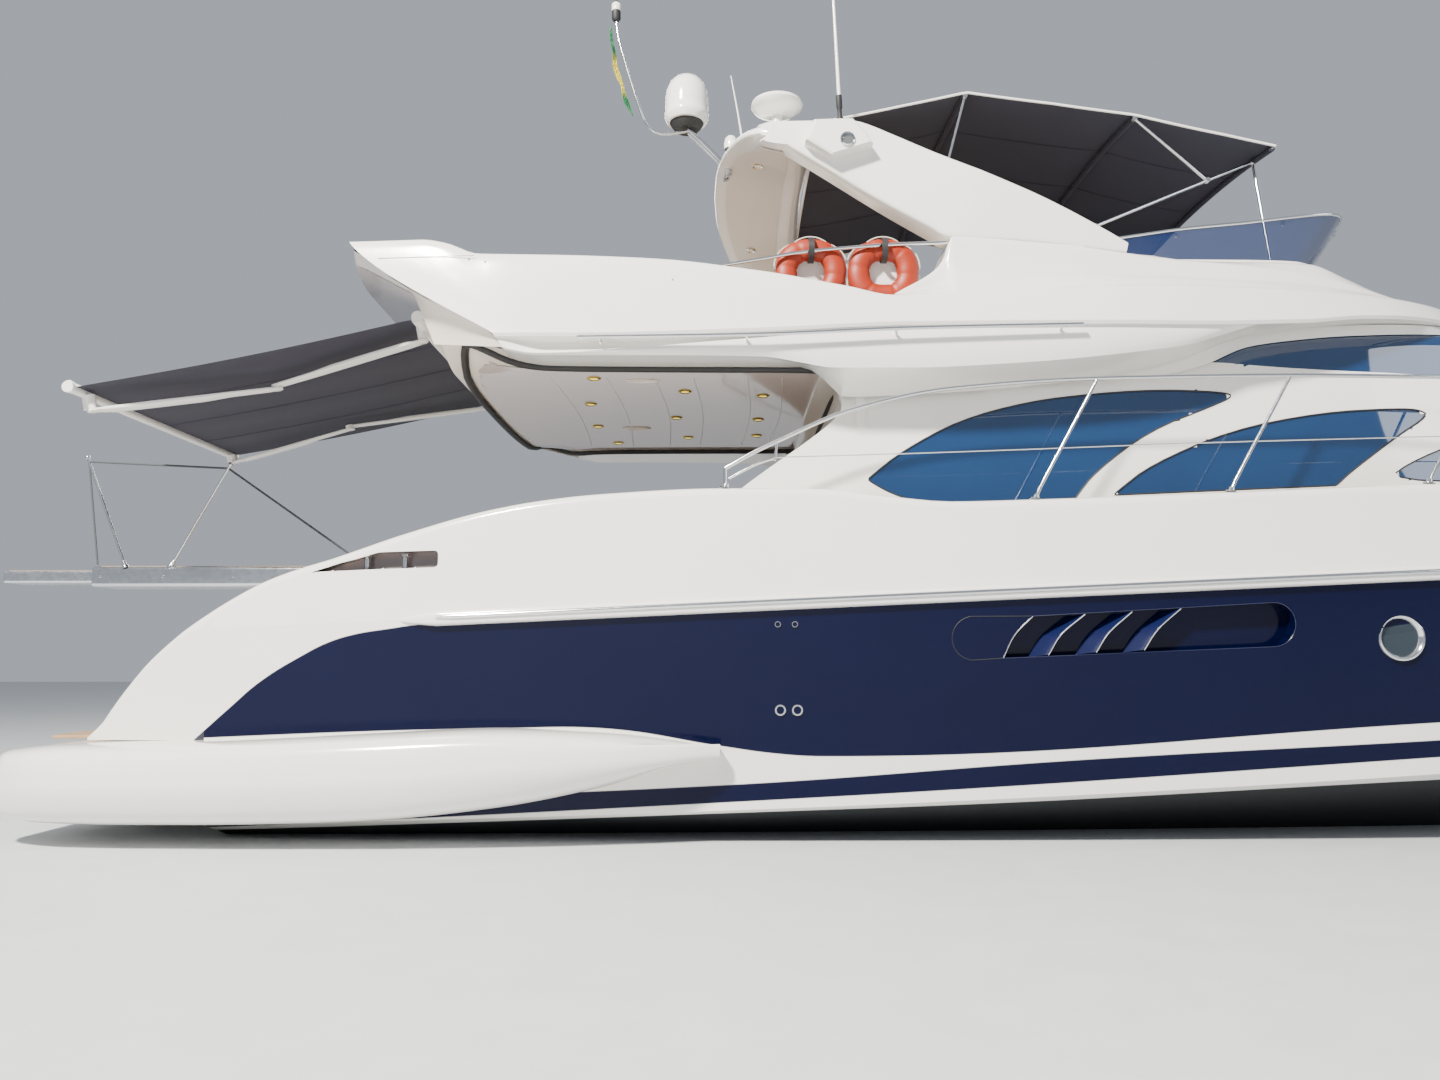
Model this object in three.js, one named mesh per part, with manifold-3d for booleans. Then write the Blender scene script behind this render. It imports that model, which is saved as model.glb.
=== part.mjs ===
// Flybridge motor yacht, 20 m long. Millimetres.
// Origin amidships on the waterline, +X forward, +Y to port, +Z up.
import * as THREE from "three";
import { mergeVertices } from "three/addons/utils/BufferGeometryUtils.js";
import Module from "manifold-3d";

const wasm = await Module();
wasm.setup();

// Driving dimensions
const BOW_X = 10000;
const TRANSOM_X = -8400;
const PLATFORM_AFT_X = -10000;
const HALF_BEAM = 2500;
const GAP = 0.4;
const PLATFORM_Z = 780;
const PLATFORM_UNDERSIDE_Z = 160;
const SOLE_Z = 1620;
const SOLE_THICKNESS = 40;
const TUB_HALF = 1850;
const HOUSE_AFT_X = -3200;
const HOUSE_FORE_X = 4900;
const HOUSE_WALL = 80;
const CEILING_Z = 3850;
const FLY_DECK_Z = 4050;
const FLY_HALF = 2420;
const ARCH_HALF = 1900;
const LEG_THICKNESS = 240;
const CANOPY_HALF = 1700;
const SHAFT_Y = 950;
const PROPELLER_RADIUS = 370;
const ENGINE = { length: 1900, width: 900, height: 1150, x: -5600, y: 750, z: 60 };
const GANGWAY = { y: 175, hingeX: -7800, low: 2120, high: 2320, half: 230, aft: -10600 };
const AWNING = { half: 1600, rollerX: -7015.5, rollerZ: 4350, slope: 0.2042, roller: 75 };
// Folding arms, measured down the slope of the cloth: shoulder, wrist, and how far the elbow
// is drawn in; each of the four arm pieces has a level of its own under the cloth
const ARM = { y: 1400, shoulder: 40, wrist: 2973, bend: 400, half: 30, height: 24 };
const ARM_LEVEL = { port: { upper: 92, fore: 121 }, starboard: { upper: 150, fore: 179 } };

// Finishes: colour, roughness, metalness
const finish = (color, roughness, metalness = 0) =>
  new THREE.MeshStandardMaterial({ color, roughness, metalness });
const FINISHES = {
  navy: finish(0x0b1440, 0.15),
  gelcoat: finish(0xf1efe8, 0.25),
  teak: finish(0x9a6b43, 0.6),
  steel: finish(0xc9ccd0, 0.2, 1),
  bronze: finish(0x9a7a3c, 0.35, 1),
  glass: finish(0x12305c, 0.05),
  canvas: finish(0x20222c, 0.85),
  cushion: finish(0xe8e2d4, 0.8),
  buoy: finish(0xe8491c, 0.5),
  engine: finish(0xb9bcbd, 0.5),
};

const yacht = new THREE.Group();

// Straight-line reading of a table whose rows are [x, value]
function along(table, x) {
  const last = table.length - 1;
  if (x <= table[0][0]) return table[0][1];
  if (x >= table[last][0]) return table[last][1];
  const i = table.findIndex((row) => row[0] > x);
  const [x0, v0] = table[i - 1];
  const [x1, v1] = table[i];
  return v0 + ((v1 - v0) * (x - x0)) / (x1 - x0);
}

// A closed mesh as a solid that can be joined and cut
function solid(geometry) {
  const bare = geometry.index ? geometry.toNonIndexed() : geometry.clone();
  bare.deleteAttribute("normal");
  bare.deleteAttribute("uv");
  const merged = mergeVertices(bare, 1e-3);
  const vertProperties = merged.attributes.position.array;
  const triVerts = new Uint32Array(merged.index.array);
  const made = new wasm.Manifold(new wasm.Mesh({ numProp: 3, vertProperties, triVerts }));
  if (made.volume() >= 0) return made;
  for (let i = 0; i < triVerts.length; i += 3) {
    [triVerts[i + 1], triVerts[i + 2]] = [triVerts[i + 2], triVerts[i + 1]];
  }
  return new wasm.Manifold(new wasm.Mesh({ numProp: 3, vertProperties, triVerts }));
}

function geometryOf(shape) {
  const mesh = shape.getMesh();
  const geometry = new THREE.BufferGeometry();
  geometry.setAttribute("position", new THREE.BufferAttribute(mesh.vertProperties, 3));
  geometry.setIndex(new THREE.BufferAttribute(mesh.triVerts, 1));
  geometry.computeVertexNormals();
  return geometry;
}

const join = (first, ...rest) => rest.reduce((whole, part) => whole.add(part), first);
const cut = (first, ...rest) => rest.reduce((whole, part) => whole.subtract(part), first);

function place(name, material, shape, parent = yacht) {
  const mesh = new THREE.Mesh(geometryOf(shape), FINISHES[material]);
  mesh.name = name;
  parent.add(mesh);
  return mesh;
}

// The same piece to port (side 1) and to starboard (side -1)
function placeBothSides(name, material, makeShape, pose = () => {}) {
  for (const [side, word] of [[1, "port"], [-1, "starboard"]]) {
    pose(place(`${word}_${name}`, material, makeShape(side)), side);
  }
}

// How an outline is laid in space: x takes (y, z), y takes (x, z), z takes (x, y)
const AXES = {
  x: new THREE.Matrix4().makeBasis(
    new THREE.Vector3(0, 1, 0), new THREE.Vector3(0, 0, 1), new THREE.Vector3(1, 0, 0)),
  y: new THREE.Matrix4().makeBasis(
    new THREE.Vector3(1, 0, 0), new THREE.Vector3(0, 0, 1), new THREE.Vector3(0, -1, 0)),
  z: new THREE.Matrix4(),
};

// An outline carried straight along one axis, between two places on it
function prism(axis, outline, from, to) {
  const shape = new THREE.Shape(outline.map(([a, b]) => new THREE.Vector2(a, b)));
  const low = Math.min(from, to);
  const high = Math.max(from, to);
  const geometry = new THREE.ExtrudeGeometry(shape, { depth: high - low, bevelEnabled: false });
  geometry.applyMatrix4(AXES[axis]);
  const start = { x: [low, 0, 0], y: [0, high, 0], z: [0, 0, low] }[axis];
  geometry.translate(...start);
  return solid(geometry);
}

function box(x0, x1, y0, y1, z0, z1) {
  const geometry = new THREE.BoxGeometry(x1 - x0, Math.abs(y1 - y0), z1 - z0);
  geometry.translate((x0 + x1) / 2, (y0 + y1) / 2, (z0 + z1) / 2);
  return solid(geometry);
}

// A round bar from one point to another, tapered where the second radius differs
function rod(from, to, radius, endRadius = radius, sides = 10) {
  const a = new THREE.Vector3(...from);
  const b = new THREE.Vector3(...to);
  const direction = b.clone().sub(a);
  const geometry = new THREE.CylinderGeometry(endRadius, radius, direction.length(), sides);
  const up = new THREE.Vector3(0, 1, 0);
  geometry.applyQuaternion(
    new THREE.Quaternion().setFromUnitVectors(up, direction.clone().normalize()));
  const middle = a.add(b).multiplyScalar(0.5);
  geometry.translate(middle.x, middle.y, middle.z);
  return solid(geometry);
}

// A bent round tube through the given points
function tube(points, radius, steps, sides = 8) {
  const path = new THREE.CatmullRomCurve3(points.map((p) => new THREE.Vector3(...p)));
  const section = new THREE.Shape(
    Array.from({ length: sides }, (_, i) => {
      const angle = (2 * Math.PI * i) / sides;
      return new THREE.Vector2(radius * Math.cos(angle), radius * Math.sin(angle));
    }));
  return solid(new THREE.ExtrudeGeometry(section, { steps, extrudePath: path }));
}

// A skin over rings of equal count, closed by a flat cap at each end
function loftGeometry(rings) {
  const across = (ring) => ring.map(([, y, z]) => new THREE.Vector2(y, z));
  if (THREE.ShapeUtils.area(across(rings[0])) < 0) rings = rings.map((r) => [...r].reverse());
  const count = rings[0].length;
  const positions = rings.flat(2);
  const index = [];
  for (let r = 0; r + 1 < rings.length; r++) {
    for (let i = 0; i < count; i++) {
      const a = r * count + i;
      const b = r * count + ((i + 1) % count);
      index.push(a, b, b + count, a, b + count, a + count);
    }
  }
  // the nudge keeps points that lie in one line from being dropped out of a cap
  const nudge = (i) => 0.02 * Math.sin(2.3 * i);
  for (const r of [0, rings.length - 1]) {
    const flat = rings[r].map(([, y, z], i) => new THREE.Vector2(y + nudge(i), z + nudge(i + 9)));
    for (const [a, b, c] of THREE.ShapeUtils.triangulateShape(flat, [])) {
      const base = r * count;
      if (r === 0) index.push(base + a, base + c, base + b);
      else index.push(base + a, base + b, base + c);
    }
  }
  const geometry = new THREE.BufferGeometry();
  geometry.setAttribute("position", new THREE.Float32BufferAttribute(positions, 3));
  geometry.setIndex(index);
  return geometry;
}
const loft = (rings) => solid(loftGeometry(rings));

// A skin over rings that follow one another along another axis than x
const CYCLE = { y: [1, 2, 0], z: [2, 0, 1] };
function loftAlong(axis, rings) {
  const order = CYCLE[axis];
  const turned = rings.map((ring) => ring.map((point) => order.map((i) => point[i])));
  const basis = order.map((i) => new THREE.Vector3().setComponent(i, 1));
  return solid(loftGeometry(turned).applyMatrix4(new THREE.Matrix4().makeBasis(...basis)));
}

// Rings across the boat at each station, from a half section of [y, z] points
const fullRing = (x, half) => [
  ...half.map(([y, z]) => [x, y, z]),
  ...half.slice().reverse().filter(([y]) => y > 0).map(([y, z]) => [x, -y, z]),
];
const acrossLoft = (stations, halfSection) =>
  loft(stations.map((x) => fullRing(x, halfSection(x))));
// Rings on one side only, from a whole section of [y, z] points
const sideLoft = (stations, side, section) =>
  loft(stations.map((x) => section(x).map(([y, z]) => [x, side * y, z])));

// Lines of the hull
const rubZ = (x) => 2010 + 0.045 * x;
function rubHalf(x) {
  if (x < 0) return HALF_BEAM * (1 - 0.08 * (x / TRANSOM_X) ** 2);
  return HALF_BEAM * (1 - (x / (BOW_X + 150)) ** 2.8);
}
function chineZ(x) {
  const t = (x + 4700) / 1000;
  return 220 + 38 * t + 2.2 * t * t;
}
const chineHalf = (x) => (x < 0 ? 2280 - 12 * (x / 1000) ** 2 * 0.25
  : Math.max(2280 * (1 - (x / 8800) ** 2.4), 15));
function keelZ(x) {
  const aft = -900 + 30 * Math.max(0, -x / 1000 - 2);
  if (x < 4000) return aft;
  return -900 + 3120 * ((x - 4000) / 6000) ** 2.2;
}

// Half section of the hull, keel to rub line, flared forward
function hullHalf(x, top = rubZ(x)) {
  const keel = keelZ(x);
  const chine = Math.max(chineZ(x), keel + 12);
  const out = chineHalf(x);
  const rub = rubHalf(x);
  const flare = 1 + 0.9 * Math.max(0, x / BOW_X);
  const side = [0.33, 0.66, 1].map((t) => [
    out + 45 + (rub - out - 45) * t ** flare,
    chine + 25 + (top - chine - 25) * t,
  ]);
  return [
    [0, keel],
    [out * 0.5, keel + (chine - keel) * 0.56],
    [out, chine],
    [out + 45, chine + 25],
    ...side,
  ];
}
// Stations that hull, topsides and rub rails share, so that their skins meet
const SHARED_STATIONS = [
  -9330, -9140, -8850, TRANSOM_X, -8210, -7870, -7590, -7290, -6870, -6260, -5330, -4400,
  -3200, -1500, 0, 1500, 3000, 4200, 5300, 6300, 7200, 8000, 8600, 9100, 9500, 9800, 9930,
];
const between = (low, high) => SHARED_STATIONS.filter((x) => x >= low && x <= high);
const HULL_STATIONS = [...between(TRANSOM_X, BOW_X), BOW_X];

// The hull closes at the rub line. Cut into it: cockpit and saloon tub, garage, engine pit,
// and on each side the long vent recess and the pocket of the porthole.
const VENT = { aft: [-2050, 1594], fore: [-190, 1665], half: 145, lean: 190, depth: 140 };
const PORTHOLE = { x: 790, z: 1570, radius: 160, depth: 40 };
// A slot with a round fore end, and an aft end that leans forward
function ventOutline() {
  const rise = (VENT.fore[1] - VENT.aft[1]) / (VENT.fore[0] - VENT.aft[0]);
  const round = Array.from({ length: 9 }, (_, i) => {
    const angle = -Math.PI / 2 + (Math.PI * i) / 8;
    return [VENT.fore[0] + VENT.half * Math.cos(angle), VENT.fore[1] + VENT.half * Math.sin(angle)];
  });
  const aftEnd = [VENT.lean, -VENT.lean].map((lean) => {
    const x = VENT.aft[0] + lean / 2;
    return [x, VENT.aft[1] + (rise * lean) / 2 + Math.sign(lean) * VENT.half];
  });
  return [...round, ...aftEnd];
}
const SALOON = { straightX: 1500, foreX: 3500, foreHalf: 1500 };
const GARAGE = { fore: -6900, half: 1150, low: 800, high: 1480 };
const ENGINE_PIT = { aft: -6700, fore: -4500, half: 1400, low: 40 };
function hull() {
  const body = acrossLoft(HULL_STATIONS, (x) => hullHalf(x));
  const heel = acrossLoft([-9500, -8900, TRANSOM_X + 50], (x) => [
    [0, keelZ(x) + 0.25 * Math.max(0, TRANSOM_X - x)],
    [chineHalf(x), Math.min(chineZ(x), PLATFORM_UNDERSIDE_Z - 30)],
    [chineHalf(x) + 45, PLATFORM_UNDERSIDE_Z],
  ]);
  const tub = prism("z", [
    [TRANSOM_X - 10, -TUB_HALF], [SALOON.straightX, -TUB_HALF], [SALOON.foreX, -SALOON.foreHalf],
    [SALOON.foreX, SALOON.foreHalf], [SALOON.straightX, TUB_HALF], [TRANSOM_X - 10, TUB_HALF],
  ], SOLE_Z, SOLE_Z + 1400);
  const garage = box(TRANSOM_X - 10, GARAGE.fore, -GARAGE.half, GARAGE.half, GARAGE.low,
    GARAGE.high);
  const pit = box(ENGINE_PIT.aft, ENGINE_PIT.fore, -ENGINE_PIT.half, ENGINE_PIT.half,
    ENGINE_PIT.low, SOLE_Z + 100);
  const recesses = [1, -1].flatMap((side) => [
    prism("y", ventOutline(), side * (HALF_BEAM - VENT.depth), side * (HALF_BEAM + 100)),
    rod([PORTHOLE.x, side * (HALF_BEAM - PORTHOLE.depth), PORTHOLE.z],
      [PORTHOLE.x, side * (HALF_BEAM + 100), PORTHOLE.z], PORTHOLE.radius, PORTHOLE.radius, 20),
  ]);
  return cut(join(body, heel), tub, garage, pit, ...recesses);
}
const hullSolid = hull();
place("hull", "navy", hullSolid);
placeBothSides("engine", "engine", (side) =>
  box(ENGINE.x - ENGINE.length / 2, ENGINE.x + ENGINE.length / 2,
    side * (ENGINE.y - ENGINE.width / 2), side * (ENGINE.y + ENGINE.width / 2),
    ENGINE.z, ENGINE.z + ENGINE.height));

// Running gear under the hull: shaft with its bracket, propeller, rudder, on each side
const SHAFT = { foreX: -5300, foreZ: -450, aftX: -8130, aftZ: -880, radius: 38 };
const shaftSlope = Math.atan2(SHAFT.foreZ - SHAFT.aftZ, SHAFT.foreX - SHAFT.aftX);
const shaftPoint = (x) => SHAFT.aftZ + (x - SHAFT.aftX) * Math.tan(shaftSlope);
const PROPELLER_X = -8000;
placeBothSides("shaft", "steel", (side) => {
  const y = side * SHAFT_Y;
  const bar = rod([SHAFT.foreX, y, SHAFT.foreZ], [SHAFT.aftX, y, SHAFT.aftZ], SHAFT.radius);
  const strut = box(-7700, -7540, y - 15, y + 15, shaftPoint(-7600), -330);
  const boss = rod([-7780, y, shaftPoint(-7780)], [-7480, y, shaftPoint(-7480)], 62);
  return cut(join(bar, strut, boss), hullSolid);
});
placeBothSides("propeller", "bronze", (side) => {
  const hub = new THREE.CylinderGeometry(85, 62, 210, 14);
  hub.rotateZ(Math.PI / 2);
  const blades = Array.from({ length: 4 }, (_, i) => {
    const outline = new THREE.Shape();
    outline.moveTo(-50, 50);
    outline.quadraticCurveTo(-190, 210, -110, PROPELLER_RADIUS - 30);
    outline.quadraticCurveTo(0, PROPELLER_RADIUS + 18, 100, PROPELLER_RADIUS - 60);
    outline.quadraticCurveTo(140, 200, 50, 50);
    const blade = new THREE.ExtrudeGeometry(outline, {
      depth: 16, bevelEnabled: false, curveSegments: 4,
    });
    blade.translate(0, 0, -8);
    blade.rotateY(side * 0.62 + Math.PI / 2);
    blade.rotateX((i * Math.PI) / 2);
    return solid(blade);
  });
  const bore = rod([-300, 0, 0], [300, 0, 0], SHAFT.radius * 1.06 + 0.6);
  return cut(join(solid(hub), ...blades), bore);
}, (mesh, side) => {
  mesh.position.set(PROPELLER_X, side * SHAFT_Y, shaftPoint(PROPELLER_X));
  mesh.rotation.y = -shaftSlope;
});
const RUDDER = { x: -8760, top: -395, bottom: -1080, stockTop: -330 };
placeBothSides("rudder", "bronze", (side) => {
  const y = side * SHAFT_Y;
  const foil = [[140, 0], [85, 26], [-45, 30], [-280, 6], [-280, -6], [-45, -30], [85, -26]];
  const outline = foil.map(([dx, dy]) => [RUDDER.x + dx, y + dy]);
  const stock = rod([RUDDER.x, y, RUDDER.top - 60], [RUDDER.x, y, RUDDER.stockTop], 24);
  return join(prism("z", outline, RUDDER.bottom, RUDDER.top), stock);
});

// Swim platform: a thick slab behind the transom, whose sides run forward along the hull
// as tapering bulges
const BULGE = [ // x, half width outside, top z, bottom z
  [PLATFORM_AFT_X, 2180, 640, 240],
  [-9850, 2400, 710, 185],
  [-9400, 2620, 765, 175],
  [-8400, 2700, 779, 170],
  [-7000, 2740, 850, 205],
  [-6050, 2720, 885, 300],
  [-5300, 2660, 860, 440],
  [-4750, 2560, 800, 590],
  [-4400, 2470, 745, 690],
];
// The raised deck panel that lies behind the stern
const PANEL = { aft: -9880, fore: -9380, half: 1750, proud: 10 };
function platform() {
  const round = 0.72;
  const bulge = (side) => loft(BULGE.map(([x, out, top, bottom]) => {
    const inner = 1900;
    const middle = (top + bottom) / 2;
    return [
      [x, side * inner, bottom], [x, side * (inner + (out - inner) * round), bottom],
      [x, side * out, middle - 40], [x, side * out, middle + 60],
      [x, side * (out - 60), top - 45], [x, side * (inner + (out - inner) * round), top],
      [x, side * inner, top],
    ];
  }));
  const slab = prism("y", [
    [PLATFORM_AFT_X, 280], [PLATFORM_AFT_X + 90, 200], [-9600, PLATFORM_UNDERSIDE_Z + GAP],
    [TRANSOM_X - GAP, PLATFORM_UNDERSIDE_Z + GAP], [TRANSOM_X - GAP, PLATFORM_Z],
    [-9600, PLATFORM_Z], [PLATFORM_AFT_X + 60, 760], [PLATFORM_AFT_X, 710],
  ], -2150, 2150);
  const panel = box(PANEL.aft, PANEL.fore, -PANEL.half, PANEL.half, 740, PLATFORM_Z + PANEL.proud);
  return cut(join(slab, bulge(1), bulge(-1), panel), hullClearance);
}
// The hull drawn a hair larger, to cut its neighbours clear of it
const hullClearance = join(
  acrossLoft(HULL_STATIONS, (x) => {
    const half = hullHalf(x, rubZ(x) + GAP);
    return half.map(([y, z], i) => [y === 0 ? 0 : y + 0.5, i < 4 ? z - 0.5 : z]);
  }),
  box(-9600, TRANSOM_X, -2140, 2140, -1500, PLATFORM_UNDERSIDE_Z + GAP / 2),
);
place("swim_platform", "gelcoat", platform());

// Stern between the wings: garage front, sloping, with a flight of steps on each side
const STERN = { topX: -8402, footX: -8900, halfFront: 1240, stepHalf: 1840, steps: 4 };
const DOOR = { half: 1130, top: 1470, bottom: 800, thickness: 50, play: 8 };
const sternSlopeX = (z) =>
  STERN.topX - 60 - ((STERN.topX - STERN.footX - 60) * (SOLE_Z - z)) / (SOLE_Z - PLATFORM_Z);
function stern() {
  const z0 = PLATFORM_Z + GAP;
  const front = prism("y", [
    [TRANSOM_X - GAP, z0], [TRANSOM_X - GAP, SOLE_Z], [sternSlopeX(SOLE_Z), SOLE_Z],
    [sternSlopeX(z0), z0],
  ], -STERN.halfFront, STERN.halfFront);
  const flights = [1, -1].map((side) => {
    const outline = [[TRANSOM_X - GAP, z0], [TRANSOM_X - GAP, SOLE_Z]];
    const rise = (SOLE_Z - PLATFORM_Z) / STERN.steps;
    for (let i = 0; i < STERN.steps; i++) {
      const x = STERN.topX - 60 - 190 * i;
      outline.push([x, SOLE_Z - rise * i], [x, SOLE_Z - rise * (i + 1)]);
    }
    outline.pop();
    outline.push([STERN.topX - 60 - 190 * (STERN.steps - 1), z0]);
    return prism("y", outline, side * (STERN.halfFront - 20), side * STERN.stepHalf);
  });
  const doorway = box(-9300, TRANSOM_X + 100, -DOOR.half - DOOR.play, DOOR.half + DOOR.play,
    DOOR.bottom - DOOR.play, DOOR.top + 30);
  return cut(join(front, ...flights), doorway);
}
place("stern_steps", "gelcoat", stern());
place("garage_door", "gelcoat", prism("y", [
  [sternSlopeX(DOOR.bottom), DOOR.bottom],
  [sternSlopeX(DOOR.top), DOOR.top],
  [sternSlopeX(DOOR.top) + DOOR.thickness, DOOR.top],
  [sternSlopeX(DOOR.bottom) + DOOR.thickness, DOOR.bottom],
], -DOOR.half, DOOR.half));

// Topsides above the rub line: bulwark, side deck and foredeck forward, and the high
// quarter that falls to the platform as a wing aft
const BULWARK_TOP = [ // x, z
  [-9330, 810], [-9140, 980], [-8850, 1400], [-8480, 1710], [-8210, 1880], [-7870, 2080],
  [-7590, 2110], [-7290, 2260], [-6870, 2400], [-6260, 2580], [-5330, 2710], [-4400, 2742],
  [-3200, 2665], [-1500, 2662], [0, 2718], [1500, 2778], [3000, 2808], [6000, 2860],
  [BOW_X, 2990],
];
const bulwarkTop = (x) => along(BULWARK_TOP, x);
const sideDeckZ = (x) => 2450 + 0.022 * (x - HOUSE_AFT_X);
const BULWARK_THICKNESS = 130;
const TUMBLEHOME = 0.09;
const bulwarkOut = (x) => rubHalf(x) - TUMBLEHOME * (bulwarkTop(x) - rubZ(x));
const QUARTER_END = -3200;
function quarter(side) {
  const stations = [...between(-9330, QUARTER_END), TRANSOM_X - 1].sort((a, b) => a - b);
  const body = sideLoft(stations, side, (x) => {
    const foot = x < TRANSOM_X ? PLATFORM_Z + GAP : rubZ(x) + GAP;
    const top = bulwarkTop(x);
    const out = rubHalf(x);
    const lean = TUMBLEHOME * Math.max(0, top - rubZ(x));
    return [
      [TUB_HALF + 4, foot], [out, foot], [out, Math.min(Math.max(rubZ(x), foot + 5), top - 10)],
      [out - lean - 30, top - 6], [out - lean - 80, top], [TUB_HALF + 4, top],
    ];
  });
  const slot = prism("y", [[-7500, 2110], [-6570, 2110], [-6570, 2225], [-7300, 2225]],
    side * 2140, side * 2600);
  return cut(body, slot);
}
const SALOON_OPENING = [
  [HOUSE_AFT_X - 300, TUB_HALF], [1500, TUB_HALF], [3500, 1500], [4300, 1200],
  [4300, -1200], [3500, -1500], [1500, -TUB_HALF], [HOUSE_AFT_X - 300, -TUB_HALF],
];
function foreTopsides() {
  return acrossLoft([QUARTER_END - 100, ...between(QUARTER_END, BOW_X)], (x) => {
    const out = rubHalf(x);
    const top = bulwarkTop(x);
    const outTop = Math.max(bulwarkOut(x), 60);
    const inner = Math.max(outTop - BULWARK_THICKNESS, 12);
    return [
      [0, rubZ(x) + GAP], [out, rubZ(x) + GAP], [outTop + 8, top - 12], [outTop - 12, top],
      [inner, top], [inner - 6, sideDeckZ(x)], [0, sideDeckZ(x)],
    ];
  });
}
// Side decks and foredeck between the bulwarks, drawn in by a clearance all round
const DECK_FORE_X = 9300;
function deckPlate(inset, low) {
  const stations = [QUARTER_END + inset, ...between(QUARTER_END + 1, DECK_FORE_X - 1),
    DECK_FORE_X - inset];
  return acrossLoft(stations, (x) => {
    const half = bulwarkOut(x) - BULWARK_THICKNESS - 6 - inset;
    return [[0, rubZ(x) + low], [half, rubZ(x) + low], [half, sideDeckZ(x)], [0, sideDeckZ(x)]];
  });
}
// Low trunk ahead of the windscreen, with the hatch recess in its top
const TRUNK_TOP = [[HOUSE_FORE_X, 3330], [6000, 3130], [7200, 2950], [8300, 2720]];
const trunkHalf = (x) => 1270 - 0.085 * Math.max(0, x - HOUSE_FORE_X) * ((x - 3000) / 4500);
function trunk() {
  const stations = [HOUSE_FORE_X + GAP, 5400, 6000, 6600, 7200, 7800, 8300];
  return acrossLoft(stations, (x) => {
    const half = Math.min(trunkHalf(x), bulwarkOut(x) - BULWARK_THICKNESS - 80);
    const top = along(TRUNK_TOP, x);
    return [
      [0, sideDeckZ(x) - 60], [half + 60, sideDeckZ(x) - 60],
      [half, Math.max(top - 130, sideDeckZ(x) - 20)],
      [half - 130, Math.max(top - 25, sideDeckZ(x))],
      [0, Math.max(top, sideDeckZ(x) + 40)],
    ];
  });
}
const HATCH = { aft: 6300, fore: 6900, half: 300, depth: 40, proud: 12, play: 8 };
// A slab that follows the slope of the trunk's top, from below it to above it
const onTrunk = (aft, fore, half, below, above) => prism("y", [
  [aft, along(TRUNK_TOP, aft) - below], [fore, along(TRUNK_TOP, fore) - below],
  [fore, along(TRUNK_TOP, fore) + above], [aft, along(TRUNK_TOP, aft) + above],
], -half, half);
function topsides() {
  const saloon = prism("z", SALOON_OPENING, 1000, 4000);
  const pocket = onTrunk(HATCH.aft - HATCH.play, HATCH.fore + HATCH.play,
    HATCH.half + HATCH.play, HATCH.depth + 6, 300);
  const bulwarks = cut(join(foreTopsides(), quarter(1), quarter(-1)), deckPlate(0, -100));
  return {
    sides: cut(bulwarks, saloon, hullClearance),
    decks: cut(join(deckPlate(GAP, GAP), trunk()), saloon, pocket, hullClearance),
  };
}
const { sides, decks } = topsides();
place("topsides", "gelcoat", sides);
place("foredeck", "gelcoat", decks);
place("foredeck_hatch", "glass", onTrunk(HATCH.aft, HATCH.fore, HATCH.half, HATCH.depth,
  HATCH.proud));
place("foredeck_sunpad", "cushion", onTrunk(5050, 6150, 1000, -6, 110));

// Rub rail: a white strip with a steel cap, along the join of hull and topsides
placeBothSides("rub_rail", "steel", (side) => sideLoft(between(-6870, BOW_X), side, (x) => {
  const out = rubHalf(x);
  const z = rubZ(x);
  const proud = along([[-6870, 22], [-6590, 50], [9300, 50], [9930, 30]], x);
  return [[out + 1, z - 48], [out + proud - 14, z - 48], [out + proud, z - 14],
    [out + proud, z + 14], [out + proud - 14, z + 48], [out + 1, z + 48]];
}));

// Cockpit: teak sole, aft sofa, table on its pedestal
place("teak_sole", "teak", prism("z", [
  [TRANSOM_X + 2, -TUB_HALF + 5], [SALOON.straightX - 5, -TUB_HALF + 5],
  [SALOON.foreX - 5, -SALOON.foreHalf + 10], [SALOON.foreX - 5, SALOON.foreHalf - 10],
  [SALOON.straightX - 5, TUB_HALF - 5], [TRANSOM_X + 2, TUB_HALF - 5],
], SOLE_Z + GAP, SOLE_Z + SOLE_THICKNESS));
const COCKPIT_FLOOR = SOLE_Z + SOLE_THICKNESS + GAP;
place("cockpit_sofa", "cushion", prism("y", [
  [-7500, COCKPIT_FLOOR], [-7500, 2310], [-7330, 2310], [-7260, 2110], [-6680, 2090],
  [-6680, COCKPIT_FLOOR],
], -1200, 1200));
place("cockpit_table", "teak", join(
  box(-6200, -5300, -750, 750, 2330, 2375),
  rod([-5750, 0, COCKPIT_FLOOR], [-5750, 0, 2340], 60, 60, 12)));

// Deckhouse: a hollow shell whose windows, windscreen and aft doorway are cut out
const ROOF = [ // x, z
  [HOUSE_AFT_X, 3848], [-1340, 3848], [-530, 3870], [30, 4100], [870, 4190], [1630, 4215],
  [2300, 4180], [3000, 3990], [4000, 3670], [HOUSE_FORE_X, 3345],
];
const HOUSE_STATIONS = [...ROOF.map(([x]) => x), -2300, 1200, 3500, 4500].sort((a, b) => a - b);
const houseHalf = (x) => 1980 - 3.6e-5 * Math.max(0, x - 500) ** 2;
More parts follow.
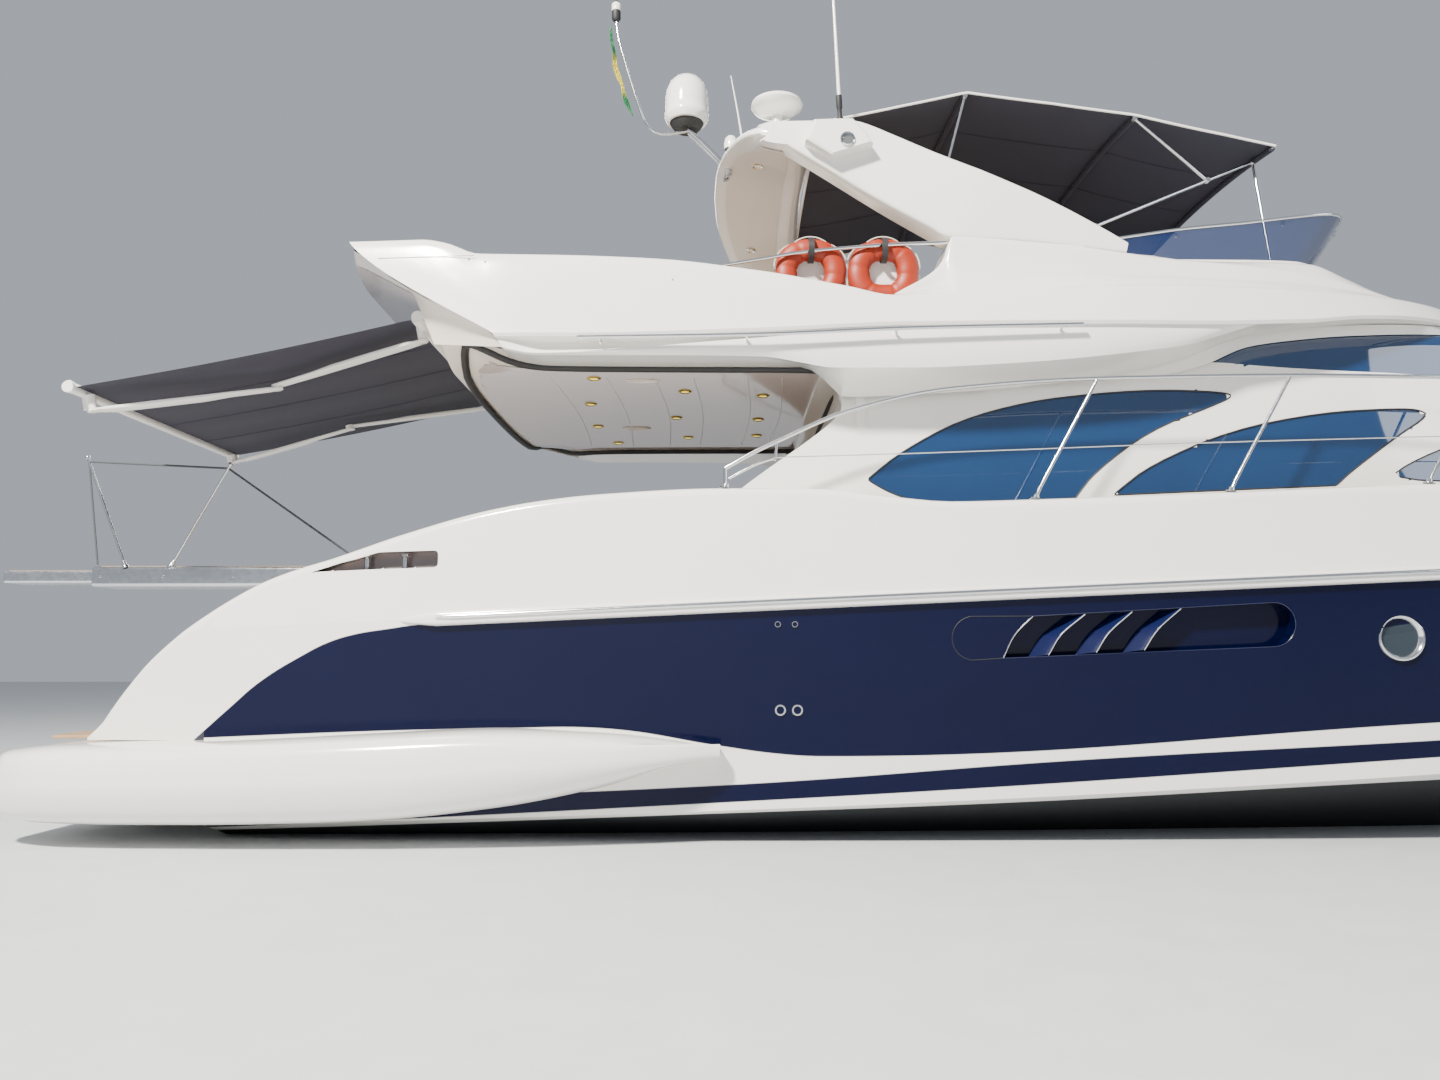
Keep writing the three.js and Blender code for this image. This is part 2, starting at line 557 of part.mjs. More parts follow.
// Half section, drawn smaller by the inset; its foot stands on the side deck or below it
function houseSection(x, inset, sink = 0) {
  const half = houseHalf(x) - inset;
  const foot = sideDeckZ(x) + GAP - sink;
  const top = along(ROOF, x) - inset;
  return [[0, foot], [half, foot], [half - 75, top - 190], [half - 110, top - 90],
    [half - 230, top - 18], [0, top]];
}
function houseLoft(inset, sink = 0, ends = inset) {
  const stations = HOUSE_STATIONS.map((x) =>
    Math.min(Math.max(x, HOUSE_AFT_X + ends), HOUSE_FORE_X - ends));
  return acrossLoft(stations, (x) => houseSection(x, inset, sink));
}
const WINDOWS = { // outlines in x, z
  aft: [[-3120, 2900], [-2920, 3110], [-2420, 3370], [-1840, 3530], [-1260, 3600], [-430, 3620],
    [-150, 3580], [-320, 3490], [-860, 3280], [-1370, 2950], [-1540, 2700], [-2690, 2660],
    [-3010, 2740]],
  middle: [[-1170, 2740], [-870, 2990], [-200, 3280], [550, 3430], [1210, 3470], [1470, 3410],
    [1190, 3240], [760, 2910], [630, 2810]],
  forward: [[1020, 2850], [1330, 3050], [1950, 3270], [2550, 3360], [3010, 3340], [2930, 3210],
    [2640, 2990], [2500, 2870]],
};
const WINDSCREEN = [
  [-440, 3885], [430, 3800], [1590, 3760], [3200, 3630], [4560, 3390], [4720, 3480],
  [2400, 4330], [2290, 4140], [1630, 4172], [870, 4148], [30, 4055],
];
// An outline moved inwards all round by one distance
function shrunk(outline, by) {
  const points = outline.map(([a, b]) => new THREE.Vector2(a, b));
  const turn = Math.sign(THREE.ShapeUtils.area(points));
  const count = points.length;
  const normals = points.map((p, i) => {
    const edge = points[(i + 1) % count].clone().sub(p).normalize();
    return new THREE.Vector2(-edge.y * turn, edge.x * turn);
  });
  return points.map((p, i) => {
    const before = normals[(i + count - 1) % count];
    const after = normals[i];
    const reach = by / (1 + before.dot(after));
    return [p.x + (before.x + after.x) * reach, p.y + (before.y + after.y) * reach];
  });
}
// Side of the deckhouse that sweeps aft and down to the bulwark
const HOUSE_WING = [[-3150, 2790], [-4250, 2790], [-3720, 3160], [-3440, 3390], [-3390, 3510],
  [-3420, 3640], [-3500, 3750], [-3500, 3846], [-3150, 3846]];
const DOORWAY = { half: 900, top: 3690 };
function deckhouse() {
  const foot = box(HOUSE_AFT_X, HOUSE_AFT_X + HOUSE_WALL, -TUB_HALF + 6, TUB_HALF - 6,
    COCKPIT_FLOOR, sideDeckZ(HOUSE_AFT_X) + 60);
  const doorway = box(HOUSE_AFT_X - 50, HOUSE_AFT_X + 200, -DOORWAY.half, DOORWAY.half,
    1000, DOORWAY.top);
  const openings = Object.values(WINDOWS).map((outline) => prism("y", outline, -2600, 2600));
  const wings = [1, -1].map((side) =>
    prism("y", HOUSE_WING, side * (houseHalf(HOUSE_AFT_X) - 75), side * houseHalf(HOUSE_AFT_X)));
  return cut(join(cut(houseLoft(0), houseLoft(HOUSE_WALL, 200)), foot, ...wings), doorway,
    prism("y", WINDSCREEN, -2600, 2600), ...openings);
}
place("deckhouse", "gelcoat", deckhouse());
const GLASS = { inset: 3, thickness: 14, play: 1.5 };
const glassSkin = cut(houseLoft(GLASS.inset, 0, 20),
  houseLoft(GLASS.inset + GLASS.thickness, 200, 40));
for (const [word, outline] of Object.entries(WINDOWS)) {
  const opening = shrunk(outline, GLASS.play);
  placeBothSides(`${word}_window`, "glass", (side) =>
    glassSkin.intersect(prism("y", opening, 0, side * 2600)));
}
place("windscreen", "glass",
  glassSkin.intersect(prism("y", shrunk(WINDSCREEN, GLASS.play), -2600, 2600)));

// Saloon doors: a fixed leaf to port, and one that slides behind it
place("saloon_fixed_door", "glass", box(HOUSE_AFT_X + 12, HOUSE_AFT_X + 46, 5,
  DOORWAY.half - 3, COCKPIT_FLOOR + 2, DOORWAY.top - 3));
place("saloon_sliding_door", "glass", box(HOUSE_AFT_X + 88, HOUSE_AFT_X + 118, -930, 30,
  COCKPIT_FLOOR + 8, DOORWAY.top - 8));

// Saloon furniture that shows through the glass
place("saloon_sofa", "cushion", prism("x", [
  [1000, COCKPIT_FLOOR], [1000, 2090], [1480, 2110], [1600, 2560], [1780, 2560],
  [1780, COCKPIT_FLOOR],
], -2500, 0));
place("lower_dashboard", "gelcoat", prism("y", [
  [2150, COCKPIT_FLOOR], [2100, 2650], [2300, 2900], [3380, 3090], [3380, COCKPIT_FLOOR],
], -1300, 1300));
// A steering wheel about its own axis: rim, hub and three spokes
const WHEEL = { rim: 185, tube: 16, hub: 45, lean: 0.5 };
const wheelShape = () => {
  const rim = solid(new THREE.TorusGeometry(WHEEL.rim, WHEEL.tube, 6, 18));
  const hub = rod([0, 0, -30], [0, 0, 30], WHEEL.hub, WHEEL.hub, 12);
  const spokes = [0, 1, 2].map((i) => {
    const angle = Math.PI / 2 + (i * 2 * Math.PI) / 3;
    return rod([0, 0, 0], [WHEEL.rim * Math.cos(angle), WHEEL.rim * Math.sin(angle), 0], 10,
      10, 6);
  });
  return join(rim, hub, ...spokes);
};
function placeWheel(name, x, y, z) {
  const wheel = place(name, "steel", wheelShape());
  wheel.position.set(x, y, z);
  wheel.rotation.set(0, -Math.PI / 2 + WHEEL.lean, 0);
}
placeWheel("lower_wheel", 2030, -950, 2840);

// The deckhouse drawn a hair larger, to cut the flybridge clear of it
const houseClearance = acrossLoft(HOUSE_STATIONS, (x) => {
  const [, , ...upper] = houseSection(x, -0.5);
  return [[0, 2000], [houseHalf(x) + 0.5, 2000], ...upper];
});

// Flybridge moulding: floor that overhangs the cockpit, side coamings, front cowl
const COAMING_TOP = [ // x, z
  [-7400, 4760], [-6740, 4760], [-6330, 4620], [-5370, 4610], [-4400, 4560], [-3760, 4390],
  [-2800, 4270], [-2160, 4270], [-900, 4300], [600, 4380], [1570, 4395], [2300, 4330],
  [2900, 4130],
];
const KNUCKLE = [[-7400, 3960], [-6210, 3990], [-3770, 4050], [-2190, 4080], [-920, 4130],
  [-290, 4190], [1600, 4260], [2300, 4240], [2900, 4060]];
const COWL_TOP = [[-1000, 4960], [-690, 4820], [-500, 4790], [640, 4780], [1570, 4430],
  [2300, 4350], [2900, 4150]];
const FLY_PLAN = [[-7400, 2330], [-6000, FLY_HALF], [-1500, FLY_HALF], [0, 2300], [1000, 2110],
  [1600, 1900], [2300, 1480], [2900, 950]];
const COAMING_WIDTH = 300;
// Panel that leans back over the awning, across the after end of the flybridge
const SPOILER_SECTION = [[-7640, 4800], [-7660, 4760], [-6945, 4470], [-6835, 4465],
  [-6840, 4540], [-7450, 4800]];
const SPOILER_PLAN = [[-6800, -2100], [-7430, -2100], [-7580, -1500], [-7640, -1000], [-7660, 0],
  [-7640, 1000], [-7580, 1500], [-7430, 2100], [-6800, 2100]];
const flyHalf = (x) => along(FLY_PLAN, x);
function flybridge() {
  const well = acrossLoft([-7400, -6740, -6330, -6000, -5370, -4400, -3760, -2800, -2160, -1500,
    -990], (x) => {
    const half = flyHalf(x);
    const top = along(COAMING_TOP, x);
    return [[0, CEILING_Z], [half - 330, CEILING_Z], [half, along(KNUCKLE, x)], [half - 90, top - 40],
      [half - 130, top], [half - COAMING_WIDTH, top], [half - COAMING_WIDTH - 10, FLY_DECK_Z],
      [0, FLY_DECK_Z]];
  });
  const cowl = acrossLoft([-1000, -690, -500, 0, 640, 1000, 1570, 1950, 2300, 2900], (x) => {
    const half = flyHalf(x);
    const top = along(COAMING_TOP, x);
    const crown = Math.max(along(COWL_TOP, x), top + 6);
    return [[0, CEILING_Z], [half - 330, CEILING_Z], [half, along(KNUCKLE, x)], [half - 90, top - 40],
      [half - 130, top - 4], [Math.max(half - 420, 300), top], [Math.max(half - 520, 250), crown],
      [0, crown + 2]];
  });
  const fascia = prism("y", [[-6700, CEILING_Z], [-6600, CEILING_Z], [-6840, 4470],
    [-6940, 4470]], -2085, 2085);
  const rakes = [1, -1].map((side) => prism("y", [[-7600, 5000], [-7420, 4790], [-7400, 4750],
    [-6240, 3975], [-6180, 3700], [-7600, 3700]], side * 2085, side * 2700));
  const middle = prism("y", [[-7500, 3000], [-6700, 3000], [-6700, CEILING_Z], [-6945, 4470],
    [-6945, 5000], [-7500, 5000]], -2085, 2085);
  const spoiler = prism("y", SPOILER_SECTION, -2100, 2100)
    .intersect(prism("z", SPOILER_PLAN, 4000, 5000));
  const helmWell = box(-1100, -250, -1560, 1560, FLY_DECK_Z, 5200);
  return join(cut(join(well, cowl, fascia), ...rakes, middle, helmWell, houseClearance),
    spoiler);
}
place("flybridge_moulding", "gelcoat", flybridge());

// Flybridge windscreen: tinted sheet around the front of the cowl. Half of its foot and of
// its rim in plan, each from the after end to the middle; the rim leans out.
const SCREEN_FOOT = [[-900, 1720], [-300, 1730], [350, 1720], [660, 1660], [800, 1450],
  [950, 900], [1040, 300], [1050, 0]];
const SCREEN_RIM = [[-1000, 1760], [-350, 1800], [500, 1810], [900, 1750], [1060, 1520],
  [1240, 950], [1340, 300], [1350, 0]];
const SCREEN_TOP = [[-1000, 4990], [-450, 5060], [70, 5105], [850, 5200], [1350, 5240]];
const SCREEN_THICKNESS = 14;
function flyScreen() {
  const wall = (half, height) => {
    const whole = [...half, ...half.slice(0, -1).reverse().map(([x, y]) => [x, -y])];
    const inner = whole.map(([x, y]) => {
      const reach = Math.hypot(x + 1000, y);
      return [x - (SCREEN_THICKNESS * (x + 1000)) / reach, y - (SCREEN_THICKNESS * y) / reach];
    });
    return [...whole, ...inner.reverse()].map(([x, y]) => [x, y, height(x)]);
  };
  return loftAlong("z", [
    wall(SCREEN_FOOT, (x) => Math.max(along(COWL_TOP, x), 4740) + 20),
    wall(SCREEN_RIM, (x) => along(SCREEN_TOP, x)),
  ]);
}
place("flybridge_windscreen", "glass", flyScreen());

// Flybridge furniture
const FLY_FLOOR = FLY_DECK_Z + GAP;
place("flybridge_console", "gelcoat", prism("y", [
  [-640, FLY_FLOOR], [-760, 4700], [-560, 4930], [-262, 4930], [-262, FLY_FLOOR],
], -1300, -250));
placeWheel("flybridge_wheel", -800, -775, 4860);
place("flybridge_helm_seat", "cushion", prism("y", [
  [-1750, FLY_FLOOR], [-1880, 5080], [-1750, 5090], [-1640, 4560], [-1330, 4540],
  [-1330, FLY_FLOOR],
], -1250, -400));
place("flybridge_sofa", "cushion", prism("z", [
  [-5900, 2080], [-3000, 2080], [-3000, 1420], [-5250, 1420], [-5250, 300], [-5900, 300],
], FLY_FLOOR, 4480));
place("flybridge_table", "teak", join(box(-4400, -3300, 350, 1150, 4720, 4760),
  rod([-3850, 750, FLY_FLOOR], [-3850, 750, 4730], 55, 55, 12)));

// Radar arch: two raked legs under a crossbeam, with a light pod on each shoulder, the flat
// radar disc, two whips and the bar that the lifebuoys hang on
const ARCH_LEG = [
  [-4080, 5940], [-3930, 5975], [-3200, 5990], [-2540, 5680], [-2000, 5440], [-1420, 5150],
  [-1004, 4920],
  [-1004, FLY_DECK_Z + GAP], [-2980, FLY_DECK_Z + GAP], [-2960, 4400], [-2590, 4630],
  [-2470, 4820], [-2490, 4900],
];
const BEAM_AFT = [ // y, x of the after rim
  [0, -4440], [1000, -4437], [1300, -4420], [1600, -4350], [1780, -4240], [1860, -4150],
  [1900, -4060],
];
const BEAM_FORE = [[0, -3550], [1500, -3500], [1900, -3250]];
const BEAM_RISE = { top: 240, under: 290, half: 1720 };
// Beam: crowned across the boat, with its after corners rounded in plan
function archBeam() {
  const halves = [0, 600, 1000, 1300, 1600, 1780, 1860, ARCH_HALF];
  const across = [...halves.slice(1).reverse().map((y) => -y), ...halves];
  return loftAlong("y", across.map((y) => {
    const aft = along(BEAM_AFT, Math.abs(y));
    const fore = along(BEAM_FORE, Math.abs(y));
    const rise = BEAM_RISE.top * (1 - (Math.abs(y) / ARCH_HALF) ** 2.4);
    const under = BEAM_RISE.under * (1 - Math.min(1, Math.abs(y) / BEAM_RISE.half) ** 2.4);
    return [[aft, 5870 + rise], [aft + 30, 5930 + rise], [aft + 300, 5982 + rise],
      [fore, 5990 + rise], [Math.min(fore, -3600), 5800 + under], [-3650, 5755 + under]]
      .map(([x, z]) => [x, y, z]);
  }));
}
const POD = [[-3680, 5750], [-3610, 5930], [-3280, 5940], [-3160, 5800], [-3110, 5720],
  [-3460, 5610]];
function radarArch() {
  const legs = [1, -1].map((side) =>
    prism("y", ARCH_LEG, side * (ARCH_HALF - LEG_THICKNESS), side * ARCH_HALF));
  const pods = [1, -1].map((side) =>
    prism("y", POD, side * (ARCH_HALF - 20), side * (ARCH_HALF + 140)));
  const disc = join(rod([-3890, -1500, 5960], [-3890, -1500, 6270], 70, 55, 14),
    rod([-3890, -1500, 6250], [-3890, -1500, 6370], 230, 190, 24));
  const whips = [rod([-4190, -1280, 5980], [-4300, -1280, 6740], 12, 6, 6),
    rod([-3378, -1950, 5920], [-3480, -1950, 8300], 22, 9, 8)];
  const buoyBar = [rod([-4400, -1885, 4520], [-2450, -1885, 4930], 15),
    rod([-4400, -1885, FLY_DECK_Z + GAP], [-4400, -1885, 4530], 15)];
  return join(archBeam(), ...legs, ...pods, disc, ...whips, ...buoyBar);
}
place("radar_arch", "gelcoat", radarArch());

// Dome on its raked arm, with the light staff
const DOME = { x: -4720, y: -800, bottom: 6510, top: 7010, radius: 210 };
function domeShape() {
  const profile = [[0, 0], [0.72, 0], [0.8, 0.1], [0.98, 0.2], [1, 0.55], [0.86, 0.82], [0.5, 0.96],
    [0, 1]];
  const points = profile.map(([r, h]) =>
    new THREE.Vector2(r * DOME.radius, h * (DOME.top - DOME.bottom)));
  const dome = new THREE.LatheGeometry(points, 20);
  dome.rotateX(Math.PI / 2);
  dome.translate(DOME.x, DOME.y, DOME.bottom);
  return solid(dome);
}
place("satellite_mast", "gelcoat", join(
  domeShape(),
  rod([DOME.x, DOME.y, DOME.bottom - 60], [DOME.x, DOME.y, DOME.bottom + 20], 80, 110, 14),
  rod([-4320, DOME.y, 6100], [DOME.x, DOME.y, DOME.bottom - 30], 32),
  tube([[-4690, DOME.y, 6435], [-5000, DOME.y, 6400], [-5140, DOME.y, 6570],
    [-5300, DOME.y, 7080], [-5390, DOME.y, 7430], [-5410, DOME.y, 7610]], 20, 14),
  rod([-5410, DOME.y, 7580], [-5410, DOME.y, 7740], 46, 40, 12))
  .subtract(archBeam().translate([0, 0, GAP])));

// Bimini: one crowned canvas over three bows, braced to the arch and the cowl
const CANOPY_EDGE = [[-3310, 6120], [-2800, 6250], [-2250, 6350], [-1500, 6260], [-770, 6140],
  [440, 5860]]; // x, z
const CANOPY_CROWN = 110;
const canopyPoint = (x, y, drop = 0) =>
  along(CANOPY_EDGE, x) + CANOPY_CROWN * (1 - (y / CANOPY_HALF) ** 2) - drop;
const CANOPY_ACROSS = [0, 600, 1150, CANOPY_HALF];
place("bimini_canopy", "canvas", acrossLoft(CANOPY_EDGE.map(([x]) => x), (x) => [
  ...CANOPY_ACROSS.map((y) => [y, canopyPoint(x, y, 12)]),
  ...[...CANOPY_ACROSS].reverse().map((y) => [y, canopyPoint(x, y)]),
]));
const BOW = { radius: 16, drop: 34, half: CANOPY_HALF - 20 };
const bar = (from, to) => rod(from, to, BOW.radius, BOW.radius, 6);
function biminiFrame() {
  const bows = [-2250, -770, 425].map((x) => tube(
    [-1, -0.66, -0.33, 0, 0.33, 0.66, 1].map((t) =>
      [x, t * BOW.half, canopyPoint(x, t * BOW.half, BOW.drop)]), BOW.radius, 8, 6));
  const sides = [1, -1].flatMap((side) => {
    const y = side * BOW.half;
    const at = (x) => canopyPoint(x, y, BOW.drop);
    return [
      bar([-2250, y, at(-2250)], [-1500, y, at(-1500)]),
      bar([-1500, y, at(-1500)], [-770, y, at(-770)]),
      bar([-770, y, at(-770)], [425, y, at(425)]),
      bar([-2250, y, at(-2250)], [-2400, side * 1780, 5600]),
      bar([-1150, side * 1780, 5100], [425, y, at(425)]),
      bar([425, y, at(425)], [540, side * 1640, 4800]),
    ];
  });
  return join(...bows, ...sides);
}
place("bimini_frame", "steel", cut(biminiFrame(), ...[1, -1].map((side) =>
  prism("y", ARCH_LEG.map(([x, z]) => [x, z + 1.5]), side * (ARCH_HALF - LEG_THICKNESS - 1),
    side * (ARCH_HALF + 1)))));

// Awning over the aft cockpit. Its own frame: x runs down the slope, y to port, z down
// through the cloth.
const awning = new THREE.Group();
awning.position.set(AWNING.rollerX, 0, AWNING.rollerZ);
awning.setRotationFromMatrix(new THREE.Matrix4().makeBasis(
  new THREE.Vector3(-Math.cos(AWNING.slope), 0, -Math.sin(AWNING.slope)),
  new THREE.Vector3(0, 1, 0),
  new THREE.Vector3(Math.sin(AWNING.slope), 0, -Math.cos(AWNING.slope))));
yacht.add(awning);
const SIDES = { port: 1, starboard: -1 };
const BAR = { near: 3000, far: 3090, half: 45, lug: 35 };
const lug = (near, far, word, from, level) => box(near, far, SIDES[word] * (ARM.y - BAR.lug),
  SIDES[word] * (ARM.y + BAR.lug), from, level - ARM.height / 2 - 5);
function cassette() {
  const tubeEnds = AWNING.half + 40;
  const roller = rod([0, -tubeEnds, 0], [0, tubeEnds, 0], AWNING.roller, AWNING.roller, 16);
  const lugs = Object.keys(SIDES).map((word) =>
    lug(ARM.shoulder - 35, ARM.shoulder + 35, word, 20, ARM_LEVEL[word].upper));
  return join(roller, ...lugs);
}
place("awning_cassette", "gelcoat", cassette(), awning);
place("awning_cloth", "canvas",
  box(AWNING.roller + 8, BAR.near - 2, -AWNING.half + 40, AWNING.half - 40, -4, 4), awning);
place("awning_front_bar", "gelcoat", join(
  box(BAR.near, BAR.far, -AWNING.half, AWNING.half, -BAR.half, BAR.half),
  ...Object.keys(SIDES).map((word) =>
    lug(ARM.wrist - 35, BAR.near + 5, word, BAR.half - 10, ARM_LEVEL[word].fore))), awning);
// A flat bar with round ends, from one pivot to the next
function armShape(from, to, level) {
  const a = new THREE.Vector2(...from);
  const heading = new THREE.Vector2(...to).sub(a);
  const angle = heading.angle();
  const outline = [a, new THREE.Vector2(...to)].flatMap((centre, end) =>
    [0, 1, 2, 3, 4, 5, 6].map((i) => {
      const turn = angle + Math.PI / 2 + end * Math.PI + (i * Math.PI) / 6;
      return [centre.x + ARM.half * Math.cos(turn), centre.y + ARM.half * Math.sin(turn)];
    }));
  return prism("z", outline, level - ARM.height / 2, level + ARM.height / 2);
}
for (const [word, side] of Object.entries(SIDES)) {
  const elbow = [(ARM.shoulder + ARM.wrist) / 2, side * (ARM.y - ARM.bend)];
  const level = ARM_LEVEL[word];
  place(`awning_${word}_upper_arm`, "gelcoat",
    armShape([ARM.shoulder, side * ARM.y], elbow, level.upper), awning);
  place(`awning_${word}_forearm`, "gelcoat",
    armShape(elbow, [ARM.wrist, side * ARM.y], level.fore), awning);
}

// Gangway over the stern: a hinged sleeve with its hand posts, and the stage that slides in it
const gangwayBox = (x0, x1, halfWidth, low, high) =>
  box(x0, x1, GANGWAY.y - halfWidth, GANGWAY.y + halfWidth, low, high);
place("gangway_base", "gelcoat", gangwayBox(-7755, -7560, 250, COCKPIT_FLOOR, 2340));
place("gangway_outer_stage", "steel", join(
  cut(gangwayBox(GANGWAY.aft, GANGWAY.hingeX, GANGWAY.half, GANGWAY.low, GANGWAY.high),
    gangwayBox(GANGWAY.aft - 50, GANGWAY.hingeX - 60, 200, 2150, 2290)),
  ...[[-10280, -10720], [-9840, -9310]].map(([foot, head]) =>
    rod([foot, GANGWAY.y - 205, 2310], [head, GANGWAY.y - 205, 3400], 14))));
place("gangway_inner_stage", "steel", gangwayBox(-11500, -9050, 190, 2160, 2280));

// Rails on the bulwark, each with its leaning stanchions
const RAIL_TOP = [[-4360, 2900], [-3930, 3120], [-3380, 3360], [-2590, 3530], [-1400, 3610],
  [180, 3630], [1280, 3620], [4000, 3640], [7000, 3690], [9700, 3760]];
const STANCHIONS = [-1940, -420, 1130, 2650, 4150, 5600, 6900, 8000, 8800];
const STANCHION_RAKE = 520;
const RAIL_INSET = 70;
placeBothSides("side_rail", "steel", (side) => {
  const at = (x) => [x, side * Math.max(bulwarkOut(x) - RAIL_INSET, 60), along(RAIL_TOP, x)];
  const route = [-4360, -4150, -3930, -3380, -2590, -1400, 180, 1280, 2700, 4000, 5300, 6300,
    7200, 8000, 8700, 9300, 9700].map(at);
  const feet = STANCHIONS.map((x) => {
    const [, y] = at(x);
    return rod([x, y, bulwarkTop(x) + 9], at(x + STANCHION_RAKE), 13, 13, 6);
  });
  const first = at(-4360);
  const last = at(9700);
  return join(tube(route, 16, 44, 6), ...feet,
    rod([first[0], first[1], bulwarkTop(-4360) + 6], first, 14),
    rod([last[0] - 60, last[1], bulwarkTop(9640) + 6], last, 14));
});

// Lifebuoys on their bar beside the arch
const BUOY = { ring: 220, tube: 76, y: -1987, z: 4655 };
for (const [word, x] of [["forward", -3035], ["aft", -3640]]) {
  const ring = new THREE.TorusGeometry(BUOY.ring, BUOY.tube, 10, 24);
  ring.rotateX(Math.PI / 2);
  ring.translate(x, BUOY.y, BUOY.z);
  place(`${word}_lifebuoy`, "buoy", solid(ring));
}
// Anchor in its roller at the stem
place("anchor", "steel", join(
  box(9550, 10060, -25, 25, 3010, 3060),
  prism("y", [[10020, 3060], [10095, 3060], [10115, 2780], [10045, 2640], [10018, 2900]],
    -130, 130)));

export default yacht;
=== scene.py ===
"""Flybridge motor yacht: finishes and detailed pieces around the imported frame. Metres."""

import math

import bmesh
import bpy
import numpy as np
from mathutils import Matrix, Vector
from mathutils.geometry import tessellate_polygon


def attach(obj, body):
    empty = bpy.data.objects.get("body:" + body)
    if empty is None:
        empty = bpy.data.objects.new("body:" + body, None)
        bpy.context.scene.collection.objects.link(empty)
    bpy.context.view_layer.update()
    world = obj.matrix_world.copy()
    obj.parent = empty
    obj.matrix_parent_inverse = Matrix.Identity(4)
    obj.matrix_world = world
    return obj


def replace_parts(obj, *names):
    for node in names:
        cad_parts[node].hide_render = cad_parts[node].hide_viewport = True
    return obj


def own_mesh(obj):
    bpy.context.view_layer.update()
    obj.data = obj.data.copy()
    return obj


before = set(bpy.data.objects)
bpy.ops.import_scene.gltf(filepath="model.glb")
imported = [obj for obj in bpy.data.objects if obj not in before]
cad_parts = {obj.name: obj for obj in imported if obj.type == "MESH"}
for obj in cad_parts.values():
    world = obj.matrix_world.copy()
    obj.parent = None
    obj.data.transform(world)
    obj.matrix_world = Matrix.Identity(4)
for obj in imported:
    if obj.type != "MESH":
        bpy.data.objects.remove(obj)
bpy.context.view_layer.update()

# Camera and stage
CAMERA_PLACE = (-4.4, -10.7, 1.4)
CAMERA_PITCH = 96.33
CAMERA_LENS, CAMERA_SENSOR = 27.05, 36.0
FAR_AWAY = 400.0


def set_camera():
    """The camera at the photograph's place, level across, with its lens."""
    data = bpy.data.cameras.new("photo_view")
    data.sensor_width = CAMERA_SENSOR
    data.lens = CAMERA_LENS
    data.clip_end = FAR_AWAY
    camera = bpy.data.objects.new("photo_view", data)
    bpy.context.scene.collection.objects.link(camera)
    camera.location = CAMERA_PLACE
    camera.rotation_euler = (math.radians(CAMERA_PITCH), 0.0, 0.0)
    bpy.context.scene.camera = camera


# Shader maths: a wrapped socket that Python's own operators work on
class Value:
    """A number or vector that varies over a surface."""

    def __init__(self, finish, socket):
        self.finish = finish
        self.socket = socket

    def _math(self, operation, *terms):
        return self.finish.node("ShaderNodeMath", {"operation": operation}, dict(enumerate(terms)))

    def __add__(self, other):
        return self._math("ADD", self, other)

    def __radd__(self, other):
        return self._math("ADD", other, self)

    def __sub__(self, other):
        return self._math("SUBTRACT", self, other)

    def __rsub__(self, other):
        return self._math("SUBTRACT", other, self)

    def __mul__(self, other):
        return self._math("MULTIPLY", self, other)

    def __rmul__(self, other):
        return self._math("MULTIPLY", other, self)

    def __truediv__(self, other):
        return self._math("DIVIDE", self, other)

    def above(self, edge, soft):
        """0 below the edge, 1 above it, with a short ramp between."""
        return self.finish.node("ShaderNodeMapRange", {"clamp": True},
            {"Value": self - edge, "From Min": -soft, "From Max": soft})

    def absolute(self):
        return self._math("ABSOLUTE", self)

    def fraction(self):
        return self._math("FRACT", self)

    def capped(self):
        return self.finish.node("ShaderNodeClamp", {}, {"Value": self})


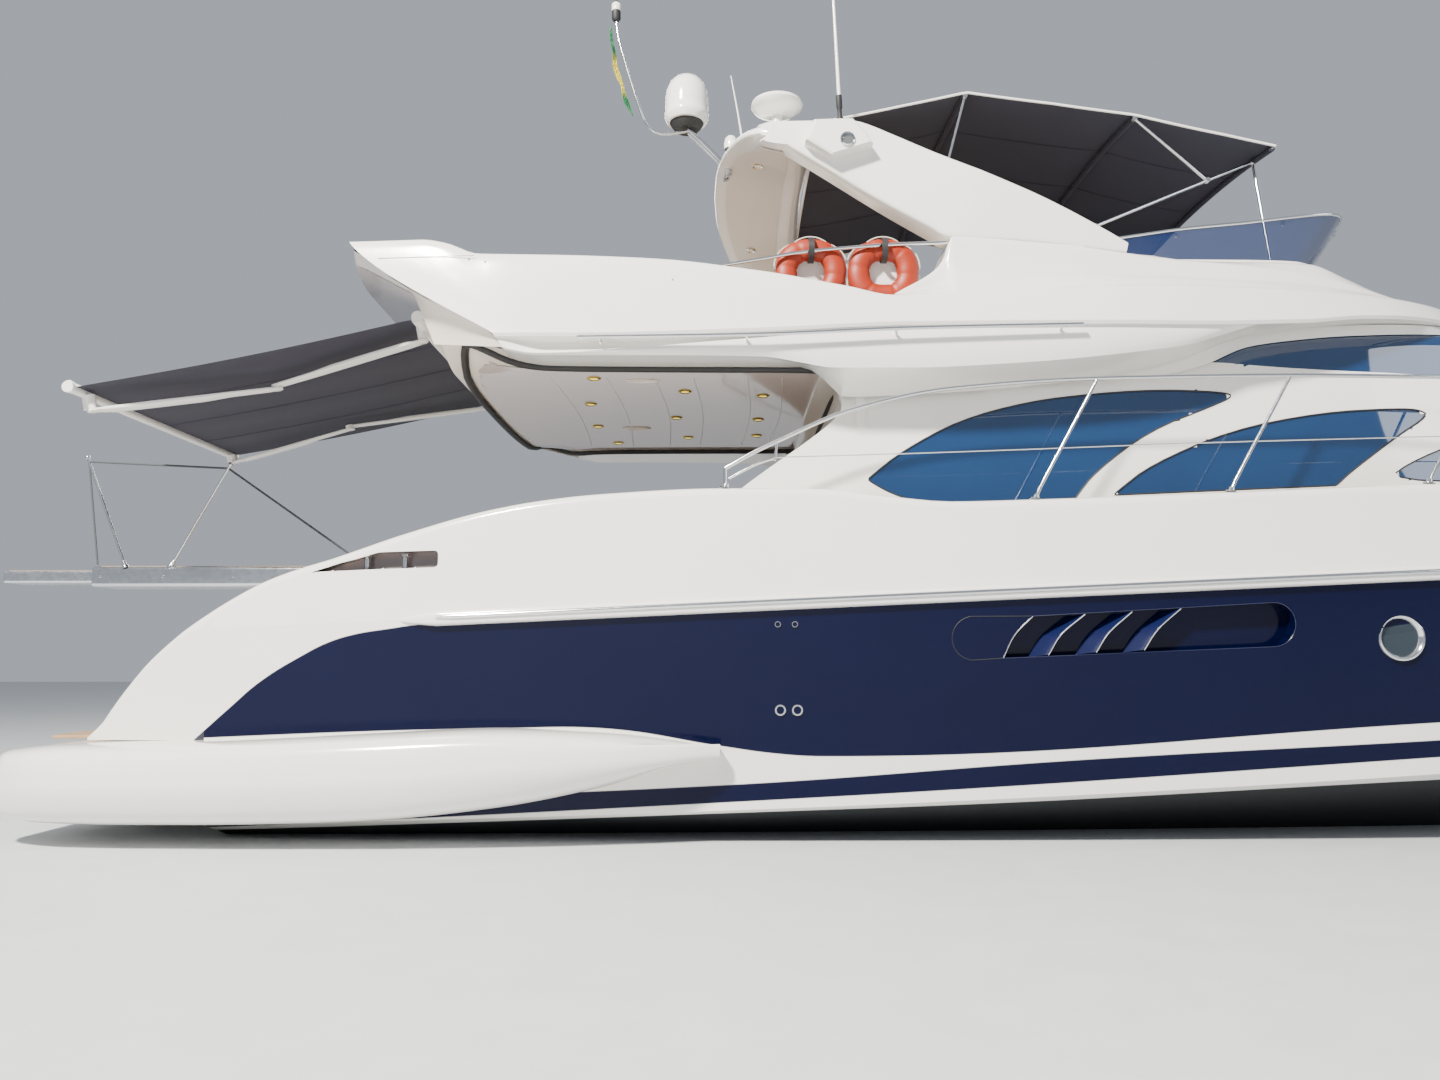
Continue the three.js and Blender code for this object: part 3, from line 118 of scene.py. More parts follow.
class Finish:
    """One procedural material, built up from node calls."""

    def __init__(self, name):
        self.material = bpy.data.materials.new(name)
        self.material.use_nodes = True
        self.tree = self.material.node_tree
        self.tree.nodes.clear()
        self.output = self.tree.nodes.new("ShaderNodeOutputMaterial")
        self.coordinates = None

    def node(self, kind, settings, inputs, output=0):
        """A node of one type: its settings first, then values or links of its sockets."""
        made = self.tree.nodes.new(kind)
        for key, value in settings.items():
            if key == "stops":
                ramp = made.color_ramp
                while len(ramp.elements) < len(value):
                    ramp.elements.new(0.5)
                for element, (at, colour) in zip(ramp.elements, value):
                    element.position = at
                    element.color = colour
            elif key == "points":
                curve = made.mapping.curves[0]
                while len(curve.points) < len(value):
                    curve.points.new(0.5, 0.5)
                for point, place in zip(curve.points, value):
                    point.location = place
                made.mapping.update()
            else:
                setattr(made, key, value)
        for key, value in inputs.items():
            socket = made.inputs[key]
            if isinstance(value, Value):
                self.tree.links.new(value.socket, socket)
            else:
                socket.default_value = value
        return Value(self, made.outputs[output])

    def place(self):
        """Object coordinates, which are metres in the frame of the whole yacht."""
        if self.coordinates is None:
            self.coordinates = self.node("ShaderNodeTexCoord", {}, {}, "Object")
        return self.coordinates

    def split(self):
        parts = self.node("ShaderNodeSeparateXYZ", {}, {0: self.place()})
        outputs = parts.socket.node.outputs
        return [Value(self, outputs[i]) for i in range(3)]

    def stretched(self, scale):
        return self.node("ShaderNodeMapping", {}, {"Vector": self.place(), "Scale": scale})

    def noise(self, scale, detail=3.0, roughness=0.5, vector=None):
        return self.node("ShaderNodeTexNoise", {}, {"Vector": vector or self.place(),
            "Scale": scale, "Detail": detail, "Roughness": roughness})

    def between(self, share, first, second):
        """A colour between two, by a share from 0 to 1."""
        made = self.node("ShaderNodeMix", {"data_type": "RGBA"}, {0: share}, 2)
        for place, colour in ((6, first), (7, second)):
            socket = made.socket.node.inputs[place]
            if isinstance(colour, Value):
                self.tree.links.new(colour.socket, socket)
            else:
                socket.default_value = (*colour[:3], 1.0)
        return made

    def line(self, x, table, low, high):
        """A smooth line through (x, z) rows, read at x."""
        x0, x1 = table[0][0], table[-1][0]
        points = [((a - x0) / (x1 - x0), (b - low) / (high - low)) for a, b in table]
        share = (x - x0) / (x1 - x0)
        read = self.node("ShaderNodeFloatCurve", {"points": points}, {"Value": share.capped()})
        return read * (high - low) + low

    def bump(self, height, strength, distance):
        return self.node("ShaderNodeBump", {}, {"Height": height, "Strength": strength,
            "Distance": distance})

    def surface(self, sockets):
        """The closing shader, from a table of its sockets."""
        shader = self.node("ShaderNodeBsdfPrincipled", {}, {key: (*value, 1.0)
            if isinstance(value, tuple) and len(value) == 3 else value for key,
            value in sockets.items()})
        self.tree.links.new(shader.socket, self.output.inputs["Surface"])
        return self.material


# Finishes
WHITE = (0.86, 0.845, 0.8)
CREAM = (0.78, 0.7, 0.57)
NAVY = (0.0009, 0.002, 0.018)
ANTIFOULING = (0.012, 0.013, 0.016)


def gelcoat(name, colour, roughness=0.16, shade=0.93):
    """Gloss moulded gelcoat: clouds of a slightly darker tone and a faint ripple."""
    f = Finish(name)
    cloud = f.noise(0.9, 4.0)
    darker = tuple((c * shade for c in colour))
    ripple = f.noise(9.0, 2.0)
    return f.surface({"Base Color": f.between(cloud, darker, colour),
        "Roughness": cloud * 0.08 + (roughness - 0.03), "Coat Weight": 0.6, "Coat Roughness": 0.06,
        "Normal": f.bump(ripple, 0.05, 0.01)})


BLUE_AFT = [(-8.49, 0.777), (-8.2, 1.03), (-7.97, 1.224), (-7.604, 1.446), (-7.434, 1.53),
    (-7.242, 1.591), (-6.87, 1.652), (-6.6, 1.7), (-6.4, 1.8)]
BLUE_LOWER = [(-8.4, 0.8), (-6.05, 0.88), (-5.3, 0.88), (-4.41, 0.75), (-3.97, 0.69), (-3.62, 0.67),
    (0.99, 0.92), (4.0, 1.1), (7.0, 1.36), (10.0, 1.72)]
BOOT_UPPER = [(-8.4, 0.3), (-4.41, 0.45), (-1.61, 0.65), (1.01, 0.79), (4.0, 0.95), (7.0, 1.19),
    (10.0, 1.53)]
BOOT_LOWER = [(-8.4, 0.1), (-4.7, 0.3), (-2.44, 0.43), (1.03, 0.66), (4.0, 0.84), (7.0, 1.09),
    (10.0, 1.45)]
WATER_EDGE = [(-8.4, 0.06), (-4.7, 0.22), (-2.28, 0.31), (1.06, 0.48), (4.0, 0.57), (7.0, 0.66),
    (10.0, 0.78)]


def hull_paint():
    """Navy topsides with a white and a blue boot stripe over black antifouling; white again
    on the quarter, aft of a rising curve."""
    f = Finish("navy_hull_paint")
    x, y, z = f.split()
    edge = 0.004
    navy = f.between(f.noise(1.4, 4.0), (0.0014, 0.0028, 0.023), NAVY)
    white = f.between(f.noise(0.9, 4.0), tuple((c * 0.93 for c in WHITE)), WHITE)
    weed = f.noise(14.0, 6.0, 0.7)
    black = f.between(weed, ANTIFOULING, (0.03, 0.033, 0.034))
    over_water = z.above(f.line(x, WATER_EDGE, -1.0, 3.0), edge)
    over_boot_low = z.above(f.line(x, BOOT_LOWER, -1.0, 3.0), edge)
    over_boot = z.above(f.line(x, BOOT_UPPER, -1.0, 3.0), edge)
    over_stripe = z.above(f.line(x, BLUE_LOWER, -1.0, 3.0), edge)
    quarter = z.above(f.line(x, BLUE_AFT, -1.0, 3.0), edge) * (-6.4 - x).above(0.0, 0.01)
    colour = f.between(over_water, black, white)
    colour = f.between(over_boot_low, colour, navy)
    colour = f.between(over_boot, colour, white)
    colour = f.between(over_stripe, colour, navy)
    colour = f.between(quarter, colour, white)
    inside = ((1.9 - y.absolute()).above(0.0, edge) * (3.64 - x).above(0.0, edge)
        * z.above(1.55, edge))
    colour = f.between(inside, colour, white)
    gloss = over_water * -0.48 + 0.6
    return f.surface({"Base Color": colour, "Roughness": gloss, "Specular IOR Level": 0.15,
        "Normal": f.bump(f.noise(4.0, 2.0), 0.04, 0.012)})


def wing_gelcoat():
    """White gelcoat of the topsides; the hull's navy ends in a point on the stern wing."""
    f = Finish("topsides_gelcoat")
    x, _, z = f.split()
    cloud = f.noise(0.9, 4.0)
    white = f.between(cloud, tuple((c * 0.93 for c in WHITE)), WHITE)
    under = (f.line(x, BLUE_AFT, -1.0, 3.0) - z).above(0.0, 0.004)
    point = under * (-8.37 - x).above(0.0, 0.004)
    return f.surface({"Base Color": f.between(point, white, NAVY), "Roughness": cloud * 0.08 + 0.13,
        "Coat Weight": 0.6, "Coat Roughness": 0.06, "Normal": f.bump(f.noise(9.0, 2.0), 0.05,
        0.01)})


def stainless(name="polished_stainless", tint=(0.78, 0.79, 0.8), roughness=0.12):
    """Polished steel with faint smears."""
    f = Finish(name)
    smear = f.noise(22.0, 4.0)
    return f.surface({"Base Color": f.between(smear, tuple((c * 0.9 for c in tint)), tint),
        "Roughness": smear * 0.16 + (roughness - 0.05), "Metallic": 1.0})


def bronze():
    """Cast bronze, dulled by sea growth in patches."""
    f = Finish("cast_bronze")
    patch = f.noise(16.0, 6.0, 0.65)
    return f.surface({"Base Color": f.between(patch, (0.16, 0.15, 0.09), (0.52, 0.37, 0.16)),
        "Roughness": patch * -0.3 + 0.62, "Metallic": 0.85, "Normal": f.bump(f.noise(60.0, 4.0),
        0.3, 0.003)})


def tinted_glass(name, colour, alpha):
    """Dark glass with a hard gloss."""
    f = Finish(name)
    cloud = f.noise(1.1, 2.0)
    return f.surface({"Base Color": f.between(cloud, tuple((c * 0.75 for c in colour)), colour),
        "Roughness": 0.03, "Coat Weight": 1.0, "Coat Roughness": 0.02, "IOR": 1.6, "Alpha": alpha})


def canvas(name="charcoal_canvas", colour=(0.014, 0.013, 0.034)):
    """Woven acrylic canvas: fine crossing threads and soft creases."""
    f = Finish(name)
    threads = f.node("ShaderNodeTexWave", {"wave_type": "BANDS", "bands_direction": "X"},
        {"Vector": f.place(), "Scale": 160.0, "Distortion": 0.4})
    picks = f.node("ShaderNodeTexWave", {"wave_type": "BANDS", "bands_direction": "Y"},
        {"Vector": f.place(), "Scale": 160.0, "Distortion": 0.4})
    cloud = f.noise(2.2, 4.0)
    weave = (threads + picks) * 0.5
    shade = tuple((c * 0.6 for c in colour))
    return f.surface({"Base Color": f.between(cloud * 0.6 + weave * 0.4, shade, colour),
        "Roughness": weave * 0.1 + 0.8, "Sheen Weight": 0.08, "Sheen Roughness": 0.5,
        "Normal": f.bump(weave + cloud * 0.5, 0.25, 0.002)})


def teak():
    """Teak planks laid fore and aft, with dark caulking lines between them."""
    f = Finish("caulked_teak")
    _, y, _ = f.split()
    plank = 0.055
    across = (y / plank).fraction()
    seam = (across - 0.5).absolute().above(0.455, 0.02)
    grain = f.noise(6.0, 6.0, 0.6, f.stretched((0.7, 22.0, 6.0)))
    wood = f.between(grain, (0.27, 0.155, 0.075), (0.5, 0.33, 0.185))
    return f.surface({"Base Color": f.between(seam, wood, (0.02, 0.018, 0.016)),
        "Roughness": grain * 0.2 + 0.45, "Normal": f.bump(grain * 0.4 - seam, 0.3, 0.002)})


def vinyl(name="cream_vinyl", colour=(0.78, 0.74, 0.65)):
    """Marine vinyl: a small pebble grain and soft shading."""
    f = Finish(name)
    pebble = f.node("ShaderNodeTexVoronoi", {}, {"Vector": f.place(), "Scale": 320.0})
    cloud = f.noise(3.0, 4.0)
    return f.surface({"Base Color": f.between(cloud, tuple((c * 0.9 for c in colour)), colour),
        "Roughness": cloud * 0.12 + 0.42, "Normal": f.bump(pebble, 0.15, 0.0008)})


def plain(name, colour, roughness=0.5, metallic=0.0, grain=30.0, depth=0.001, strength=0.15):
    """An even finish with a slight mottle and grain."""
    f = Finish(name)
    mottle = f.noise(grain, 4.0)
    return f.surface({"Base Color": f.between(mottle, tuple((c * 0.85 for c in colour)), colour),
        "Roughness": mottle * 0.1 + (roughness - 0.05), "Metallic": metallic,
        "Normal": f.bump(mottle, strength, depth)})


def lit_lens(name, colour, glow):
    """Frosted lens with a lamp alight behind it."""
    f = Finish(name)
    frost = f.noise(90.0, 3.0)
    return f.surface({"Base Color": f.between(frost, tuple((c * 0.9 for c in colour)), colour),
        "Roughness": frost * 0.1 + 0.2, "Emission Color": f.between(frost,
        tuple((c * 0.8 for c in colour)), colour), "Emission Strength": glow})


def flag_cloth():
    """Green cloth with a yellow field in its middle, by height along the staff."""
    f = Finish("flag_cloth")
    _, _, z = f.split()
    weave = f.noise(420.0, 2.0)
    patch = z.above(6.8, 0.05) - z.above(7.16, 0.06)
    colour = f.between(patch, (0.02, 0.2, 0.07), (0.72, 0.62, 0.05))
    return f.surface({"Base Color": colour, "Roughness": weave * 0.1 + 0.75,
        "Normal": f.bump(weave, 0.2, 0.001)})


GELCOAT = gelcoat("white_gelcoat", WHITE)
TOPSIDES_GELCOAT = wing_gelcoat()
CREAM_GELCOAT = gelcoat("cream_gelcoat", CREAM, 0.3)
HULL_PAINT = hull_paint()
STAINLESS = stainless()
BRONZE = bronze()
GLASS = tinted_glass("blue_tinted_glass", (0.004, 0.032, 0.105), 0.96)
DARK_GLASS = tinted_glass("dark_door_glass", (0.03, 0.045, 0.06), 0.7)
ACRYLIC = tinted_glass("blue_acrylic", (0.015, 0.035, 0.13), 0.5)
CANVAS = canvas()
TEAK = teak()
VINYL = vinyl()
ORANGE = plain("lifebuoy_orange", (0.3, 0.02, 0.0004), 0.5, grain=40.0)
ENGINE_GREY = plain("engine_enamel", (0.45, 0.46, 0.47), 0.4)
NAVY_TRIM = gelcoat("navy_trim", (0.004, 0.0075, 0.045), 0.25)
RUBBER = plain("black_rubber", (0.015, 0.015, 0.016), 0.6)
# Beige: the colour of the ceiling's margin and the arch's lining, and painted shade on the raked end
# faces and after corner panels, which look aft and down
BEIGE_LINING_AND_PAINTED_SHADE = gelcoat("beige_lining_and_painted_shade", (0.72, 0.66, 0.58), 0.3)
# Ceiling panel: glossy, with a warm brown tint that is painted reflection
CEILING_GLOSS_AND_PAINTED_REFLECTION = gelcoat("ceiling_gloss_painted_reflection", (0.52, 0.45, 0.43), 0.07)
BRASS = plain("brass_ring", (0.62, 0.5, 0.1), 0.25, 0.8)
LENS = plain("lamp_lens", (0.85, 0.84, 0.7), 0.2)
LIT_LENS = lit_lens("lit_lamp_lens", (1.0, 0.78, 0.16), 1.1)
ROPE = plain("white_line", (0.66, 0.63, 0.55), 0.85, grain=300.0)
FLAG = flag_cloth()
GREY_SEAL = plain("grey_seal", (0.25, 0.25, 0.26), 0.6)
# Dark tint on the fairlead pocket's walls: painted shade inside the recess, on steel
FAIRLEAD_STEEL_PAINTED_SHADE = stainless("fairlead_steel_painted_shade", (0.3, 0.26, 0.25), 0.35)
GREY_ROPE = plain("grey_hand_rope", (0.07, 0.075, 0.085), 0.85, grain=220.0)
GANGWAY_METAL = stainless("brushed_gangway_steel", (0.72, 0.74, 0.77), 0.2)
GALVANISED = stainless("galvanised_steel", (0.55, 0.56, 0.56), 0.45)
SUN_VINYL = vinyl("sun_pad_vinyl", (0.8, 0.77, 0.7))

# Slot of the record that each finish goes under, where a piece names no other
SLOTS = {"navy_hull": [HULL_PAINT, NAVY_TRIM], "white_gelcoat": [GELCOAT, TOPSIDES_GELCOAT,
    BEIGE_LINING_AND_PAINTED_SHADE, CEILING_GLOSS_AND_PAINTED_REFLECTION, LENS, LIT_LENS, ROPE], "stainless": [STAINLESS, FAIRLEAD_STEEL_PAINTED_SHADE,
    GANGWAY_METAL, GALVANISED], "bronze": [BRONZE, BRASS], "tinted_glass": [GLASS, DARK_GLASS],
    "blue_acrylic": [ACRYLIC], "dark_canvas": [CANVAS, RUBBER, GREY_SEAL, GREY_ROPE],
    "teak": [TEAK], "upholstery": [CREAM_GELCOAT, VINYL, SUN_VINYL], "lifebuoy_orange": [ORANGE]}
SLOT_OF = {material: slot for slot, materials in SLOTS.items() for material in materials}

# Finish of each node of the frame; a star stands for port and for starboard
NODE_FINISH = {GELCOAT: ["topsides", "foredeck", "swim_platform", "stern_steps", "garage_door",
    "gangway_base", "deckhouse", "lower_dashboard", "flybridge_moulding", "flybridge_console",
    "radar_arch", "satellite_mast", "awning_cassette", "awning_front_bar", "awning_*_upper_arm",
    "awning_*_forearm"], HULL_PAINT: ["hull"], STAINLESS: ["*_rub_rail", "gangway_outer_stage",
    "gangway_inner_stage", "lower_wheel", "flybridge_wheel", "bimini_frame", "*_side_rail",
    "anchor", "*_shaft"], BRONZE: ["*_propeller", "*_rudder"], GLASS: ["*_aft_window",
    "*_middle_window", "*_forward_window", "windscreen", "foredeck_hatch"],
    DARK_GLASS: ["saloon_fixed_door", "saloon_sliding_door"], ACRYLIC: ["flybridge_windscreen"],
    CANVAS: ["bimini_canopy", "awning_cloth"], TEAK: ["teak_sole", "cockpit_table",
    "flybridge_table"], VINYL: ["cockpit_sofa", "saloon_sofa", "flybridge_helm_seat",
    "flybridge_sofa", "foredeck_sunpad"], ORANGE: ["forward_lifebuoy", "aft_lifebuoy"],
    ENGINE_GREY: ["*_engine"]}
for material, names in NODE_FINISH.items():
    for name in names:
        for word in ("port", "starboard") if "*" in name else ("",):
            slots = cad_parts[name.replace("*", word)].data.materials
            slots.clear()
            slots.append(material)


# Surfaces worked out with numpy
ACROSS = np.array((0, 1.0, 0))


def joined(*axes):
    """Points from their coordinates, each an array or one number for all."""
    return np.stack(np.broadcast_arrays(*axes), axis=-1)


def full_turn(count):
    """Angles at equal steps round a circle."""
    return np.linspace(0, 2 * np.pi, count, endpoint=False)


def oblong(low_a, high_a, low_b, high_b):
    """The four corners of an upright oblong."""
    return [(low_a, low_b), (high_a, low_b), (high_a, high_b), (low_a, high_b)]


def ribs(*rows):
    """Rows of points, or tuples of their coordinates, laid side by side as a grid."""
    rows = [joined(*row) if isinstance(row, tuple) else row for row in rows]
    return np.stack(np.broadcast_arrays(*rows), axis=-2)


def smooth_line(table, x):
    """Monotone cubic through (x, value) rows: Hermite spans whose slopes are the harmonic mean
    of the neighbouring spans' slopes, or zero where those differ in sign."""
    xs, vs = np.array(table, dtype=float).T
    step = np.diff(xs)
    slope = np.diff(vs) / step
    product = slope[:-1] * slope[1:]
    total = np.where(product > 0, slope[:-1] + slope[1:], 1.0)
    inner = np.where(product > 0, 2 * product / total, 0.0)
    tangent = np.concatenate([slope[:1], inner, slope[-1:]])
    x = np.clip(np.asarray(x, dtype=float), xs[0], xs[-1])
    i = np.clip(np.searchsorted(xs, x) - 1, 0, len(step) - 1)
    t = (x - xs[i]) / step[i]
    h = step[i]
    return ((2 * t ** 3 - 3 * t ** 2 + 1) * vs[i] + (t ** 3 - 2 * t ** 2 + t) * h * tangent[i]
        + (3 * t ** 2 - 2 * t ** 3) * vs[i + 1] + (t ** 3 - t ** 2) * h * tangent[i + 1])


def straight_line(table, x):
    """Straight spans through (x, value) rows."""
    xs, vs = np.array(table, dtype=float).T
    return np.interp(x, xs, vs)


def rounded(rows, times=2):
    """Corner cutting along the last row of points: each span gives the points at its
    quarters, and the two ends stay."""
    for _ in range(times):
        a, b = rows[..., :-1, :], rows[..., 1:, :]
        cut = ribs(a * 0.75 + b * 0.25, a * 0.25 + b * 0.75)
        cut = cut.reshape(*rows.shape[:-2], -1, rows.shape[-1])
        rows = np.concatenate([rows[..., :1, :], cut, rows[..., -1:, :]], axis=-2)
    return rows


def rounded_loop(points, times=2):
    """Corner cutting round a closed outline."""
    points = np.array(points, dtype=float)
    for _ in range(times):
        after = np.roll(points, -1, axis=0)
        points = ribs(points * 0.75 + after * 0.25, points * 0.25 + after * 0.75).reshape(-1,
            points.shape[1])
    return points


def smooth_path(points, count):
    """Catmull-Rom curve through the points, at equal steps of its length."""
    points = np.array(points, dtype=float)
    p = np.vstack([2 * points[0] - points[1], points, 2 * points[-1] - points[-2]])
    t = np.linspace(0, 1, 24, endpoint=False)[None, :, None]
    a, b, c, d = p[:-3, None], p[1:-2, None], p[2:-1, None], p[3:, None]
    fine = (0.5 * (2 * b + (c - a) * t + (2 * a - 5 * b + 4 * c - d) * t ** 2
        + (3 * b - a - 3 * c + d) * t ** 3))
    fine = np.vstack([fine.reshape(-1, points.shape[1]), points[-1:]])
    reach = np.concatenate([[0], np.cumsum(np.linalg.norm(np.diff(fine, axis=0), axis=1))])
    at = np.linspace(0, reach[-1], count)
    return np.stack([np.interp(at, reach, fine[:, k]) for k in range(points.shape[1])], axis=1)


def softened(outline, turn):
    """Each corner of a closed outline replaced by a short curve that leaves its two edges
    turn away from it."""
    p = np.array(outline, dtype=float)

    def towards(other):
        way = other - p
        length = np.linalg.norm(way, axis=1, keepdims=True)
        return p + way * np.minimum(turn, length * 0.45) / length

    a, b = towards(np.roll(p, 1, axis=0)), towards(np.roll(p, -1, axis=0))
    t = np.linspace(0, 1, 6)[None, :, None]
    curve = (1 - t) ** 2 * a[:, None] + 2 * t * (1 - t) * p[:, None] + t ** 2 * b[:, None]
    return curve.reshape(-1, 2)


def even_loop(outline, count):
    """A closed outline as points at equal steps of its length."""
    p = np.vstack([outline, outline[:1]])
    reach = np.concatenate([[0], np.cumsum(np.linalg.norm(np.diff(p, axis=0), axis=1))])
    at = np.linspace(0, reach[-1], count, endpoint=False)
    return np.stack([np.interp(at, reach, p[:, k]) for k in (0, 1)], axis=1)


def inset(outline, depth):
    """A closed outline drawn inwards by a depth, along the normals of its points."""
    p = np.asarray(outline, dtype=float)
    way = np.roll(p, -1, axis=0) - np.roll(p, 1, axis=0)
    way /= np.maximum(np.linalg.norm(way, axis=1, keepdims=True), 1e-9)
    area = (p[:, 0] * np.roll(p[:, 1], -1) - np.roll(p[:, 0], -1) * p[:, 1]).sum()
    return p - joined(way[:, 1], -way[:, 0]) * depth * np.sign(area)


def inside_distance(x, z, outline):
    """Distance from (x, z) to a closed outline: negative inside, positive outside."""
    a = np.asarray(outline, dtype=float)
    b = np.roll(a, -1, axis=0)
    p = joined(np.ravel(x), np.ravel(z))[:, None, :]
    edge = (b - a)[None]
    along = np.clip(((p - a) * edge).sum(-1) / np.maximum((edge ** 2).sum(-1), 1e-12), 0, 1)
    gap = np.linalg.norm(p - a - along[..., None] * edge, axis=-1).min(axis=1)
    rises = (a[:, 1] > p[..., 1]) != (b[:, 1] > p[..., 1])
    drop = np.where(b[:, 1] == a[:, 1], 1e-12, b[:, 1] - a[:, 1])
    crossing = a[:, 0] + (p[..., 1] - a[:, 1]) * (b[:, 0] - a[:, 0]) / drop
    inside = (rises & (p[..., 0] < crossing)).sum(axis=1) % 2 == 1
    return np.where(inside, -gap, gap).reshape(np.shape(x))


def drawn_to(grid, field):
    """Moves the grid's points that lie within half a cell of field = 0 onto it: each slides
    along the grid by field over the field's own gradient."""
    rise_u, rise_v = np.gradient(field)
    size = np.maximum(rise_u ** 2 + rise_v ** 2, 1e-12)
    du, dv = -field * rise_u / size, -field * rise_v / size
    near = np.maximum(abs(du), abs(dv)) < 0.56
    nu, nv = field.shape
    iu, iv = np.meshgrid(np.arange(nu), np.arange(nv), indexing="ij")
    u = np.clip(iu + np.where(near, du, 0), 0, nu - 1)
    v = np.clip(iv + np.where(near, dv, 0), 0, nv - 1)
    u0, v0 = np.minimum(u.astype(int), nu - 2), np.minimum(v.astype(int), nv - 2)
    fu, fv = (u - u0)[..., None], (v - v0)[..., None]
    return ((grid[u0, v0] * (1 - fu) + grid[u0 + 1, v0] * fu) * (1 - fv)
        + (grid[u0, v0 + 1] * (1 - fu) + grid[u0 + 1, v0 + 1] * fu) * fv)


def cell_mean(field):
    """The mean of a field over each cell's four corners."""
    return (field[:-1, :-1] + field[1:, :-1] + field[1:, 1:] + field[:-1, 1:]) / 4


def cell_faces(nu, nv, cells=None):
    """Corner numbers of a grid's cells, all of them or those chosen."""
    i, j = np.meshgrid(np.arange(nu - 1), np.arange(nv - 1), indexing="ij")
    faces = np.stack([i * nv + j, (i + 1) * nv + j, (i + 1) * nv + j + 1, i * nv + j + 1], axis=-1)
    return faces.reshape(-1, 4) if cells is None else faces[cells]


def free_edges(faces):
    """Edges that belong to one face only, in that face's own direction."""
    edges = np.concatenate([faces[:, [k, (k + 1) % 4]] for k in range(4)])
    _, first, times = np.unique(np.sort(edges, axis=1), axis=0, return_index=True,
        return_counts=True)
    return edges[first[times == 1]]


def set_at(outline, level, axis):
    """A flat outline as points at a level along an axis."""
    first, second = np.asarray(outline, dtype=float).T
    order = {"x": (level, first, second), "y": (first, level, second), "z": (first, second, level)}
    return joined(*order[axis])


def normals_of(grid):
    """Unit normals of a grid, from the cross product of its two gradients."""
    du, dv = np.gradient(grid, axis=0), np.gradient(grid, axis=1)
    n = np.cross(du, dv)
    return n / np.maximum(np.linalg.norm(n, axis=-1, keepdims=True), 1e-9)


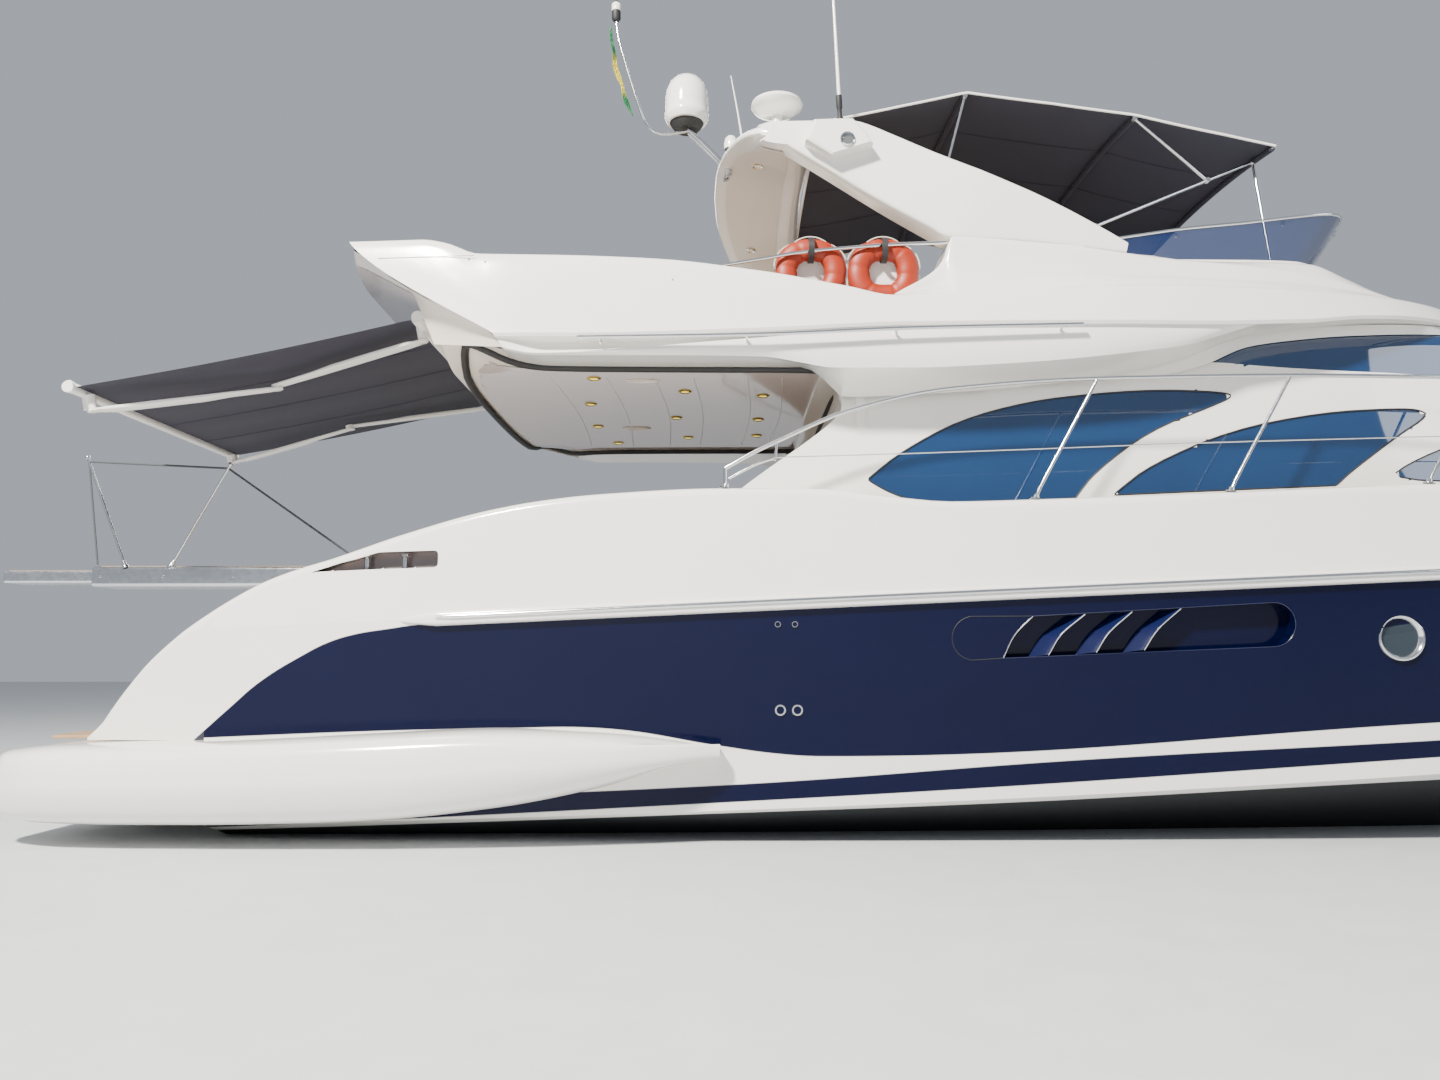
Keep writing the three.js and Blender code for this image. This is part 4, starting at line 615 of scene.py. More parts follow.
class Skin:
    """Points and four-sided faces gathered from several surfaces into one mesh."""

    def __init__(self):
        self.points = []
        self.faces = []
        self.count = 0

    def add_faces(self, points, faces):
        self.points.append(np.asarray(points, dtype=float).reshape(-1, 3))
        self.faces.append(np.asarray(faces, dtype=int) + self.count)
        self.count += len(self.points[-1])
        return self

    def grid(self, points, wrap_u=False, wrap_v=False, keep=None, flip=False):
        """Faces between neighbouring points of a (u, v) grid. keep picks cells."""
        points = np.asarray(points)
        nu, nv = points.shape[:2]
        i, j = np.meshgrid(np.arange(nu if wrap_u else nu - 1), np.arange(nv if wrap_v else nv - 1),
            indexing="ij")
        i2, j2 = (i + 1) % nu, (j + 1) % nv
        faces = np.stack([i * nv + j, i2 * nv + j, i2 * nv + j2, i * nv + j2], axis=-1)
        faces = faces[keep] if keep is not None else faces.reshape(-1, 4)
        return self.add_faces(points, faces[:, ::-1] if flip else faces)

    def cap(self, ring, flip=False):
        """A ring of points closed by faces to its middle."""
        ring = np.asarray(ring, dtype=float)
        both = np.stack([ring, np.repeat(ring.mean(axis=0)[None], len(ring), axis=0)])
        return self.grid(both, wrap_v=True, flip=flip)

    def capped(self, rings, flip=False):
        """Rings joined in turn, with caps on the first and the last."""
        self.grid(rings, wrap_v=True)
        self.cap(rings[0])
        return self.cap(rings[-1], flip=flip)

    def stacked(self, rings):
        """Rings joined in turn, the first and the last filled by triangles."""
        self.grid(rings, wrap_v=True)
        self.filled(rings[0])
        return self.filled(rings[-1])

    def sheet(self, points, thick, keep=None, flip=False):
        """A grid with a wall: the grid, its offset inwards and the strip along every free
        edge of the cells kept."""
        points = np.asarray(points)
        shift = normals_of(points) * (thick if flip else -thick)
        faces = cell_faces(*points.shape[:2], keep)
        if flip:
            faces = faces[:, ::-1]
        free = free_edges(faces)
        n = points.shape[0] * points.shape[1]
        rim = np.stack([free[:, 1], free[:, 0], free[:, 0] + n, free[:, 1] + n], axis=1)
        both = np.concatenate([points.reshape(-1, 3), (points + shift).reshape(-1, 3)])
        return self.add_faces(both, np.concatenate([faces, faces[:, ::-1] + n, rim]))

    def tube(self, path, radius, sides=12, closed=False, flat=1.0):
        """A round section carried along a path by parallel transport, with closed ends."""
        path = np.asarray(path, dtype=float)
        if closed:
            heading = np.roll(path, -1, axis=0) - np.roll(path, 1, axis=0)
        else:
            heading = np.gradient(path, axis=0)
        heading /= np.maximum(np.linalg.norm(heading, axis=1, keepdims=True), 1e-12)
        seed = np.array([0.0, 0.0, 1.0]) if abs(heading[0, 2]) < 0.9 else np.array([0.0, 1.0, 0.0])
        side = np.cross(heading, seed)
        side /= np.maximum(np.linalg.norm(side, axis=1, keepdims=True), 1e-9)
        up = np.cross(side, heading)
        angle = full_turn(sides)
        radius = np.broadcast_to(radius, len(path))[:, None, None]
        rings = (path[:, None] + radius * (np.cos(angle)[None, :, None] * side[:, None] + flat
            * np.sin(angle)[None, :, None] * up[:, None]))
        self.grid(rings, wrap_u=closed, wrap_v=True)
        if not closed:
            self.cap(rings[0])
            self.cap(rings[-1], flip=True)
        return self

    def lathe(self, profile, centre, axis=(0, 0, 1), sides=32):
        """A profile of (radius, height) rows turned about an axis through a centre."""
        profile = np.asarray(profile, dtype=float)
        axis = np.array(axis, dtype=float) / np.linalg.norm(axis)
        seed = np.array([1.0, 0, 0]) if abs(axis[0]) < 0.9 else ACROSS
        e1 = np.cross(axis, seed)
        e1 /= np.linalg.norm(e1)
        e2 = np.cross(axis, e1)
        angle = full_turn(sides)
        ring = np.cos(angle)[:, None] * e1 + np.sin(angle)[:, None] * e2
        rows = (np.array(centre) + profile[:, 1, None, None] * axis + profile[:, 0, None, None]
            * ring[None])
        return self.grid(rows, wrap_v=True)

    def block(self, outline, low, high, axis="y"):
        """A closed outline carried straight from low to high, with both ends closed."""
        return self.stacked([set_at(outline, level, axis) for level in (low, high)])

    def filled(self, ring):
        """A flat ring of any outline closed by triangles."""
        ring = np.asarray(ring, dtype=float)
        thirds = np.array(tessellate_polygon([[Vector(p) for p in ring]]))
        return self.add_faces(ring, thirds[:, (0, 1, 2, 2)])

    def slab(self, outline, low, high, axis="z", turn=0.006):
        """A block with rounded end edges: at turn (1 - cos a) from an end its outline is
        drawn in by turn (1 - sin a)."""
        low, high = min(low, high), max(low, high)
        angle = np.array([0.0, 0.5, 1.0]) * np.pi / 2
        up, out = turn * (1 - np.cos(angle)), turn * (1 - np.sin(angle))
        levels = [*zip(low + up, out), *zip((high - up)[::-1], out[::-1])]
        return self.stacked([set_at(inset(outline, depth), level, axis) for level, depth in levels])

    def mirrored(self):
        """The same faces again across the middle of the boat."""
        points, faces = self.gathered()
        self.points, self.faces, self.count = [], [], 0
        self.add_faces(points, faces)
        return self.add_faces(points * (1, -1, 1), faces[:, ::-1])

    def gathered(self):
        return np.concatenate(self.points), np.concatenate(self.faces)

    def piece(self, name, material, body="hull", slot=None, sharp=38.0, outward=True, weld=1e-5):
        """The finished object: doubles merged, empty faces dropped, smooth shading with
        sharp edges kept, faces outwards, riding on its body."""
        points, faces = self.gathered()
        keys = np.round(points / weld).astype(np.int64)
        _, first, back = np.unique(keys, axis=0, return_index=True, return_inverse=True)
        points, faces = points[first], back.reshape(-1)[faces]
        same = faces == np.roll(faces, -1, axis=1)
        crossed = (faces[:, 0] == faces[:, 2]) | (faces[:, 1] == faces[:, 3])
        quads = faces[(same.sum(axis=1) == 0) & ~crossed]
        folded = (same.sum(axis=1) == 1) & ~crossed
        three, doubled = faces[folded], same[folded].argmax(axis=1)
        keep = np.stack([(doubled + k) % 4 for k in (1, 2, 3)], axis=1)
        thirds = np.take_along_axis(three, keep, axis=1)
        mesh = bpy.data.meshes.new(name)
        mesh.vertices.add(len(points))
        mesh.vertices.foreach_set("co", points.astype(np.float32).ravel())
        loops = np.concatenate([quads.ravel(), thirds.ravel()])
        mesh.loops.add(len(loops))
        mesh.loops.foreach_set("vertex_index", loops.astype(np.int32))
        sizes = np.concatenate([np.full(len(quads), 4), np.full(len(thirds), 3)])
        mesh.polygons.add(len(sizes))
        mesh.polygons.foreach_set("loop_start", (np.cumsum(sizes) - sizes).astype(np.int32))
        mesh.update(calc_edges=True)
        mesh.validate()
        if outward:
            shell = bmesh.new()
            shell.from_mesh(mesh)
            bmesh.ops.recalc_face_normals(shell, faces=shell.faces)
            shell.to_mesh(mesh)
            shell.free()
        mesh.shade_smooth()
        mesh.set_sharp_from_angle(angle=math.radians(sharp))
        mesh.materials.append(material)
        made = bpy.data.objects.new(name, mesh)
        bpy.context.scene.collection.objects.link(made)
        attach(made, body)
        slot = slot or SLOT_OF.get(material)
        return made


# Lines of the hull, as in the frame
TRANSOM_X, STEM_X = -8.4, 10.0
TUB_FLOOR = 1.62
CHINE_LAP = 0.012


def rub_z(x):
    """Height of the rub line: straight, rising forward."""
    return 2.01 + 0.045 * x


def rub_half(x):
    """Half breadth at the rub line: a parabola aft of the middle, and forward of it full breadth
    less a power of the share of the way to the stem."""
    return np.where(x < 0, 2.5 * (1 - 0.08 * (x / -8.4) ** 2), 2.5
        * (1 - np.abs(np.maximum(x, 0) / 10.15) ** 2.8))


def chine_z(x):
    """Height of the chine: a parabola rising forward."""
    t = x + 4.7
    return 0.22 + 0.038 * t + 0.0022 * t * t


def chine_half(x):
    """Half breadth at the chine: a parabola aft, and forward full breadth less a power of the
    share of the way to the stem."""
    return np.where(x < 0, 2.28 - 0.003 * x ** 2, np.maximum(2.28
        * (1 - (np.maximum(x, 0) / 8.8) ** 2.4), 0.015))


def keel_z(x):
    """Height of the keel: a straight rise aft, and a power curve up to the stem."""
    aft = -0.9 + 0.03 * np.maximum(0, -x - 2)
    return np.where(x < 4, aft, -0.9 + 3.12 * (np.maximum(x - 4, 0) / 6) ** 2.2)


def hull_side(x, t):
    """Hull side at share t from the chine to the rub line: half breadth and height."""
    chine = np.maximum(chine_z(x), keel_z(x) + CHINE_LAP) + 0.025
    out = chine_half(x) + 0.045
    flare = 1 + 0.9 * np.maximum(0, x / 10)
    return out + (rub_half(x) - out) * t ** flare, chine + (rub_z(x) - chine) * t


def stations(*spans):
    """Places along the boat from (from, to, step) rows."""
    rows = [np.arange(a, b - step / 3, step) for a, b, step in spans]
    return np.append(np.concatenate(rows), spans[-1][1])


VENT_CENTRES = ((-2.471, 1.565), (-0.194, 1.668))
VENT_HALF = 0.165
VENT_FLOOR = 0.125
VENT_FINS = [((-2.249, 1.414), (-2.165, 1.585), (-2.023, 1.732)),
    ((-1.904, 1.438), (-1.805, 1.597), (-1.628, 1.745)), ((-1.542, 1.458), (-1.443, 1.61),
    (-1.271, 1.764)), ((-1.178, 1.475), (-1.072, 1.634), (-0.9, 1.789))]
PORTHOLE = (0.785, 1.57, 0.168)
PORTHOLE_DEEP = 0.035
GARAGE_MOUTH = np.array([-8.4, 0.0, 1.14])
MOUTH_HALF, MOUTH_TALL, MOUTH_DEEP = 1.15, 0.34, 1.5
# Outlets in the hull side: place along, height and size
OUTLETS = ((-3.96, 1.67, 0.026), (-3.83, 1.67, 0.026), (-3.94, 1.02, 0.046), (-3.81, 1.02, 0.046))


def vent_outline(grow=0.0):
    """The vent's slot: a round fore end, and an aft end along its first fin."""
    (_, _), (xf, zf) = VENT_CENTRES
    half = VENT_HALF + grow
    angle = np.linspace(-np.pi / 2, np.pi / 2, 15)
    fore = joined(xf + half * np.cos(angle), zf + half * np.sin(angle))
    low, middle, high = VENT_FINS[0]
    aft = smooth_path([high, middle, low], 9)
    return np.vstack([fore, aft + (-grow, 0)])


def circle(x, z, radius, count=40):
    angle = full_turn(count)
    return joined(x + radius * np.cos(angle), z + radius * np.sin(angle))


def hull_half_breadth(x, z):
    """Half breadth of the hull side at a height: the side's own formula, solved for its
    share t, which is linear in height."""
    chine = np.maximum(chine_z(x), keel_z(x) + CHINE_LAP) + 0.025
    t = np.clip((z - chine) / (rub_z(x) - chine), 0, 1)
    return hull_side(x, t)[0]


def build_hull():
    """Half shell from keel to rub line on a grid of stations and shares, then its mirror.
    Cells inside the vent and the porthole are dropped, and their pockets put in."""
    x = stations((TRANSOM_X, -2.62, 0.12), (-2.62, 0.06, 0.016), (0.06, 0.58, 0.06),
        (0.58, 1.0, 0.016), (1.0, 8.2, 0.12), (8.2, STEM_X, 0.06))
    share = np.concatenate([np.linspace(0, 0.56, 9)[:-1], np.linspace(0.56, 0.985, 46), [1.0]])
    half, height = hull_side(x[:, None], share[None])
    side = joined(np.broadcast_to(x[:, None], half.shape), half, height)
    drop = np.linspace(0, 1, 11)[None]
    keel = keel_z(x)[:, None]
    chine = np.maximum(chine_z(x), keel_z(x) + CHINE_LAP)[:, None]
    bottom = joined(np.broadcast_to(x[:, None], (len(x), 11)), chine_half(x)[:, None] * drop,
        keel + (chine - keel) * (1.24 * drop - 0.24 * drop ** 2))
    fields = [inside_distance(side[..., 0], side[..., 2], outline)
        for outline in (vent_outline(), circle(*PORTHOLE))]
    field = np.minimum(*fields)
    moved = drawn_to(side, field)
    moved[..., 1] = hull_half_breadth(moved[..., 0], moved[..., 2])
    skin = Skin()
    skin.grid(moved, keep=cell_mean(field) > 0)
    skin.grid(ribs(bottom[:, -1], moved[:, 0]))
    skin.grid(bottom)
    for shape, depth in zip(fields, (VENT_FLOOR, PORTHOLE_DEEP)):
        floor = moved.copy()
        floor[..., 1] -= depth
        cells = cell_mean(shape) <= 0
        skin.grid(floor, keep=cells)
        wall_between(skin, moved, floor, cells)
    # rim inwards at the rub line, tub wall and tub floor
    tub = np.interp(x, [TRANSOM_X, 1.5, 3.5, 3.6], [1.85, 1.85, 1.5, 0.0])
    top = moved[:, -1]
    rim = ribs(top, (x, np.minimum(tub, top[:, 1]), top[:, 2]))
    skin.grid(rim)
    floor_z = np.where(x <= 3.55, TUB_FLOOR, top[:, 2])
    wall = ribs(rim[:, 1], (x, rim[:, 1, 1], floor_z), (x, x * 0, floor_z))
    skin.grid(wall)
    # transom around the mouth of the garage
    outline = np.vstack([bottom[0], moved[0], wall[0]])
    centre = GARAGE_MOUTH
    ray = outline[:, 1:] - centre[1:]
    reach = np.minimum(MOUTH_HALF / np.maximum(abs(ray[:, 0]), 1e-9),
        MOUTH_TALL / np.maximum(abs(ray[:, 1]), 1e-9))
    mouth = outline.copy()
    mouth[:, 1:] = centre[1:] + ray * np.minimum(reach, 1)[:, None]
    inner = mouth + (MOUTH_DEEP, 0, 0)
    skin.grid([outline, mouth, inner])
    skin.grid([inner, np.repeat(centre[None] + (MOUTH_DEEP, 0, 0), len(inner), axis=0)])
    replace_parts(skin.mirrored().piece("hull_shell", HULL_PAINT, sharp=32.0), "hull")


def wall_between(skin, outer, inner, cells):
    """The strip from the free edges of the chosen cells on one grid to the same on another."""
    free = free_edges(cell_faces(*outer.shape[:2], cells))
    n = outer.shape[0] * outer.shape[1]
    points = np.concatenate([outer.reshape(-1, 3), inner.reshape(-1, 3)])
    skin.add_faces(points, np.stack([free[:, 0], free[:, 1], free[:, 1] + n, free[:, 0] + n],
        axis=1))


PORT_FIRST = ((1, "port"), (-1, "starboard"))


def both_sides(make):
    """Runs a maker for starboard (-1) and port (1)."""
    for side, word in PORT_FIRST[::-1]:
        make(side, word)


def hull_fittings(side, word):
    """Vent fins with bright edges, the vent's rim and cover line, the porthole's ring and
    glass, and the pairs of small outlets."""
    fins, edges = Skin(), Skin()
    for low, middle, high in VENT_FINS:
        line = smooth_path([low, middle, high], 12)
        y = side * (hull_half_breadth(line[:, 0], line[:, 1]) - 0.004)
        outer = joined(line[:, 0], y, line[:, 1])
        inner = outer + joined(0 * y - 0.12, 0 * y - side * (VENT_FLOOR - 0.008), 0 * y - 0.02)
        fins.sheet([outer, inner], 0.006)
        edges.tube(outer + (0, side * 0.002, 0), 0.005, 8)
    fins.piece(f"{word}_vent_fins", NAVY_TRIM)
    rim = vent_outline(0.002)
    y = side * (hull_half_breadth(rim[:, 0], rim[:, 1]) + 0.0005)
    loop = joined(rim[:, 0], y, rim[:, 1])
    Skin().tube(loop, 0.003, 6, closed=True).piece(f"{word}_vent_rim", NAVY_TRIM)
    edges.piece(f"{word}_vent_edges", STAINLESS)
    (xa, za), _ = VENT_CENTRES
    angle = np.linspace(np.pi / 2, 3 * np.pi / 2, 20)
    cover = np.vstack([[VENT_FINS[0][2]], joined(xa + VENT_HALF * np.cos(angle),
        za + VENT_HALF * np.sin(angle)), [VENT_FINS[0][0]]])
    path = smooth_path(cover, 60)
    y = side * hull_half_breadth(path[:, 0], path[:, 1])
    Skin().tube(joined(path[:, 0], y, path[:, 1]), 0.003, 6).piece(f"{word}_vent_cover_line",
        RUBBER, slot="navy_hull")
    x, z, radius = PORTHOLE
    y = side * hull_half_breadth(x, z)
    ring = [(radius - 0.03, -0.03), (radius - 0.016, 0.002), (radius - 0.004, 0.009),
        (radius + 0.008, 0.006), (radius + 0.012, -0.004), (radius - 0.002, -0.03),
        (radius - 0.03, -0.03)]
    Skin().lathe(ring, (x, y, z), (0, side, 0), 56).piece(f"{word}_porthole_ring", STAINLESS)
    pane = [(0, -0.022), (radius - 0.02, -0.024), (radius - 0.02, -0.031), (0, -0.031)]
    Skin().lathe(pane, (x, y, z), (0, side, 0), 40).piece(f"{word}_porthole_glass", DARK_GLASS)
    outlets = Skin()
    for x, z, size in OUTLETS:
        y = side * hull_half_breadth(x, z)
        outlets.lathe([(0.0, -0.004), (size * 0.55, -0.003), (size * 0.65, 0.008),
            (size * 0.9, 0.008), (size, -0.002)], (x, y, z), (0, side, 0), 24)
    outlets.piece(f"{word}_outlets", STAINLESS)


# Topsides above the rub line
BULWARK_TOP = [(-9.33, 0.8), (-9.24, 0.9), (-9.14, 1.04), (-9.0, 1.22), (-8.85, 1.39),
    (-8.66, 1.56), (-8.48, 1.7), (-8.21, 1.88), (-7.95, 2.02), (-7.7, 2.115), (-7.45, 2.19),
    (-7.29, 2.245), (-6.87, 2.39), (-6.26, 2.565), (-5.8, 2.65), (-5.33, 2.7), (-4.4, 2.742),
    (-3.7, 2.735), (-3.1, 2.675), (-2.6, 2.63), (-1.95, 2.645), (-0.44, 2.7), (1.07, 2.765),
    (2.0, 2.79), (6.0, 2.86), (10.0, 2.99)]
TUMBLEHOME = 0.09
BULWARK_THICK = 0.13
PLATFORM_TOP = 0.781
TUB_HALF = 1.854
STEP_AFT, STEP_FORE = -3.34, -3.06
FAIRLEAD = [(-7.631, 2.078), (-7.42, 2.135), (-7.22, 2.185), (-7.06, 2.235), (-6.59, 2.248),
    (-6.587, 2.115), (-7.1, 2.1)]


def bulwark_top(x):
    return smooth_line(BULWARK_TOP, x)


def side_deck_z(x):
    """Height of the side deck: straight, rising forward."""
    return 2.45 + 0.022 * (x + 3.2)


def side_breadth(x, z):
    """Half breadth outside: the hull's side up to the rub line, then leaning in."""
    return np.where(z < rub_z(x), hull_half_breadth(x, z), rub_half(x) - TUMBLEHOME
        * (z - rub_z(x)))


def house_half(x):
    """The deckhouse's half breadth at deck level: constant, then a parabola inwards."""
    return 1.98 - 0.036 * np.maximum(0, x - 0.5) ** 2


def build_topsides():
    """One half: side, rounded shoulder, capping, inner face and deck in one section that
    runs from the wing on the platform to the stem. The fairlead is a pocket in the side."""
    x = stations((-9.33, TRANSOM_X, 0.03), (TRANSOM_X, -7.66, 0.05), (-7.66, -6.52, 0.018),
        (-6.52, -3.5, 0.12), (-3.5, -2.9, 0.04), (-2.9, 8.0, 0.15), (8.0, STEM_X, 0.05))
    top = bulwark_top(x)
    foot = np.where(x < -8.395, PLATFORM_TOP, rub_z(x) + 0.0005)
    foot = np.minimum(foot, top - 0.01)
    turn = np.minimum(0.07, (top - foot) * 0.45)
    share = np.linspace(0, 1, 37)[None]
    z = foot[:, None] + (top - turn - foot)[:, None] * share
    side = joined(np.broadcast_to(x[:, None], z.shape), side_breadth(x[:, None], z), z)
    outline = softened(FAIRLEAD, 0.035)
    field = inside_distance(side[..., 0], side[..., 2], outline)
    moved = drawn_to(side, field)
    moved[..., 1] = side_breadth(moved[..., 0], moved[..., 2])
    cells = cell_mean(field) <= 0
    skin = Skin()
    skin.grid(moved, keep=~cells)
    # shoulder: a quarter turn from the side to the capping
    at_top = np.maximum(side_breadth(x, top), 0.05)
    q = np.linspace(0, 1, 9)[None, :, None]
    low = moved[:, -1]
    corner = joined(x, at_top, top)
    flat = joined(x, np.maximum(at_top - turn * 1.2, 0.02), top)
    shoulder = ((1 - q) ** 2 * low[:, None] + 2 * q * (1 - q) * corner[:, None] + q ** 2
        * flat[:, None])
    skin.grid(shoulder)
    step = np.clip((x - STEP_AFT) / (STEP_FORE - STEP_AFT), 0, 1)
    step = step * step * (3 - 2 * step)
    deck = top + (side_deck_z(x) - top) * step
    inner = np.maximum(at_top - BULWARK_THICK, 0.012)
    to_house = np.where(x < -3.2, TUB_HALF, np.where(x < 4.8, house_half(x) - 0.12, 0.0))
    to_house = np.minimum(to_house, inner)
    low_in = np.where(x < TRANSOM_X, PLATFORM_TOP, TUB_FLOOR)
    low_in = np.where(x > -3.2, deck - 0.02, np.minimum(low_in, deck - 0.005))
    cover = ribs((flat[:, 1], top), (inner + 0.012, top), (inner, top - 0.012 * step),
        (inner - 0.004, deck + 0.01 * step), (inner - 0.014, deck), (to_house + 0.01, deck),
        (to_house, deck - 0.01), (to_house, low_in))
    cover[..., 0] = np.minimum(cover[..., 0], flat[:, None, 1])
    cover = with_station(x, cover)
    skin.grid(cover)
    sides = skin.mirrored().piece("topsides_shell", TOPSIDES_GELCOAT, sharp=40.0)
    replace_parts(sides, "topsides")
    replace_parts(sides, "foredeck")
    # The pocket's floor and walls are dark: painted shade inside the recess
    linings = Skin()
    floor = moved - (0, 0.11, 0)
    linings.grid(floor, keep=cells)
    wall_between(linings, moved, floor, cells)
    linings.mirrored().piece("fairlead_linings", FAIRLEAD_STEEL_PAINTED_SHADE, outward=False)
    linings = Skin()
    for at in (-7.16, -6.86):
        y = side_breadth(at, 2.15) - 0.045
        linings.lathe([(0, 0), (0.035, 0), (0.035, 0.012), (0.02, 0.03), (0.02, 0.1),
            (0.035, 0.115), (0.035, 0.13), (0, 0.13)], (at, y, 2.09), sides=20)
    linings.mirrored().piece("fairlead_rollers", STAINLESS)


def trunk_top(x):
    """Height of the foredeck trunk over straight spans."""
    return straight_line([(4.9, 3.33), (6.0, 3.13), (7.2, 2.95), (8.3, 2.72)], x)


def build_foredeck():
    """Trunk ahead of the windscreen: its half section rounds from a low wall to a crowned
    top and falls away at its fore end. A hatch coaming stands on it."""
    x = stations((4.88, 8.5, 0.05))
    half = 1.27 - 0.085 * np.maximum(0, x - 4.9) * ((x - 3.0) / 4.5)
    fade = np.clip((8.5 - x) / 0.35, 0, 1) ** 0.5
    base = side_deck_z(x) - 0.02
    top = base + (np.maximum(trunk_top(np.minimum(x, 8.3)), base + 0.05) - base) * fade
    rows = ribs((half + 0.04, base), (half, base + 0.01), (half - 0.01, base + (top - base) * 0.8),
        (half - 0.09, top), (half * 0.5, top + 0.012), (half * 0, top + 0.016))
    rows = rounded(rows, 3)
    grid = with_station(x, rows)
    skin = Skin().grid(grid)
    skin.mirrored().piece("foredeck_trunk", GELCOAT)
    # teak on the side decks, a strip that keeps clear of house and bulwark
    x = stations((-3.0, 9.2, 0.1))
    outer = np.maximum(side_breadth(x, bulwark_top(x)) - BULWARK_THICK - 0.05, 0.03)
    inner = np.where(x < 4.9, house_half(x) + 0.05, half_of_trunk(x) + 0.1)
    inner = np.minimum(inner, outer - 0.02)
    z = side_deck_z(x) + 0.006
    teak = Skin()
    strip = ribs((x, outer, z), (x, inner, z))
    teak.sheet(strip, 0.008)
    teak.mirrored().piece("side_deck_teak", TEAK)


def half_of_trunk(x):
    """The trunk's half breadth: a parabola that narrows forward."""
    return np.where(x < 8.4, 1.27 - 0.085 * np.maximum(0, x - 4.9) * ((x - 3.0) / 4.5), 0.0)


def rub_rails(side, word):
    """Rail along the join: a rounded section of (out, up) rows carried along the rub line,
    tapering to a nose aft; and the half-round cap set in its face."""
    x = stations((-6.86, -6.5, 0.02), (-6.5, 9.6, 0.12), (9.6, 10.0, 0.03))
    nose = np.clip((x + 6.862) / 0.29, 0, 1) ** 0.6 * np.clip((10.02 - x) / 0.1, 0.05, 1)
    section = rounded(np.array([(-0.01, -0.056), (0.034, -0.052), (0.05, -0.03), (0.05, 0.03),
        (0.034, 0.052), (-0.01, 0.056)]), 2)
    base = np.zeros((len(x), len(section), 3))
    base[..., 0] = x[:, None]
    base[..., 1] = side * (rub_half(x)[:, None] + nose[:, None] * section[:, 0])
    base[..., 2] = rub_z(x)[:, None] + nose[:, None] * section[:, 1]
    rail = Skin().grid(base)
    rail.cap(base[0])
    rail.cap(base[-1], flip=True)
    made = rail.piece(f"{word}_rub_strip", GELCOAT)
    x = stations((-6.57, 9.9, 0.12))
    path = joined(x, side * (rub_half(x) + 0.048), rub_z(x) + 0.01)
    cap = Skin().tube(path, np.where((x < -6.56) | (x > 9.88), 0.014, 0.021), 12)
    cap.piece(f"{word}_rub_cap", STAINLESS)
    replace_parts(made, f"{word}_rub_rail")


# Swim platform and its bulges
BULGE_ROOT = 1.9
BULGE = [(-10.0, 2.2, 0.66, 0.25), (-9.93, 2.32, 0.7, 0.205), (-9.8, 2.44, 0.725, 0.185),
    (-9.4, 2.62, 0.765, 0.175), (-8.9, 2.68, 0.778, 0.17), (-8.4, 2.7, 0.785, 0.17),
    (-7.7, 2.73, 0.815, 0.18), (-7.0, 2.74, 0.85, 0.205), (-6.05, 2.72, 0.885, 0.3),
    (-5.3, 2.66, 0.86, 0.44), (-4.75, 2.56, 0.8, 0.59), (-4.4, 2.455, 0.725, 0.69)]


def build_platform():
    """Half section from the middle of the top, out round the bulge and back beneath; its
    breadth, top and underside follow the bulge's table."""
    table = np.array(BULGE)

    def bulge(x, inner):
        out = smooth_line(table[:, [0, 1]], x)
        top = smooth_line(table[:, [0, 2]], x)
        low = smooth_line(table[:, [0, 3]], x)
        reach = out - BULGE_ROOT
        mid = (top + low) / 2
        rows = ribs((inner, top), (BULGE_ROOT + reach * 0.5, top),
            (BULGE_ROOT + reach * 0.78, top - 0.004), (out - 0.03, top - 0.05),
            (out + 0.015, mid + 0.1), (out + 0.01, mid - 0.06),
            (BULGE_ROOT + reach * 0.86, low + 0.02), (BULGE_ROOT + reach * 0.55, low), (inner, low))
        rows = rounded(rows, 3)
        return with_station(x, rows)

    skin = Skin()
    aft = stations((-10.0, -9.6, 0.02), (-9.6, -8.4, 0.1))
    grid = bulge(aft, aft * 0)
    skin.grid(grid)
    skin.cap(grid[0], flip=True)
    fore = stations((-8.4, -4.4, 0.06))
    grid = bulge(fore, fore * 0 + 1.95)
    skin.grid(grid)
    skin.cap(grid[-1])
    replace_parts(skin.mirrored().piece("platform_shell", GELCOAT, sharp=50.0), "swim_platform")
    panel = softened(oblong(-9.88, -9.38, -1.75, 1.75), 0.08)
    Skin().slab(panel, 0.765, 0.79, "z").piece("platform_teak", TEAK)


# Flybridge moulding
FLY_AFT, RAKE_END, WELL_END = -7.43, -5.4, -2.985
WING_HALF, FASCIA_TOP = 2.09, 4.46
FLY_PLAN = [(FLY_AFT, 2.33), (-6.0, 2.42), (-1.5, 2.42), (0.0, 2.3), (1.0, 2.11), (1.6, 1.9),
    (2.3, 1.48), (2.9, 0.95)]
COAMING_TOP = [(FLY_AFT, 4.8), (-6.82, 4.8), (-6.62, 4.765), (-6.35, 4.668), (-5.57, 4.65),
    (-4.9, 4.62), (-4.07, 4.52), (-3.37, 4.39), (-3.0, 4.315), (-2.19, 4.36), (-1.16, 4.4),
    (-0.67, 4.42), (0.6, 4.42), (1.57, 4.4), (2.3, 4.33), (2.9, 4.13)]
KNUCKLE = [(FLY_AFT, 3.97), (-6.2, 3.97), (-5.53, 3.97), (-4.09, 4.01), (-2.92, 4.06),
    (-0.78, 4.08), (0.3, 4.13), (0.87, 4.2), (1.63, 4.24), (2.3, 4.22), (2.9, 4.03)]
RAKE = [(3.8, -6.08), (3.97, -6.2), (4.27, -6.74), (4.48, -7.08), (4.72, -7.38), (4.8, FLY_AFT)]
